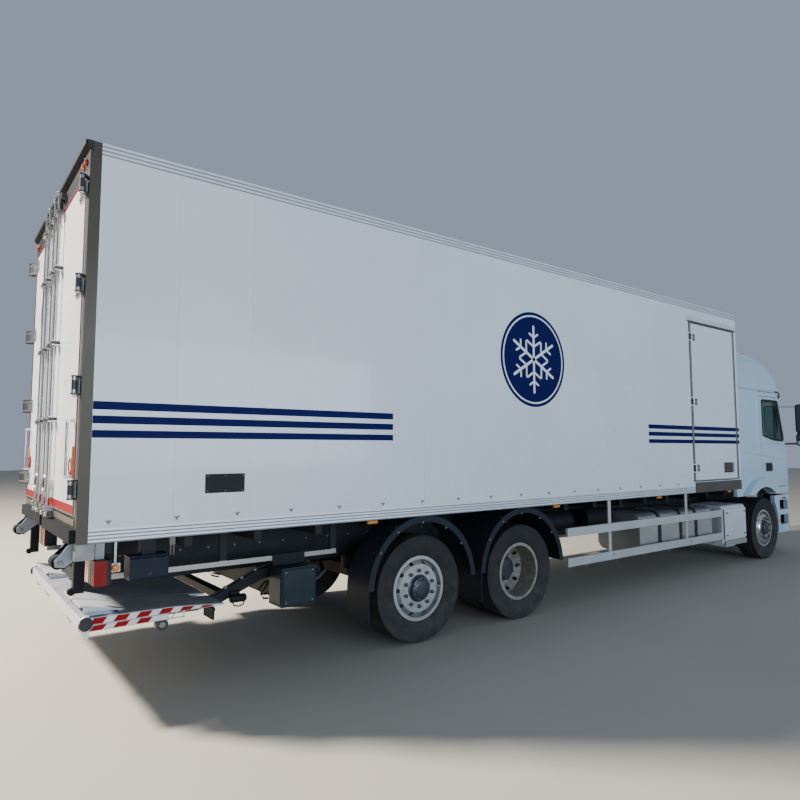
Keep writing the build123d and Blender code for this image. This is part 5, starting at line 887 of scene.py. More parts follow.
# Side door on the right: laminate leaf in a black gap seal, a drip moulding over it, three stainless
# hinges, a handle plate in its recess and a stainless threshold.
DOOR_X = (2.217, 3.527)
DOOR_Z = (1.37, 3.71)
steel = (0.44, 0.43, 0.41)
door_parts = [(((2, 4), (-1.4, -WALL_Y - 0.0008), (1, 4)), steel, 0.3, 0.95),
              (((3.092, 3.418), (-1.2995, -1.2), (1.472, 1.628)), BLACK, 0.5, 0.0)]
door_laminate = surface("side door laminate", LAMINATE, 0.25, dust=0.12, dust_top=2.8, mottle=0.03,
                        depth=0.0012, coat=0.3, zones=door_parts, **LAMINATE_SKIN)
dress(door_laminate, "side_door")
films = [block(inset(DOOR_X, 0.002), (-WALL_Y - FILM, -WALL_Y + 0.001), span) for span in STRIPE_Z]
built("side_door_stripes", films, "side_door", stripe_navy)
seal_black = surface("seal black", (0.014, 0.015, 0.016), 0.62, dust=0.1)


def frame_strip(x, z, inner, thick, y):
    """Four closed strips round an opening in a wall that faces along Y."""
    return [block((x[0] - thick, x[0] - inner), y, (z[0] - thick, z[1] + thick)),
            block((x[1] + inner, x[1] + thick), y, (z[0] - thick, z[1] + thick)),
            block((x[0] - inner, x[1] + inner), y, (z[0] - thick, z[0] - inner)),
            block((x[0] - inner, x[1] + inner), y, (z[1] + inner, z[1] + thick))]


built("side_door_seal",
      frame_strip(inset(DOOR_X, 0.012), inset(DOOR_Z, 0.012),
                  0.0, 0.01, (-WALL_Y - 0.003, -WALL_Y + 0.004)),
      "side_door", seal_black, 0.0015)
portal_steel = surface("door portal steel", (0.115, 0.107, 0.092), 0.4, metallic=0.6, dust=0.08, grain=60.0,
                       stretch=(1, 1, 0.1), depth=0.00005)
trim = [block((2.205, 3.627), (-WALL_Y - 0.008, -WALL_Y + 0.001), (1.204, 1.352)),
        block((DOOR_X[0] - 0.08, DOOR_X[1] + 0.06), (-WALL_Y - 0.02, -WALL_Y + 0.001), (3.714, 3.73))]
drip = [prism([(-WALL_Y, 3.73), (-WALL_Y - 0.024, 3.73), (-WALL_Y - 0.024, 3.744), (-WALL_Y - 0.008, 3.766),
               (-WALL_Y - 0.003, 3.806), (-WALL_Y, 3.806)], "X", DOOR_X[0] - 0.08, DOOR_X[1] + 0.06)]
built("side_door_drip_rail", drip, "chassis", rail_metal, 0.002)
for x in ((2.168, 2.2), (3.542, 3.572)):
    trim.append(block(x, (-WALL_Y - 0.0035, -WALL_Y + 0.001), (1.362, 3.72)))
built("side_door_portal", trim, "chassis", portal_steel, 0.0015)
plate_y = -WALL_Y + 0.012
handle = [block((3.108, 3.402), (plate_y, plate_y + 0.014), (1.486, 1.614)),
          lathe([(0.0, 0.0), (0.0, -0.01), (0.04, -0.01), (0.045, -0.004), (0.045, 0.0)],
                (3.34, plate_y, 1.55), 32),
          pipe([(3.34, plate_y - 0.01, 1.55), (3.3, plate_y - 0.016, 1.552), (3.24, plate_y - 0.016, 1.552),
                (3.16, plate_y - 0.014, 1.55)], 0.009)]
built("side_door_handle", handle, "side_door", portal_steel, 0.003)
hinge_bolts = [((x, -WALL_Y - 0.009, z + up), (0, -1, 0)) for z in (1.56, 2.53, 3.49) for x in (2.265, 2.31)
               for up in (-0.03, 0.03)]
fasteners("side_hinge_bolts", hinge_bolts, "side_door", zinc, 0.009, 0.008)

# Rear portal: brushed stainless corner posts in a warm grey, a rain lip under black paint, and a header
# band painted black as painted shade under the lip. The sill is a stainless edge over a black rubber strip,
# and small lamps sit under the lip.
PORTAL_X = -5.887
LEAF_X = -5.892
HEADER_SHADE_AND_LIP_BLACK = (0.004, 0.005, 0.007)
# The first zone is painted shade: the header band under the lip is painted black for the shade it lies in.
# The second zone is the lip's own black.
header_shade_and_lip_zones = [(((-6, PORTAL_X + near), (-half, half), height), HEADER_SHADE_AND_LIP_BLACK, 0.6, 0.0)
             for near, half, height in ((0.004, 1.3, (3.812, 3.935)), (0.016, 1.31, (3.935, 4.01)))]
portal = surface("portal stainless", (0.088, 0.076, 0.058), 0.42, metallic=0.6, dust=0.06, dust_top=3.0,
                 mottle=0.14, mottle_size=0.7, grain=50.0, stretch=(8, 8, 0.15), depth=0.00005, gloss=0.12,
                 zones=header_shade_and_lip_zones)
dress(portal, "box_rear_frame")
built("lip_end_caps",
      [prism([(PORTAL_X + 0.02, 3.925), (PORTAL_X - 0.022, 3.962), (PORTAL_X - 0.022, 3.9995),
              (PORTAL_X + 0.02, 3.9995)], "Y", y, y + side * 0.006) for side, y in ((1, 1.3), (-1, -1.3))],
      "chassis", seal_black, 0.001)
lip_lamps, lip_amber = [], []
for side in (1, -1):
    for low, high, shapes in ((1.165, 1.225, lip_lamps), (1.075, 1.115, lip_amber)):
        shapes.append(block((PORTAL_X - 0.02, PORTAL_X + 0.001), pair(side, low, high), (3.862, 3.888)))
built("lip_red_lamps", lip_lamps, "chassis", surface("red lens small", (0.42, 0.012, 0.012), 0.25, coat=0.5,
                                                     grain=500.0, depth=0.0003), 0.004)
built("lip_amber_lamps", lip_amber, "chassis", amber_lens, 0.004)
sill = [block((PORTAL_X - 0.006, PORTAL_X + 0.001), (-1.238, 1.238), (1.318, 1.362))]
built("sill_edge", sill, "chassis", portal_steel, 0.002)

# Rear doors: white laminate leaves with a black lip seal all round, a line of red tape near
# the top and outer edges and a deeper red band at the foot. Hinges are cast stainless, with black bushes.
BUSH = (0.03, 0.031, 0.034)
steel_spans = [(((-6.1, LEAF_X - 0.0008), (-1.4, 1.4), (1, 4)), (0.4, 0.39, 0.37), 0.32, 0.95)]
HINGE_Z = (1.57, 2.27, 2.97, 3.67)
for z in HINGE_Z:
    steel_spans.append((((-6.1, -5.918), (-1.4, 1.4), about(z, 0.032)), BUSH, 0.5, 0.0))
door_white = surface("rear door laminate", (0.82, 0.83, 0.84), 0.25, dust=0.14, dust_top=2.4, mottle=0.03,
                     mottle_size=0.9, grain=1.6, depth=0.0012, coat=0.3, spread=0.05, gloss=0.3,
                     zones=steel_spans)
dress(door_white, "rear_door_left", "rear_door_right")
tape_red = surface("reflective red", (0.26, 0.001, 0.004), 0.4, dust=0.05, grain=900.0, depth=0.0001,
                   gloss=0.1)
tape_white = surface("reflective white", (0.7, 0.71, 0.72), 0.3, dust=0.12, grain=900.0, depth=0.0001,
                     coat=0.3, gloss=0.2)
LEAF_Y = (0.01, 1.23)
LEAF_Z = (1.376, 3.8)
TAPE_OUT = 0.0006


def leaf_frame(side, inset, width, x):
    """Four strips of one width round a leaf, set in from its edges."""
    low, high = LEAF_Y[0] + inset, LEAF_Y[1] - inset
    foot, head = LEAF_Z[0] + inset, LEAF_Z[1] - inset
    return [block(x, pair(side, low, low + width), (foot, head)),
            block(x, pair(side, high - width, high), (foot, head)),
            block(x, pair(side, low + width, high - width), (foot, foot + width)),
            block(x, pair(side, low + width, high - width), (head - width, head))]


for word, side in SIDES:
    body = f"rear_door_{word}"
    built(f"leaf_seal_{word}", leaf_frame(side, 0.002, 0.012, about(LEAF_X, 0.004)), body, seal_black,
          0.0015)
    tape_x = (LEAF_X - TAPE_OUT, LEAF_X + 0.001)
    lines = [block(tape_x, pair(side, 0.03, 1.212), (3.765, 3.785)),
             block(tape_x, pair(side, 1.186, 1.212), (2.33, 3.765)),
             block(tape_x, pair(side, 1.176, 1.212), (1.46, 2.28)),
             block(tape_x, pair(side, 0.03, 1.212), (1.392, 1.456))]
    built(f"leaf_tape_{word}", lines, body, tape_red)
    plate_y, plate_z = side * 1.085, 1.72
    ring = [lathe([(0.06, 0.001), (0.06, -0.009), (0.054, -0.014), (0.046, -0.014), (0.04, -0.009),
                   (0.04, 0.001)], (LEAF_X, plate_y, plate_z), 40, "X")]
    built(f"reflector_rim_{word}", ring, body, tape_red)
    built(f"reflector_face_{word}", [lathe([(0.0, 0.001), (0.0, -0.008), (0.041, -0.008), (0.041, 0.001)],
                                           (LEAF_X, plate_y, plate_z), 32, "X")], body, tape_white)
    built(f"leaf_marker_{word}", [block((LEAF_X - 0.012, LEAF_X + 0.001), pair(side, 1.14, 1.166),
                                        (1.64, 1.86))], body, amber_lens, 0.004)
    straps = [((LEAF_X - 0.009, side * y, z + up), (-1, 0, 0)) for z in HINGE_Z
              for y in (1.065, 1.12, 1.175) for up in (-0.032, 0.032)]
    fasteners(f"leaf_hinge_bolts_{word}", straps, body, zinc, 0.009, 0.006)

def on_rear(across, up, out):
    """Places a drawing on a rear leaf, with its third size to the rear."""
    return Vector((-out, across, up))


# A small badge of the same design as the walls' is on the left leaf, beside the lock bars.
badge("badge_rear", (LEAF_X, 0.56, 3.11), 0.235, "rear_door_left", on_rear, "X", -1)

# Lock bars: stainless tubes in their guides, with a forked cam at each end in a keeper of the portal,
# a black bush in every guide, and a black plate where the handles are locked.
BAR_X, BAR_Y = -5.929, (0.13, 0.33)
guide_bands = [(((-6, -5.88), (-1.3, 1.3), about(z, 0.012)), BUSH, 0.5, 0.0) for z in (2.08, 2.69, 3.3)]
bar_steel = surface("lock bar steel", (0.46, 0.45, 0.43), 0.26, metallic=0.95, dust=0.14, grain=60.0,
                    stretch=(8, 8, 0.2), depth=0.00005, zones=guide_bands)
dress(bar_steel, "rear_lock_left", "rear_lock_right")
for word, side in SIDES:
    body = f"rear_door_{word}"
    cams, keepers, bolts = [], [], []
    for y in BAR_Y:
        for z, turn in ((1.33, 1), (3.922, -1)):
            cams.append(rod((BAR_X, side * y, z - 0.014), (BAR_X, side * y, z + 0.014), 0.023, 20))
            cams.append(prism([(BAR_X + 0.016, side * (y - 0.02)), (BAR_X + 0.016, side * (y + 0.02)),
                               (BAR_X - 0.006, side * (y + 0.044)), (BAR_X - 0.018, side * (y + 0.04)),
                               (BAR_X - 0.02, side * (y - 0.012))], "Z", z - 0.011, z + 0.011))
        for z in (1.33, 3.895):
            for shift in (-0.052, 0.052):
                keepers.append(block((-5.928, PORTAL_X + 0.001),
                                     pair(side, y + shift - 0.007, y + shift + 0.007), about(z, 0.026)))
        for z in (1.38, 2.08, 2.69, 3.3, 3.76):
            bolts += [((BAR_X - 0.022, side * (y + shift), z), (-1, 0, 0)) for shift in (-0.033, 0.033)]
    built(f"bar_cams_{word}", cams, body, bar_steel, 0.002)
    built(f"bar_keepers_{word}", keepers, "chassis", portal_steel, 0.002)
    fasteners(f"guide_bolts_{word}", bolts, body, zinc, 0.007, 0.006)
    plate = [block((-5.951, -5.944), pair(side, 0.2, 0.262), (1.535, 1.605)),
             block((-5.944, LEAF_X), pair(side, 0.215, 0.246), (1.555, 1.585))]
    built(f"lock_plate_{word}", plate, body, seal_black, 0.003)

# Dock fittings: rubber buffers and rollers between pale forked plates under the sill, rubber blocks
# along the sill, and galvanised angle plates at its corners.
roller_zone = (((-5.87, -5.78), (-1.14, 1.14), (0.88, 1.2)), (0.01, 0.011, 0.013), 0.5, 0.4)
buffer_rubber = surface("buffer rubber", (0.01, 0.012, 0.015), 0.7, dust=0.05, dust_top=1.6, depth=0.0006,
                        gloss=0.12, grain=150.0, zones=[roller_zone])
fork_grey = surface("fork grey", (0.22, 0.24, 0.26), 0.45, metallic=0.5, dust=0.3, dust_top=1.6)
dress(buffer_rubber, "dock_buffers")
forks, hubs = [], []
for side in (1, -1):
    for y in (1.022, 1.168):
        forks.append(prism([(-5.9, 1.2), (-5.8, 1.2), (-5.815, 1.12), (-5.925, 1.04), (-5.985, 1.05),
                            (-5.99, 1.095), (-5.95, 1.135)], "Y", side * y, side * (y + 0.01)))
    hubs.append(((-5.952, side * 1.18, 1.075), (0, side, 0)))
    hubs.append(((-5.952, side * 1.02, 1.075), (0, -side, 0)))
built("roller_forks", forks, "chassis", fork_grey, 0.002)
fasteners("roller_axles", hubs, "chassis", zinc, 0.017, 0.012)
notches = []
for index in range(-11, 12):
    if abs(index) > 1:
        y = index * 0.105
        notches.append(block((PORTAL_X - 0.012, PORTAL_X + 0.001), about(y, 0.038), (1.236, 1.296)))
built("sill_rubbers", notches, "chassis", buffer_rubber, 0.006)
corner_steel = surface("galvanised plate", (0.235, 0.25, 0.24), 0.5, metallic=0.6, dust=0.35, dust_top=1.8,
                       mottle=0.2, mottle_size=0.06)
corners = []
for side in (1, -1):
    y = pair(side, 1.287, 1.281)
    corners.append(block((-5.884, -5.765), y, (1.092, 1.201)))
    corners.append(block((-5.884, -5.878), pair(side, 1.285, 1.18), (1.092, 1.201)))
    corners.append(block((-5.884, -5.765), pair(side, 1.285, 1.18), (1.092, 1.098)))
built("corner_brackets", corners, "chassis", corner_steel, 0.0015)

# Rear lamps: rounded clusters with a pale rear face in three fields and a red side, in black housings
# on a galvanised bar. Beside them, amber markers in bright frames and the lift's control box.
LAMP_X = (-5.762, -5.681)
LAMP_Y = (0.95, 1.285)
LAMP_Z = (0.91, 1.078)
housing_black = surface("lamp housing", (0.015, 0.016, 0.018), 0.5, dust=0.2, gloss=0.2)
pale_fields = [(((-5.8, -5.759), (-far, far), (0.9, 1.09)), colour, dull, 0.0)
               for far, colour, dull in ((1.165, (0.42, 0.1, 0.09), 0.2), (1.11, (0.66, 0.6, 0.58), 0.15),
                                         (1.045, (0.6, 0.22, 0.05), 0.2))]
pale_fields.append((((-5.8, -5.6), (-1.25, 1.25), (1.0785, 1.21)), (0.25, 0.26, 0.25), 0.5, 0.6))
red_lens = surface("red lens", (0.19, 0.0006, 0.001), 0.2, coat=0.12, grain=260.0, depth=0.001, gloss=0.2,
                   zones=pale_fields)
dress(red_lens, "rear_lamps")
shells, markers, frames = [], [], []
for side in (1, -1):
    shells.append(block((LAMP_X[1] - 0.004, LAMP_X[1] + 0.03), pair(side, LAMP_Y[0], LAMP_Y[1] - 0.006),
                        LAMP_Z))
    shells.append(block((LAMP_X[0] + 0.01, LAMP_X[1]), pair(side, LAMP_Y[0] - 0.006, LAMP_Y[0]), LAMP_Z))
    shells.append(block((LAMP_X[0] + 0.006, LAMP_X[1]), pair(side, 0.952, 1.28),
                        (LAMP_Z[1], LAMP_Z[1] + 0.007)))
    for y in (1.045, 1.11, 1.165):
        shells.append(block(about(LAMP_X[0], 0.002), pair(side, y - 0.003, y + 0.003), LAMP_Z))
    x, y = -5.615, side * 1.215
    frames.append(block(about(x, 0.034), (y, y + side * 0.014), (0.984, 1.048)))
    frames.append(block(about(x, 0.01), (y - side * 0.006, y), (1.045, 1.205)))
    markers.append(lathe([(0.0, 0.0), (0.0, side * 0.018), (0.014, side * 0.017), (0.024, side * 0.011),
                          (0.027, side * 0.0)], (x, y + side * 0.013, 1.014), 28))
built("lamp_shells", shells, "chassis", housing_black, 0.003)
built("marker_frames", frames, "chassis", bar_steel, 0.004)
built("round_markers", markers, "chassis", amber_lens)

# Control box and slide rails of the tail lift: polished steel rails under the floor, and a dark blue
# cabinet with a lid seam, two hinges and a round button.
rail_zones = [(((-5.75, -3.62), about(y, 0.021), (0.879, 0.922)), (0.36, 0.36, 0.35), 0.25, 0.95)
              for y in (-0.9, 0.9)]
rail_zones.append((((-5.53, -5.25), (-1.245, -1.075), (0.905, 1.08)), (0.005, 0.01, 0.024), 0.42, 0.1))
lift_steel = surface("lift steel", (0.01, 0.012, 0.015), 0.5, dust=0.18, dust_top=1.4, depth=0.0003,
                     gloss=0.2, zones=rail_zones)
dress(lift_steel, "lift_rails")
cabinet_blue = surface("cabinet blue", (0.005, 0.01, 0.024), 0.4, dust=0.06, coat=0.1, gloss=0.15)
BOX_X, BOX_Y, BOX_Z = (-5.523, -5.257), (-1.24, -1.08), (0.91, 1.075)
lid = [block((BOX_X[0] - 0.002, BOX_X[1] + 0.002), (BOX_Y[0] - 0.004, BOX_Y[0] + 0.002),
             (BOX_Z[0] + 0.012, BOX_Z[1] - 0.01)),
       block((BOX_X[0] - 0.006, BOX_X[1] + 0.006), (BOX_Y[0] - 0.006, BOX_Y[1]),
             (BOX_Z[1] - 0.004, BOX_Z[1] + 0.006))]
for x in inset(BOX_X, 0.045):
    lid.append(rod((x - 0.018, BOX_Y[0] - 0.006, BOX_Z[1] - 0.014),
                   (x + 0.018, BOX_Y[0] - 0.006, BOX_Z[1] - 0.014), 0.005, 10))
built("control_lid", lid, "chassis", cabinet_blue, 0.002)
button_x = sum(BOX_X) / 2
knobs = [lathe([(0.0, 0.0), (0.0, -0.016), (0.011, -0.015), (0.013, -0.004), (0.017, -0.003), (0.017, 0.0)],
               (button_x, BOX_Y[0] - 0.003, BOX_Z[0] + 0.045), 20),
         rod((BOX_X[1] - 0.045, -1.15, BOX_Z[0] - 0.018), (BOX_X[1] - 0.045, -1.15, BOX_Z[0] + 0.002),
             0.012, 14)]
built("control_button", knobs, "chassis", seal_black)
clip = [rod((-5.236, -1.215, 1.062), (-5.236, -1.215, 1.14), 0.008, 12),
        rod((-5.214, -1.215, 1.062), (-5.214, -1.215, 1.14), 0.008, 12),
        block((-5.246, -5.204), (-1.222, -1.208), (1.136, 1.203))]
built("bracket_clip", clip, "chassis", portal_steel, 0.001)

# Carriage: a square cross beam with a teal power-pack box at each end, shoes that hang on the rails,
# lids held by screws, and hydraulic hoses to the arms.
teal = (0.006, 0.018, 0.024)
carriage_paint = surface("carriage black", (0.008, 0.01, 0.012), 0.5, dust=0.15, dust_top=1.2, depth=0.0003,
                         gloss=0.2, zones=[(((-4.3, -3.94), (low, high), (0.5, 0.845)), teal, 0.45, 0.0)
                                           for low, high in ((0.8795, 1.13), (-1.13, -0.8795))])
dress(carriage_paint, "lift_carriage")
carriage_teal = surface("carriage teal", teal, 0.42, dust=0.14, dust_top=1.2, coat=0.15, gloss=0.25)
PACK_X, PACK_Z = (-4.283, -3.959), (0.515, 0.838)
lids, screws = [], []
for side in (1, -1):
    lids.append(block(inset(PACK_X, 0.018), pair(side, 1.119, 1.127), inset(PACK_Z, 0.018)))
    lids.append(block((PACK_X[0] - 0.007, PACK_X[0] + 0.001), pair(side, 0.895, 1.105),
                      (PACK_Z[0] + 0.02, PACK_Z[1] - 0.03)))
    for x in inset(PACK_X, 0.036):
        for z in inset(PACK_Z, 0.036):
            screws.append(((x, side * 1.127, z), (0, side, 0)))
built("pack_lids", lids, "lift_carriage", carriage_teal, 0.003)
fasteners("pack_screws", screws, "lift_carriage", zinc, 0.008, 0.005, 10)
hoses = []
for side in (1, -1):
    for drop, y in ((0.0, 0.6), (0.03, 0.64)):
        route = [(-4.172, y, 0.64), (-4.21, y, 0.62 - drop), (-4.25, y, 0.57 - drop),
                 (-4.22, y, 0.53 - drop), (-4.16, y - 0.04, 0.515 - drop)]
        hoses.append(pipe(sided(side, route), 0.009, 12))
built("carriage_hoses", hoses, "lift_carriage", seal_black)

# Lift arms: black welded goosenecks with a hydraulic line clipped along the top, a small pump under
# each. A brush hangs under the front edge of the platform beside each arm.
lift_black = surface("lift black", (0.006, 0.007, 0.009), 0.5, dust=0.12, dust_top=1.2, depth=0.0003,
                     gloss=0.2)
dress(lift_black, "lift_arms")
ARM_Y = (0.79, 0.86)
PUMP_ROUTE = ((-4.62, 0.905, 0.572), (-4.61, 0.908, 0.545), (-4.57, 0.91, 0.535), (-4.53, 0.908, 0.545),
              (-4.52, 0.905, 0.572))
BRISTLES, BRISTLE_PITCH, ROW_PITCH = 90, 0.0022, 0.007
lines, clips, pumps, bristle_spots, holders = [], [], [], [], []
for side in (1, -1):
    y = side * (ARM_Y[0] + 0.045)
    lines.append(pipe([(-4.78, y, 0.632), (-4.66, y, 0.686), (-4.52, y, 0.752), (-4.4, y, 0.804),
                       (-4.33, y, 0.826), (-4.27, y, 0.826)], 0.007, 10))
    for x, z in ((-4.66, 0.684), (-4.52, 0.75), (-4.4, 0.802)):
        clips.append(block(about(x, 0.012), about(y, 0.016), (z - 0.012, z + 0.014)))
    pumps.append(lathe([(0.0, 0.0), (0.022, 0.0), (0.033, 0.012), (0.034, 0.125), (0.026, 0.14),
                        (0.0, 0.142)], (-4.645, side * 0.9, 0.6), 28, "X"))
    pumps.append(pipe(sided(side, PUMP_ROUTE), 0.006, 10))
    pumps.append(block((-4.63, -4.55), pair(side, 0.86, 0.885), (0.615, 0.655)))
    holders.append(block((-4.862, -4.838), pair(side, 0.876, 1.09), (0.572, 0.598)))
    for y in (0.895, 1.06):
        holders.append(block((-4.855, -4.845), pair(side, y, y + 0.02), (0.59, 0.652)))
    for index in range(BRISTLES):
        for row in range(3):
            x, y = -4.857 + row * ROW_PITCH, side * (0.885 + index * BRISTLE_PITCH)
            bristle_spots.append(((x, y, 0.573), (0, 0, -1)))
built("arm_lines", lines, "lift_arms", seal_black)
built("arm_clips", clips, "lift_arms", zinc, 0.002)
built("arm_pumps", pumps, "lift_arms", lift_black, 0.002)
built("brush_holders", holders, "lift_platform", lift_black, 0.003)
fasteners("edge_brushes", bristle_spots, "lift_platform", seal_black, 0.0016, 0.055, 5)

# Folded platform: two leaves of extruded aluminium, ribbed and gritted on top, with red and white
# reflective tape along both side edges, round fold joints, roll-off stops and welded feet.
FITTING_BLACK = (0.01, 0.012, 0.015)
dark_fittings = []
for side in (1, -1):
    for near, far, x, z in ((1.09, 1.18, (-5.32, -5.21), (0.5, 0.5955)),
                            (0.765, 0.885, (-5.36, -4.85), (0.54, 0.5955)),
                            (0.765, 0.885, (-5.234, -4.85), (0.5955, 0.6385))):
        dark_fittings.append(((x, sorted(pair(side, near, far)), z), FITTING_BLACK, 0.55, 0.0))
platform_metal = surface("platform aluminium", (0.4, 0.41, 0.42), 0.48, metallic=0.5, dust=0.34,
                         dust_top=0.8, mottle=0.16, mottle_size=0.15, grain=260.0, depth=0.0006,
                         zones=dark_fittings)
platform_edge = surface("platform edge", (0.64, 0.65, 0.65), 0.38, metallic=0.45, dust=0.2, dust_top=0.8)
dress(platform_metal, "lift_platform")
EDGE_Y = 1.2
TIP_X = (-5.78, -4.822)
MAIN_X = (-5.78, -5.24)
CHEVRON_START, CHEVRON_PITCH, CHEVRON_WIDTH, CHEVRON_LEAN = 0.015, 0.152, 0.086, 0.03
TAPE_DROP = 0.004
TIP_REAR, TIP_KNEE = -5.813, -5.193
TIP_HIGH, KNEE_HIGH = 0.689, 0.681
REAR_FALL, FRONT_FALL = 0.0129, 0.079


def tip_top(x):
    """Height of the tip leaf's top side, which tapers to the front."""
    if x < TIP_REAR:
        return TIP_HIGH
    if x < TIP_KNEE:
        return TIP_HIGH - (x - TIP_REAR) * REAR_FALL
    return KNEE_HIGH - (x - TIP_KNEE) * FRONT_FALL


def chevrons(x_span, low, top):
    """Slanted blocks of tape between two heights, as a list of four corners each."""
    spots = []
    x = x_span[0] + CHEVRON_START
    while x + CHEVRON_WIDTH < x_span[1]:
        corners = [(x, low), (x + CHEVRON_WIDTH, low)]
        corners += [(x + CHEVRON_WIDTH + CHEVRON_LEAN, top(x + CHEVRON_WIDTH + CHEVRON_LEAN)),
                    (x + CHEVRON_LEAN, top(x + CHEVRON_LEAN))]
        if corners[2][0] < x_span[1]:
            spots.append(corners)
        x += CHEVRON_PITCH
    return spots


def tape_top(x):
    """Upper edge of the tape on the tip leaf."""
    return tip_top(x) - TAPE_DROP


def main_top(x):
    """Upper edge of the tape on the main leaf, which is level."""
    return 0.634


pale, red = [], []
for side in (1, -1):
    inner, face, over = side * (EDGE_Y - 0.001), side * (EDGE_Y + TAPE_OUT), side * (EDGE_Y + 2 * TAPE_OUT)
    pale.append(prism([(TIP_X[0], 0.6425), (TIP_X[1], 0.6425), (TIP_X[1], tape_top(TIP_X[1])),
                       (TIP_KNEE, tape_top(TIP_KNEE)), (TIP_X[0], tape_top(TIP_X[0]))], "Y", inner, face))
    pale.append(block(MAIN_X, (inner, face), (0.599, 0.6345)))
    for corners in chevrons(TIP_X, 0.643, tape_top) + chevrons(MAIN_X, 0.6, main_top):
        red.append(prism(corners, "Y", inner, over))
built("platform_tape_pale", pale, "lift_platform", tape_white)
built("platform_tape_red", red, "lift_platform", tape_red)
RING_Y = 1.206
RING_ROUTE = ((-5.826, 0.61), (-5.834, 0.65), (-5.822, 0.688), (-5.795, 0.702))
ends, fold_covers, feet, stops, pads = [], [], [], [], []
for side in (1, -1):
    centre = (-5.787, side * EDGE_Y, 0.65)
    fold_covers.append(lathe([(0.0, 0.0), (0.0, side * 0.016), (0.02, side * 0.016), (0.024, side * 0.012),
                              (0.04, side * 0.012), (0.046, side * 0.008), (0.046, 0.0)], centre, 36))
    ends.append(pipe([(x, side * RING_Y, z) for x, z in RING_ROUTE], 0.005, 10))
    for y in (0.55, 1.1):
        feet.append(prism([(-5.8, 0.6), (-5.8, 0.575), (-5.77, 0.52), (-5.752, 0.52), (-5.735, 0.6)], "Y",
                          side * (y - 0.012), side * (y + 0.012)))
    for low, high in ((0.44, 0.76), (0.8, 1.06)):
        outline = [(-5.5, 0.686), (-5.79, 0.748), (-5.806, 0.744), (-5.806, 0.735), (-5.788, 0.737),
                   (-5.505, 0.678)]
        stops.append(prism(outline, "Y", side * low, side * high))
        for y in (low, high - 0.006):
            stops.append(prism([(-5.52, 0.68), (-5.78, 0.742), (-5.78, 0.688)], "Y", side * y,
                               side * (y + 0.006)))
    pads.append(block((-5.76, -5.56), pair(side, 1.085, 1.175), (0.686, 0.695)))
edge_rails = [block((-5.8165, -5.808), (-1.195, 1.195), (0.604, 0.628)),
              block((-5.8165, -5.808), (-1.195, 1.195), (0.652, 0.682)),
              rod((-5.805, -1.195, 0.641), (-5.805, 1.195, 0.641), 0.013, 16)]
built("platform_rear_edge", edge_rails, "lift_platform", platform_edge, 0.002)
built("fold_covers", fold_covers, "lift_platform", seal_black, 0.001)
built("fold_end_rings", ends, "lift_platform", platform_edge)
built("platform_feet", feet, "lift_platform", platform_edge, 0.002)
built("roll_off_stops", stops, "lift_platform", platform_edge, 0.002)
built("foot_pads", pads, "lift_platform",
      surface("foot pad", (0.055, 0.085, 0.15), 0.55, dust=0.35, grain=300.0,
              depth=0.0008), 0.003)
ribs = []
RIB_START, RIB_PITCH, RIB_END = -5.47, 0.0215, -4.86
for index in range(30):
    x = RIB_START + index * RIB_PITCH
    if x < RIB_END:
        for span in ((-1.185, -0.89), (-0.76, 0.76), (0.89, 1.185)):
            ribs.append(block((x, x + 0.006), span, (tip_top(x) - 0.004, tip_top(x) + 0.0022)))
built("platform_ribs", ribs, "lift_platform", platform_metal)
slots = []
for side in (1, -1):
    y = pair(side, 1.15, 1.158)
    for piece_x, piece_z in (((-5.23, -5.218), (0.582, 0.64)), ((-5.112, -5.1), (0.582, 0.64)),
                             ((-5.23, -5.1), (0.628, 0.64)), ((-5.23, -5.1), (0.582, 0.592))):
        slots.append(block(piece_x, y, piece_z))
    slots.append(rod((-5.205, side * 1.154, 0.59), (-5.15, side * 1.154, 0.632), 0.004, 8))
built("slotted_brackets", slots, "lift_platform", platform_edge, 0.001)
wheel_hubs = [lathe([(0.0, 0.0), (0.0, side * 0.004), (0.02, side * 0.004), (0.024, 0.0)],
                    (-5.265, side * 1.17, 0.556), 20) for side in (1, -1)]
built("ground_roller_hubs", wheel_hubs, "lift_platform", zinc)

# Cab: pressed steel panels in a pale blue-white gloss, grey trim inside, black rubber round the glass,
# a fibreglass roof cap with a pale joint strip, and two folds pressed along the side.
CAB_SIDE = 1.15
CAB_DUST = {"mottle": 0.02, "mottle_size": 0.8, "spread": 0.04}
trim_grey = (0.105, 0.108, 0.112)
cab_colour = (0.5, 0.645, 0.745)
cabin_zone = (((3.866, 5.5), (-1.096, 1.096), (1.262, 2.89)), trim_grey, 0.72, 0.0)
under_zone = (((3.8, 5.75), (-1.094, 1.094), (0.7, 1.2605)), (0.025, 0.027, 0.03), 0.7, 0.0)
cab_paint = surface("cab paint", cab_colour, 0.16, dust=0.16, dust_top=1.5, coat=0.7, depth=0.00003,
                    zones=[under_zone, cabin_zone], **CAB_DUST)
cap_paint = surface("roof cap paint", (0.49, 0.63, 0.725), 0.2, mottle=0.03, mottle_size=0.6, coat=0.6,
                    depth=0.00005,
                    zones=[(((3.866, 5.1), (-0.93, 0.93), (2.8, 3.43)), trim_grey, 0.75, 0.0)])
grips = [(((4.903, 5.121), (low, high), (1.445, 1.605)), (0.016, 0.018, 0.022), 0.42, 0.0)
         for low, high in ((1.1505, 1.18), (-1.18, -1.1505))]
door_lining = (((4.7, 5.8), (-1.096, 1.096), (1.17, 2.76)), trim_grey, 0.72, 0.0)
door_paint = surface("cab door paint", cab_colour, 0.16, dust=0.16, dust_top=1.5, coat=0.7, depth=0.00003,
                     zones=[door_lining] + grips, **CAB_DUST)
dress(cab_paint, "cab_shell")
dress(cap_paint, "cab_roof")
dress(door_paint, "cab_door_left", "cab_door_right")
seam_black = surface("seam black", (0.012, 0.014, 0.017), 0.6, dust=0.1)
moulding = surface("cap joint strip", (0.5, 0.5, 0.46), 0.55, dust=0.15, dust_top=4.0)


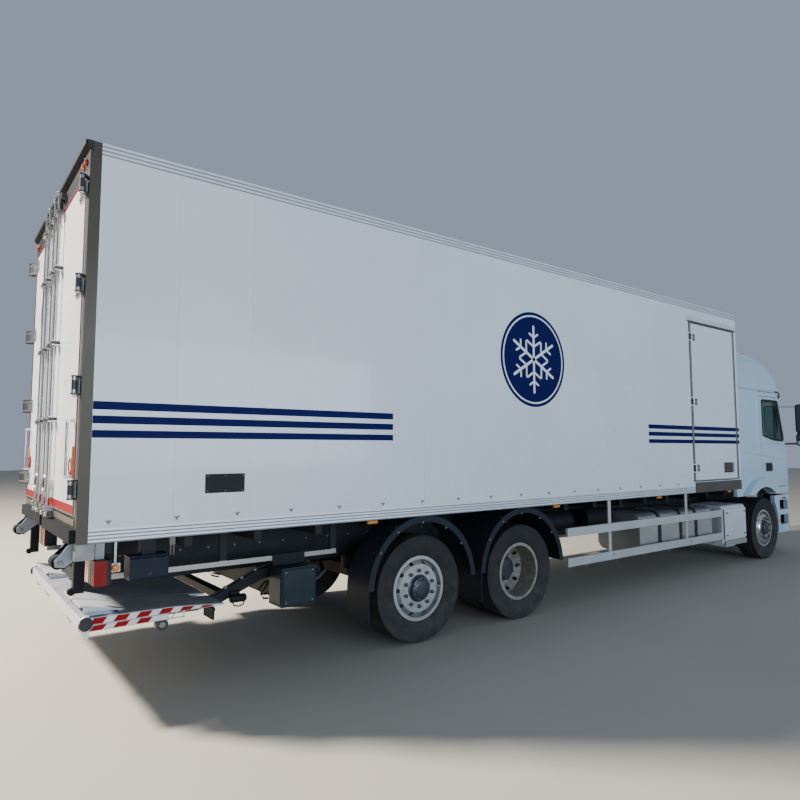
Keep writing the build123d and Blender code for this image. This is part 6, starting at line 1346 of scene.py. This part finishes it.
def touch(names, start, way):
    """Where a ray first meets some CAD pieces."""
    met = []
    for name in names:
        found, place, facing, face = node[name].ray_cast(Vector(start), Vector(way))
        if found:
            met.append(((place - Vector(start)).length, place))
    return min(met, key=lambda hit: hit[0])[1] if met else None


def rounded(outline, radius, steps=5):
    """An outline of points in two directions with each corner rounded off."""
    points = []
    for index, corner in enumerate(outline):
        corner = Vector(corner)
        before = Vector(outline[index - 1]) - corner
        after = Vector(outline[(index + 1) % len(outline)]) - corner
        start = corner + before.normalized() * min(radius, before.length / 2.1)
        end = corner + after.normalized() * min(radius, after.length / 2.1)
        for step in range(steps + 1):
            share = step / steps
            points.append(start * (1 - share) ** 2 + corner * 2 * share * (1 - share) + end * share ** 2)
    return points


def dropped(flat, axis, reach, names):
    """Where a flat point meets CAD pieces that are seen along an axis, from `reach` on it."""
    return touch(names, put(flat, axis, reach), put((0, 0), axis, inward(reach)))


def inward(reach):
    """The way back along an axis from `reach` on it."""
    return -1.0 if reach > 0 else 1.0


def evened(outline, longest):
    """Points along an outline with no run longer than a length, without its last point."""
    points = []
    for first, second in zip(outline, outline[1:]):
        count = max(1, math.ceil((Vector(second) - Vector(first)).length / longest))
        points += [Vector(first).lerp(Vector(second), step / count) for step in range(count)]
    return points


PROBE_NEAR = 0.016
PROBE_GAP = 0.03


def laid_frame(outline, axis, names, reach, section):
    """A hoop that lies on a panel along an outline. The outline is seen along an axis, from `reach` on it.

    The section's points are pairs: how far outside the outline, and how far above the panel."""
    points = evened(outline + outline[:1], 0.06)
    area = sum(points[i - 1].x * points[i].y - points[i].x * points[i - 1].y for i in range(len(points)))
    turn = 1.0 if area > 0 else -1.0

    def onto(flat):
        met = dropped(flat, axis, reach, names)
        return None if met is None else met["XYZ".index(axis)]

    rings = []
    for index, point in enumerate(points):
        along = (points[(index + 1) % len(points)] - points[index - 1]).normalized()
        aside = Vector((along.y, -along.x)) * turn
        near, far = (onto(point + aside * out) for out in (PROBE_NEAR, PROBE_NEAR + PROBE_GAP))
        if near is None:
            continue
        slope = 0.0 if far is None else (far - near) / PROBE_GAP
        rings.append([put(point + aside * out, axis,
                          near + slope * (out - PROBE_NEAR) - inward(reach) * high)
                      for out, high in section])
    return looped(rings)


def laid_line(points, axis, names, reach, radius, sunk=0.35, sides=8):
    """A thin bead along points that lies on a panel seen along an axis."""
    way = put((0, 0), axis, inward(reach))
    met = [dropped(flat, axis, reach, names) for flat in evened(points, 0.05) + [Vector(points[-1])]]
    placed = [place - way * radius * (1 - 2 * sunk) for place in met if place is not None]
    return pipe(placed, radius, sides)


SHELL = ["cab_shell", "cab_roof"]
SIDE_REACH, FRONT_REACH, TOP_REACH = 1.5, 6.4, 3.9
RUBBER_SECTION = ((0.026, -0.002), (0.024, 0.006), (0.008, 0.009), (-0.006, 0.004), (-0.016, -0.0125),
                  (-0.014, -0.016), (0.002, -0.012))
screen_outline = rounded([(-1.03, 1.965), (1.03, 1.965), (1.03, 2.715), (-1.03, 2.715)], 0.05)
built("windscreen_rubber", [laid_frame(screen_outline, "X", ["cab_shell"], FRONT_REACH, RUBBER_SECTION)],
      "cab", seal_black)
DOOR_GLASS = [(4.847, 2.08), (4.847, 2.68), (5.462, 2.68), (5.647, 2.06), (5.647, 1.99), (5.247, 2.01)]
for word, side in SIDES:
    panel, reach, body = [f"cab_door_{word}"], side * SIDE_REACH, f"cab_door_{word}"
    rubber_frame = [laid_frame(rounded(DOOR_GLASS, 0.035), "Y", panel, reach, RUBBER_SECTION)]
    rubber_frame.append(block((5.322, 5.34), pair(side, 1.13, 1.143), (2.012, 2.672)))
    built(f"door_glass_rubber_{word}", rubber_frame, body, seal_black)
    creases = [laid_line([(4.77, 1.729), (5.69, 1.651)], "Y", panel, reach, 0.009, 0.62),
               laid_line([(4.77, 1.42), (4.9, 1.42)], "Y", panel, reach, 0.004, 0.55)]
    built(f"door_crease_{word}", creases, body, door_paint)
    plate = [block((4.908, 5.116), pair(side, 1.168, 1.1745), (1.472, 1.58)),
             prism([(4.925, 1.5), (5.08, 1.5), (5.096, 1.552), (4.925, 1.552)], "Y", side * 1.172,
                   side * 1.179)]
    built(f"door_grip_{word}", plate, body, moulded, 0.004)
    lock = [lathe([(0.0, 0.0), (0.0, side * 0.003), (0.01, side * 0.003), (0.012, 0.0)],
                  (5.135, side * CAB_SIDE, 1.54), 20)]
    built(f"door_lock_{word}", lock, body, bright_ring)
    folds = [laid_line([(4.11, 1.781), (4.74, 1.731)], "Y", SHELL, reach, 0.009, 0.62),
             laid_line([(5.725, 1.65), (5.83, 1.64)], "Y", SHELL, reach, 0.009, 0.62)]
    panel_edge = [(3.905, 1.85), (4.64, 1.85), (4.64, 2.78), (3.905, 2.78)]
    folds.append(laid_frame(rounded(panel_edge, 0.09), "Y", SHELL, reach,
                            ((-0.006, -0.002), (-0.003, 0.0022), (0.003, 0.0022), (0.006, -0.002))))
    built(f"cab_folds_{word}", folds, "cab", cab_paint)
    seams = [laid_line([(3.815, 1.375), (4.06, 1.375)], "Y", SHELL, reach, 0.004, 0.75),
             laid_line([(4.7, 2.835), (5.5, 2.835)], "Y", SHELL, reach, 0.005, 0.75)]
    built(f"cab_seams_{word}", seams, "cab", seam_black)
cap_strip = []
for side in (1, -1):
    cap_strip.append(prism([(3.815, 2.846), (5.33, 2.846), (5.33, 2.872), (3.815, 2.872)], "Y",
                           side * 1.1405, side * 1.1535))
built("cap_joint_strip", cap_strip, "cab", moulding, 0.004)
DRIP_ROUTE = ((5.4, 1.148, 2.862), (5.56, 1.15, 2.845), (5.64, 1.128, 2.8), (5.7, 1.085, 2.76))
gutter_bars = [pipe(sided(side, DRIP_ROUTE), 0.011, 12) for side in (1, -1)]
built("drip_bars", gutter_bars, "cab", seam_black)
flap_corners = {"a": (-0.98, 1.9), "b": (0.98, 1.9), "c": (-0.98, 1.6), "d": (0.98, 1.6)}
lines = [laid_line([flap_corners[one], flap_corners[two]], "X", ["cab_shell"], FRONT_REACH, 0.005, 0.75)
         for one, two in ("ab", "ca", "db", "cd")]
built("front_flap_seams", lines, "cab", seam_black)
HOLD_ROUTE = ((5.955, 0.62, 1.74), (5.985, 0.62, 1.745), (5.99, 0.5, 1.745), (5.99, 0.4, 1.745),
              (5.975, 0.3, 1.745), (5.95, 0.3, 1.74))
handholds = [pipe(sided(side, HOLD_ROUTE), 0.011, 12) for side in (1, -1)]
built("front_handholds", handholds, "cab", moulded)

# Glass: laminated green-tinted windscreen and door panes, thin enough to show the cabin, and clear
# covers on the headlamps. A faint wave and some smear run through both.
WAVE_SCALE = 3.0


def tinted_glass(name, colour, roughness, wave):
    """Clear glass of a tint, a little uneven and smeared."""
    made = bpy.data.materials.new(name)
    made.use_nodes = True
    tree = made.node_tree
    shader = tree.nodes["Principled BSDF"]
    film = wire(tree, "ShaderNodeGroup", {}, node_tree=SURFACE_GRAIN)
    film.inputs["Scale"].default_value = WAVE_SCALE
    film.inputs["Depth"].default_value = wave
    smear = wire(tree, "ShaderNodeMapRange", {0: film.outputs["Value"], 1: 0.3, 2: 0.8, 3: roughness,
                                              4: roughness * 2.5})
    tree.links.new(smear.outputs[0], shader.inputs["Roughness"])
    tree.links.new(film.outputs["Normal"], shader.inputs["Normal"])
    shader.inputs["Base Color"].default_value = (*colour, 1.0)
    shader.inputs["Transmission Weight"].default_value = 1.0
    shader.inputs["IOR"].default_value = 1.45
    return made


cab_glass = tinted_glass("cab glass", (0.3, 0.4, 0.36), 0.012, 0.0002)
lamp_glass = tinted_glass("lamp glass", (0.93, 0.95, 0.97), 0.03, 0.0004)
dress(cab_glass, "windscreen", "door_glass_left", "door_glass_right")
dress(lamp_glass, "headlamps")

# Wipers: three pressed arms with rubber blades, parked along the foot of the windscreen. Their spots
# are found by rays, so that they follow the curve of the glass.
WIPER_FOOT, WIPER_HIGH, WIPER_LONG = 1.935, 2.04, 0.3
BLADE_HALF, BLADE_RISE = 0.27, 0.03
arms, blades, caps = [], [], []
for y in (-0.62, -0.02, 0.58):
    foot = touch(["cab_shell"], (FRONT_REACH, y, WIPER_FOOT), (-1, 0, 0))
    tip = touch(["windscreen"], (FRONT_REACH, y + WIPER_LONG, WIPER_HIGH), (-1, 0, 0))
    caps.append(rod(foot - Vector((0.01, 0, 0)), foot + Vector((0.026, 0, 0)), 0.02, 20, 0.016))
    arms.append(pipe([foot + Vector((0.02, 0, 0)), foot + Vector((0.026, 0.1, 0.03)),
                      tip + Vector((0.022, -0.02, 0.0)), tip + Vector((0.016, 0.0, 0.0))], 0.007, 8))
    route = []
    for step in range(9):
        share = -1 + 2 * step / 8
        start = (FRONT_REACH, y + WIPER_LONG + share * BLADE_HALF, WIPER_HIGH + share * BLADE_RISE)
        spot = touch(["windscreen"], start, (-1, 0, 0))
        if spot is not None:
            route.append(spot + Vector((0.008, 0, 0)))
    blades.append(pipe(route, 0.006, 8))
built("wiper_arms", arms + caps, "cab", moulded)
built("wiper_blades", blades, "cab", seal_black)

# Grille: moulded slats over a mesh of crossed wires, and the air intakes of the bumper with the same
# mesh behind their openings.
grille_plastic = surface("grille plastic", (0.05, 0.053, 0.058), 0.5, dust=0.25, dust_top=1.8, depth=0.0003)
dress(grille_plastic, "grille")
WEAVE_PITCH, WEAVE_WIRE = 0.02, 0.0022


def weave(x, y_span, z_span):
    """Crossed wires between two spans of Y and Z."""
    wires = []
    for index in range(int((y_span[1] - y_span[0]) / WEAVE_PITCH) + 1):
        y = y_span[0] + index * WEAVE_PITCH
        wires.append(rod((x, y, z_span[0]), (x, y, z_span[1]), WEAVE_WIRE, 6))
    for index in range(int((z_span[1] - z_span[0]) / WEAVE_PITCH) + 1):
        z = z_span[0] + index * WEAVE_PITCH
        wires.append(rod((x - WEAVE_WIRE, y_span[0], z), (x - WEAVE_WIRE, y_span[1], z), WEAVE_WIRE, 6))
    return wires


built("grille_mesh", weave(5.905, (-0.72, 0.72), (1.135, 1.545)), "cab", seam_black)
intakes = weave(5.915, (-0.55, 0.55), (0.455, 0.555)) + weave(5.915, (-0.55, 0.55), (0.905, 0.975))
built("intake_mesh", intakes, "chassis", seam_black)

# Bumper: painted in the cab's colour round black steps and slots, with deep headlamp bowls behind
# glass, small amber side lamps, and black flaps behind the front wheels.
bumper_black = (0.02, 0.022, 0.026)
slots_zone = [(((5.5, 5.66), (low, high), (z, z + 0.03)), bumper_black, 0.5, 0.0)
              for z in (0.9, 0.95) for low, high in ((1.14, 1.16), (-1.16, -1.14))]
underside = (((5.15, 5.88), (-1.0795, 1.0795), (0.36, 1.02)), bumper_black, 0.6, 0.0)
bumper_paint = surface("bumper paint", cab_colour, 0.2, dust=0.3, dust_top=1.1, coat=0.6, depth=0.00004,
                       zones=[underside] + slots_zone, **CAB_DUST)
dress(bumper_paint, "front_bumper")
treads, lips = [], []
for side in (1, -1):
    for z in (0.505, 0.765):
        for index in range(9):
            y = side * (0.905 + index * 0.019)
            treads.append(block((5.375, 5.73), about(y, 0.003), (z - 0.001, z + 0.003)))
        lips.append(block((5.378, 5.726), pair(side, 1.079, 1.152), about(z, 0.004)))
wells = [block((5.366, 5.744), pair(side, 0.876, 0.889), (0.385, 0.978)) for side in (1, -1)]
wells += [block((x, x + 0.01), pair(side, 0.88, 1.118), (0.5, 0.94)) for x in (5.36, 5.738)
          for side in (1, -1)]
built("step_wells", wells, "chassis", moulded, 0.002)
flaps = [block((4.004, 4.012), pair(side, 0.8, 1.215), (0.235, 0.955)) for side in (1, -1)]
built("front_flaps", flaps, "chassis", moulded, 0.003)
built("step_ribs", treads, "chassis", step_grey)
built("step_edges", lips, "chassis", step_grey, 0.002)
bumper_line = [laid_line([(5.26, 0.7), (5.36, 0.7)], "Y", ["front_bumper"], side * SIDE_REACH, 0.004, 0.75)
               for side in (1, -1)]
bumper_line += [laid_line([(side * 0.32, 0.62), (side * 0.66, 0.62)], "X", ["front_bumper"], FRONT_REACH,
                          0.004, 0.75) for side in (1, -1)]
built("bumper_seams", bumper_line, "chassis", seam_black)
bowls, bulbs = [], []
LAMP_BOWLS = ((5.905, 0.79, 0.072), (5.845, 0.955, 0.066))
for side in (1, -1):
    for front, y, radius in LAMP_BOWLS:
        bowl = [(0.004, -0.05), (radius * 0.55, -0.04), (radius * 0.85, -0.018), (radius, 0.0),
                (radius + 0.003, 0.0), (radius * 0.88, -0.021), (radius * 0.58, -0.043), (0.004, -0.054)]
        bowls.append(lathe(bowl, (front, side * y, 0.75), 40, "X"))
        bulbs.append(lathe([(0.0, -0.048), (0.012, -0.046), (0.014, -0.02), (0.009, -0.012), (0.0, -0.01)],
                           (front, side * y, 0.75), 20, "X"))
bright_bowl = surface("bright bowl", (0.86, 0.87, 0.88), 0.08, metallic=1.0, depth=0.00002, spread=0.03)
built("headlamp_bowls", bowls, "chassis", bright_bowl)
built("headlamp_bulbs", bulbs, "chassis", surface("bulb", (0.85, 0.82, 0.7), 0.25))
backs = [prism([(5.792, side * 0.71), (5.9, side * 0.71), (5.88, side * 0.76), (5.8, side * 1.05),
                (5.79, side * 1.05)], "Z", 0.652, 0.657) for side in (1, -1)]
built("headlamp_trays", backs, "chassis", moulded)
amber = surface("amber lens", (0.85, 0.26, 0.02), 0.15, coat=0.6, grain=60.0, depth=0.0006)
corner_lamps = []
for side in (1, -1):
    corner_lamps.append(laid_frame(rounded([(5.28, 0.56), (5.35, 0.56), (5.35, 0.6), (5.28, 0.6)], 0.012),
                                   "Y", ["front_bumper"], side * SIDE_REACH,
                                   ((0.0, -0.002), (0.0, 0.006), (-0.019, 0.008), (-0.019, -0.002))))
built("side_turn_lamps", corner_lamps, "chassis", amber)

# Mirrors: two black moulded heads on a tube at each side, with silvered glass set in their rear faces.
# Cuffs hold the tube, and a dark rim runs round each pane.
mirror_black = surface("mirror shell", (0.014, 0.017, 0.019), 0.3, dust=0.1, dust_top=3.0, coat=0.3)
dress(mirror_black, "mirrors")
silvered = surface("silvered glass", (0.42, 0.52, 0.55), 0.03, metallic=1.0, mottle=0.02, depth=0.00001,
                   spread=0.015)
for word, side in SIDES:
    panes, rims = [], []
    for low, high in ((2.13, 2.64), (1.89, 2.11)):
        pane = rounded([(side * 1.327, low + 0.022), (side * 1.478, low + 0.022),
                        (side * 1.478, high - 0.022), (side * 1.327, high - 0.022)], 0.035)
        panes.append(prism(pane, "X", 5.8145, 5.8185))
        rim = rounded([(side * 1.318, low + 0.013), (side * 1.487, low + 0.013),
                       (side * 1.487, high - 0.013), (side * 1.318, high - 0.013)], 0.042)
        rims.append(prism(rim, "X", 5.816, 5.82))
    built(f"mirror_panes_{word}", panes, "cab", silvered)
    built(f"mirror_rims_{word}", rims, "cab", seal_black)
    cuffs = [lathe([(0.0145, -0.03), (0.022, -0.026), (0.024, 0.026), (0.0145, 0.03)],
                   (5.867, side * 1.335, z), 20, "Z") for z in (1.93, 2.12, 2.6)]
    built(f"mirror_cuffs_{word}", cuffs, "cab", moulded)

# Sun visor of smoked acrylic on three brackets, and four plain domes with short bars on the roof cap,
# each where a ray from above meets it.
dress(surface("smoked visor", (0.012, 0.014, 0.018), 0.12, coat=0.5, depth=0.00003), "sun_visor")
brackets = []
for y in (-0.8, 0.0, 0.8):
    brackets.append(prism([(5.72, 2.89), (5.8, 2.855), (5.8, 2.87), (5.72, 2.905)], "Y", *about(y, 0.02)))
built("visor_brackets", brackets, "cab", seam_black, 0.002)
domes = []
for x in (4.94, 5.32):
    for side in (1, -1):
        seat = touch(["cab_roof"], (x, side * 0.8, TOP_REACH), (0, 0, -1))
        domes.append(lathe([(0.0, -0.02), (0.038, -0.02), (0.04, 0.012), (0.03, 0.02), (0.028, 0.046),
                            (0.018, 0.062), (0.0, 0.066)], seat, 28, "Z"))
        domes.append(rod(seat + Vector((-0.045, 0, 0.024)), seat + Vector((0.045, 0, 0.02)), 0.012, 14))
built("roof_domes", domes, "cab", moulded)

# Cabin: a moulded dashboard with a hood over blank round dials, a wheel with three spokes, pedals on
# the floor, a gear lever and blank switches.
dash_plastic = surface("dash plastic", (0.045, 0.047, 0.05), 0.62, mottle=0.05, mottle_size=0.3,
                       grain=420.0, depth=0.0003)
dress(dash_plastic, "cab_interior")
DRIVER_Y = 0.56
hood = [prism([(5.35, 1.905), (5.4, 1.965), (5.6, 1.97), (5.65, 1.905)], "Y", DRIVER_Y - 0.26,
              DRIVER_Y + 0.26),
        prism([(5.347, 1.56), (5.33, 1.6), (5.33, 1.82), (5.347, 1.835)], "Y", -0.3, 0.22)]
built("dash_hood", hood, "cab", dash_plastic, 0.012)
dial_face = surface("dial face", (0.01, 0.01, 0.012), 0.35)
rings, faces = [], []
for y in (DRIVER_Y - 0.13, DRIVER_Y, DRIVER_Y + 0.13):
    centre = (5.349, y, 1.795)
    rings.append(lathe([(0.046, 0.002), (0.046, -0.006), (0.052, -0.006), (0.054, 0.002)], centre, 32, "X"))
    faces.append(lathe([(0.0, 0.001), (0.0, -0.002), (0.046, -0.002), (0.046, 0.001)], centre, 32, "X"))
built("dial_rings", rings, "cab", bright_ring)
built("dial_faces", faces, "cab", dial_face)
keys = [block((5.322, 5.333), (-0.26 + index * 0.05, -0.225 + index * 0.05), (z, z + 0.024))
        for index in range(9) for z in (1.63, 1.67)]
keys += [block((5.322, 5.333), (-0.24, 0.16), (1.72, 1.8))]
built("dash_switches", keys, "cab", dial_face, 0.002)
pedals = []
for y in (DRIVER_Y - 0.14, DRIVER_Y, DRIVER_Y + 0.13):
    pedals.append(prism([(5.36, 1.33), (5.38, 1.325), (5.44, 1.44), (5.425, 1.448)], "Y", y - 0.035,
                        y + 0.035))
    pedals.append(rod((5.42, y, 1.43), (5.5, y, 1.56), 0.009, 10))
built("pedals", pedals, "cab", hub_black, 0.003)
lever = [rod((5.08, 0.22, 1.555), (5.05, 0.22, 1.8), 0.01, 12),
         lathe([(0.0, -0.03), (0.022, -0.022), (0.028, 0.006), (0.02, 0.03), (0.0, 0.038)],
               (5.048, 0.22, 1.815), 24, "Z")]
lever.append(lathe([(0.0, 0.0), (0.075, 0.0), (0.06, 0.02), (0.03, 0.06), (0.014, 0.1), (0.0, 0.1)],
                   (5.078, 0.22, 1.56), 24, "Z"))
built("gear_lever", lever, "cab", hub_black)

# Seats and bunk: foam cushions sewn into grey cloth. Each starts as its simple form, is blown up as cloth
# so that its sides pull in between the corners, and then takes its stitched channels.
cloth_weave = bpy.data.materials.new("seat cloth")
cloth_weave.use_nodes = True
weave_tree = cloth_weave.node_tree
weave_shader = weave_tree.nodes["Principled BSDF"]
weave_place = wire(weave_tree, "ShaderNodeTexCoord").outputs["Object"]
THREADS = 190.0
weft = wire(weave_tree, "ShaderNodeTexWave", {"Vector": weave_place, "Scale": THREADS}, bands_direction="Y")
warp = wire(weave_tree, "ShaderNodeTexWave", {"Vector": weave_place, "Scale": THREADS}, bands_direction="X")
threads = reckon(weave_tree, "MULTIPLY", weft.outputs["Fac"], warp.outputs["Fac"])
flecks = wire(weave_tree, "ShaderNodeTexNoise", {"Vector": weave_place, "Scale": 60.0, "Detail": 3.0})
fleck_ramp = wire(weave_tree, "ShaderNodeMix", {0: flecks.outputs["Fac"], 6: (0.05, 0.058, 0.075, 1.0),
                                                7: (0.145, 0.155, 0.17, 1.0)}, data_type="RGBA")
weave_tree.links.new(fleck_ramp.outputs[2], weave_shader.inputs["Base Color"])
weave_bump = wire(weave_tree, "ShaderNodeBump", {"Strength": 0.8, "Distance": 0.0006, "Height": threads})
weave_tree.links.new(weave_bump.outputs[0], weave_shader.inputs["Normal"])
weave_shader.inputs["Roughness"].default_value = 0.92
weave_shader.inputs["Sheen Weight"].default_value = 0.3


def foam(name, low, high, cells, slope=0.0):
    """A closed box of small square faces; slope leans it back with height."""
    form = bmesh.new()
    bmesh.ops.create_cube(form, size=1.0)
    counts = [max(2, round((high[axis] - low[axis]) / cells)) for axis in range(3)]
    for axis in range(3):
        for step in range(1, counts[axis]):
            place = Vector((0, 0, 0))
            place[axis] = -0.5 + step / counts[axis]
            facing = Vector((0, 0, 0))
            facing[axis] = 1.0
            bmesh.ops.bisect_plane(form, geom=form.verts[:] + form.edges[:] + form.faces[:], plane_co=place,
                                   plane_no=facing)
    for vertex in form.verts:
        place = [low[axis] + (vertex.co[axis] + 0.5) * (high[axis] - low[axis]) for axis in range(3)]
        place[0] -= slope * (place[2] - low[2])
        vertex.co = place
    mesh = bpy.data.meshes.new(name)
    form.to_mesh(mesh)
    form.free()
    return mesh


CLOTH = {"quality": 6, "mass": 0.4, "tension_stiffness": 60.0, "compression_stiffness": 60.0,
         "shear_stiffness": 20.0, "bending_stiffness": 2.0, "air_damping": 6.0, "use_pressure": True}
CLOTH_FRAMES = 20


def blown(name, mesh, pressure, most):
    """The mesh after a short cloth simulation under pressure, no point further out than a length."""
    start = [vertex.co.copy() for vertex in mesh.vertices]
    holder = bpy.data.objects.new(name + " cloth", mesh)
    bpy.context.scene.collection.objects.link(holder)
    cloth = holder.modifiers.new("cloth", "CLOTH")
    for setting, value in CLOTH.items():
        setattr(cloth.settings, setting, value)
    cloth.settings.uniform_pressure_force = pressure
    cloth.settings.effector_weights.gravity = 0.0
    cloth.collision_settings.use_collision = False
    for moment in range(1, CLOTH_FRAMES + 1):
        bpy.context.scene.frame_set(moment)
    evaluated = holder.evaluated_get(bpy.context.evaluated_depsgraph_get())
    shape = [vertex.co.copy() for vertex in evaluated.data.vertices]
    holder.modifiers.remove(cloth)
    bpy.context.scene.frame_set(1)
    for vertex, first, last in zip(mesh.vertices, start, shape):
        push = last - first
        vertex.co = first + push * min(1.0, most / max(push.length, 1e-9))
    smooth = holder.modifiers.new("smooth", "SUBSURF")
    smooth.levels = smooth.render_levels = 1
    made = bpy.data.meshes.new_from_object(holder.evaluated_get(bpy.context.evaluated_depsgraph_get()))
    bpy.data.objects.remove(holder)
    return made


def channels(mesh, along, across, low, high, spots, depth, width):
    """Sewn grooves across a cushion's faces at some shares of its length along one axis."""
    mesh.update()
    for vertex in mesh.vertices:
        share = (vertex.co[along] - low) / (high - low)
        for spot in spots:
            away = (share - spot) * (high - low) / width
            vertex.co -= vertex.normal * depth * math.exp(-away * away) * abs(vertex.normal[across])


SEAT_HALF, BUNK_HALF = 0.228, 1.045
CUSHION = ((4.462, -SEAT_HALF, 1.724), (4.952, SEAT_HALF, 1.828))
BACK = ((4.448, -SEAT_HALF, 1.835), (4.528, SEAT_HALF, 2.44))
BACK_LEAN = 0.19
MATTRESS = ((3.877, -BUNK_HALF, 1.724), (4.337, BUNK_HALF, 1.822))
PRESSURE = 4.0
CHANNEL_DEPTH, CHANNEL_WIDTH = 0.008, 0.012
HEADREST = ((4.318, -0.13, 2.462), (4.408, 0.13, 2.64))
forms = {
    "cushion": (foam("cushion", *CUSHION, 0.04), 0.01, (1, 2, -SEAT_HALF, SEAT_HALF, (0.24, 0.76))),
    "backrest": (foam("backrest", *BACK, 0.04, BACK_LEAN), 0.01,
                 (1, 0, -SEAT_HALF, SEAT_HALF, (0.24, 0.76))),
    "headrest": (foam("headrest", *HEADREST, 0.03), 0.008, None),
    "mattress": (foam("mattress", *MATTRESS, 0.06), 0.008,
                 (1, 2, -BUNK_HALF, BUNK_HALF, (0.2, 0.4, 0.6, 0.8))),
}
pieces = []
for form_name, (mesh, most, sewing) in forms.items():
    soft = blown(form_name, mesh, PRESSURE, most)
    if sewing:
        channels(soft, *sewing, CHANNEL_DEPTH, CHANNEL_WIDTH)
    if form_name == "mattress":
        pieces.append(("bunk_mattress", soft, 0.0))
        continue
    for word, side in SIDES:
        pieces.append((f"seat_{form_name}_{word}", soft.copy(), side * DRIVER_Y))
for name, mesh, shift in pieces:
    mesh.transform(Matrix.Translation((0, shift, 0)))
    cushion = finished(name, mesh, "cab", cloth_weave, smooth_angle=60.0)
    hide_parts("cab_seats")
posts, hinges = [], []
for side in (1, -1):
    for y in (-0.06, 0.06):
        posts.append(rod((4.345, side * DRIVER_Y + y, 2.4), (4.36, side * DRIVER_Y + y, 2.49), 0.007, 12))
    for y in (-0.236, 0.23):
        hinges.append(prism([(4.44, 1.735), (4.56, 1.735), (4.545, 1.8), (4.47, 1.905), (4.44, 1.905)], "Y",
                            side * DRIVER_Y + y, side * DRIVER_Y + y + 0.006))
built("headrest_posts", posts, "cab", bright_ring)
built("seat_hinges", hinges, "cab", hub_black, 0.001)

# Stage: a pale floor, an even sky, a key light from the rear left and a soft fill on the shaded side,
# and the camera that took the view.
FLOOR_HALF = 60.0
floor_mesh = bpy.data.meshes.new("studio_floor")
floor_mesh.from_pydata([(-FLOOR_HALF, -FLOOR_HALF, 0), (FLOOR_HALF, -FLOOR_HALF, 0),
                        (FLOOR_HALF, FLOOR_HALF, 0), (-FLOOR_HALF, FLOOR_HALF, 0)], [], [(0, 1, 2, 3)])
studio_floor = bpy.data.objects.new("studio_floor", floor_mesh)
bpy.context.scene.collection.objects.link(studio_floor)
floor_mesh.materials.append(surface("studio floor", (0.4, 0.365, 0.3), 0.85, mottle=0.04, mottle_size=2.5,
                                    grain=40.0, depth=0.001))

scene = bpy.context.scene
world = bpy.data.worlds.new("studio world")
scene.world = world
world.use_nodes = True
SKY_BLUE, SKY_STRENGTH = (0.66, 0.79, 1.0, 1.0), 0.42
sky = world.node_tree.nodes["Background"].inputs
sky["Color"].default_value = SKY_BLUE
sky["Strength"].default_value = SKY_STRENGTH


def soft_light(name, place, target, size, power, colour):
    """A rectangular area lamp that faces a target."""
    lamp = bpy.data.lights.new(name, "AREA")
    lamp.shape = "RECTANGLE"
    lamp.size, lamp.size_y = size
    lamp.energy = power
    lamp.color = colour
    holder = bpy.data.objects.new(name, lamp)
    holder.location = place
    holder.rotation_euler = (Vector(target) - Vector(place)).to_track_quat("-Z", "Y").to_euler()
    scene.collection.objects.link(holder)


soft_light("key_light", (-16.0, 8.0, 15.0), (0, 0, 1.5), (2.2, 2.2), 16000.0, (1.0, 0.95, 0.88))
soft_light("side_fill", (-2.0, -22.0, 3.6), (-1.0, 0, 2.4), (26.0, 5.0), 3000.0, (0.6, 0.77, 1.0))

CAMERA_PLACE = Vector((-6.705, -5.95, 1.835))
YAW, PITCH, ROLL = (math.radians(angle) for angle in (52.793, 4.549, -0.075))
FOCAL_PIXELS = 622.0
IMAGE_PIXELS = 800.0
SENSOR = 36.0
forward = Vector((math.cos(PITCH) * math.cos(YAW), math.cos(PITCH) * math.sin(YAW), math.sin(PITCH)))
level = forward.cross(Vector((0, 0, 1))).normalized()
above = level.cross(forward)
right = level * math.cos(ROLL) + above * math.sin(ROLL)
up = above * math.cos(ROLL) - level * math.sin(ROLL)
camera = bpy.data.cameras.new("camera")
camera.sensor_width = SENSOR
camera.lens = FOCAL_PIXELS / IMAGE_PIXELS * SENSOR
camera.clip_start, camera.clip_end = 0.05, 300.0
camera_object = bpy.data.objects.new("camera", camera)
camera_object.matrix_world = Matrix.Translation(CAMERA_PLACE) @ Matrix((right, up,
                                                                        -forward)).transposed().to_4x4()
scene.collection.objects.link(camera_object)
scene.camera = camera_object
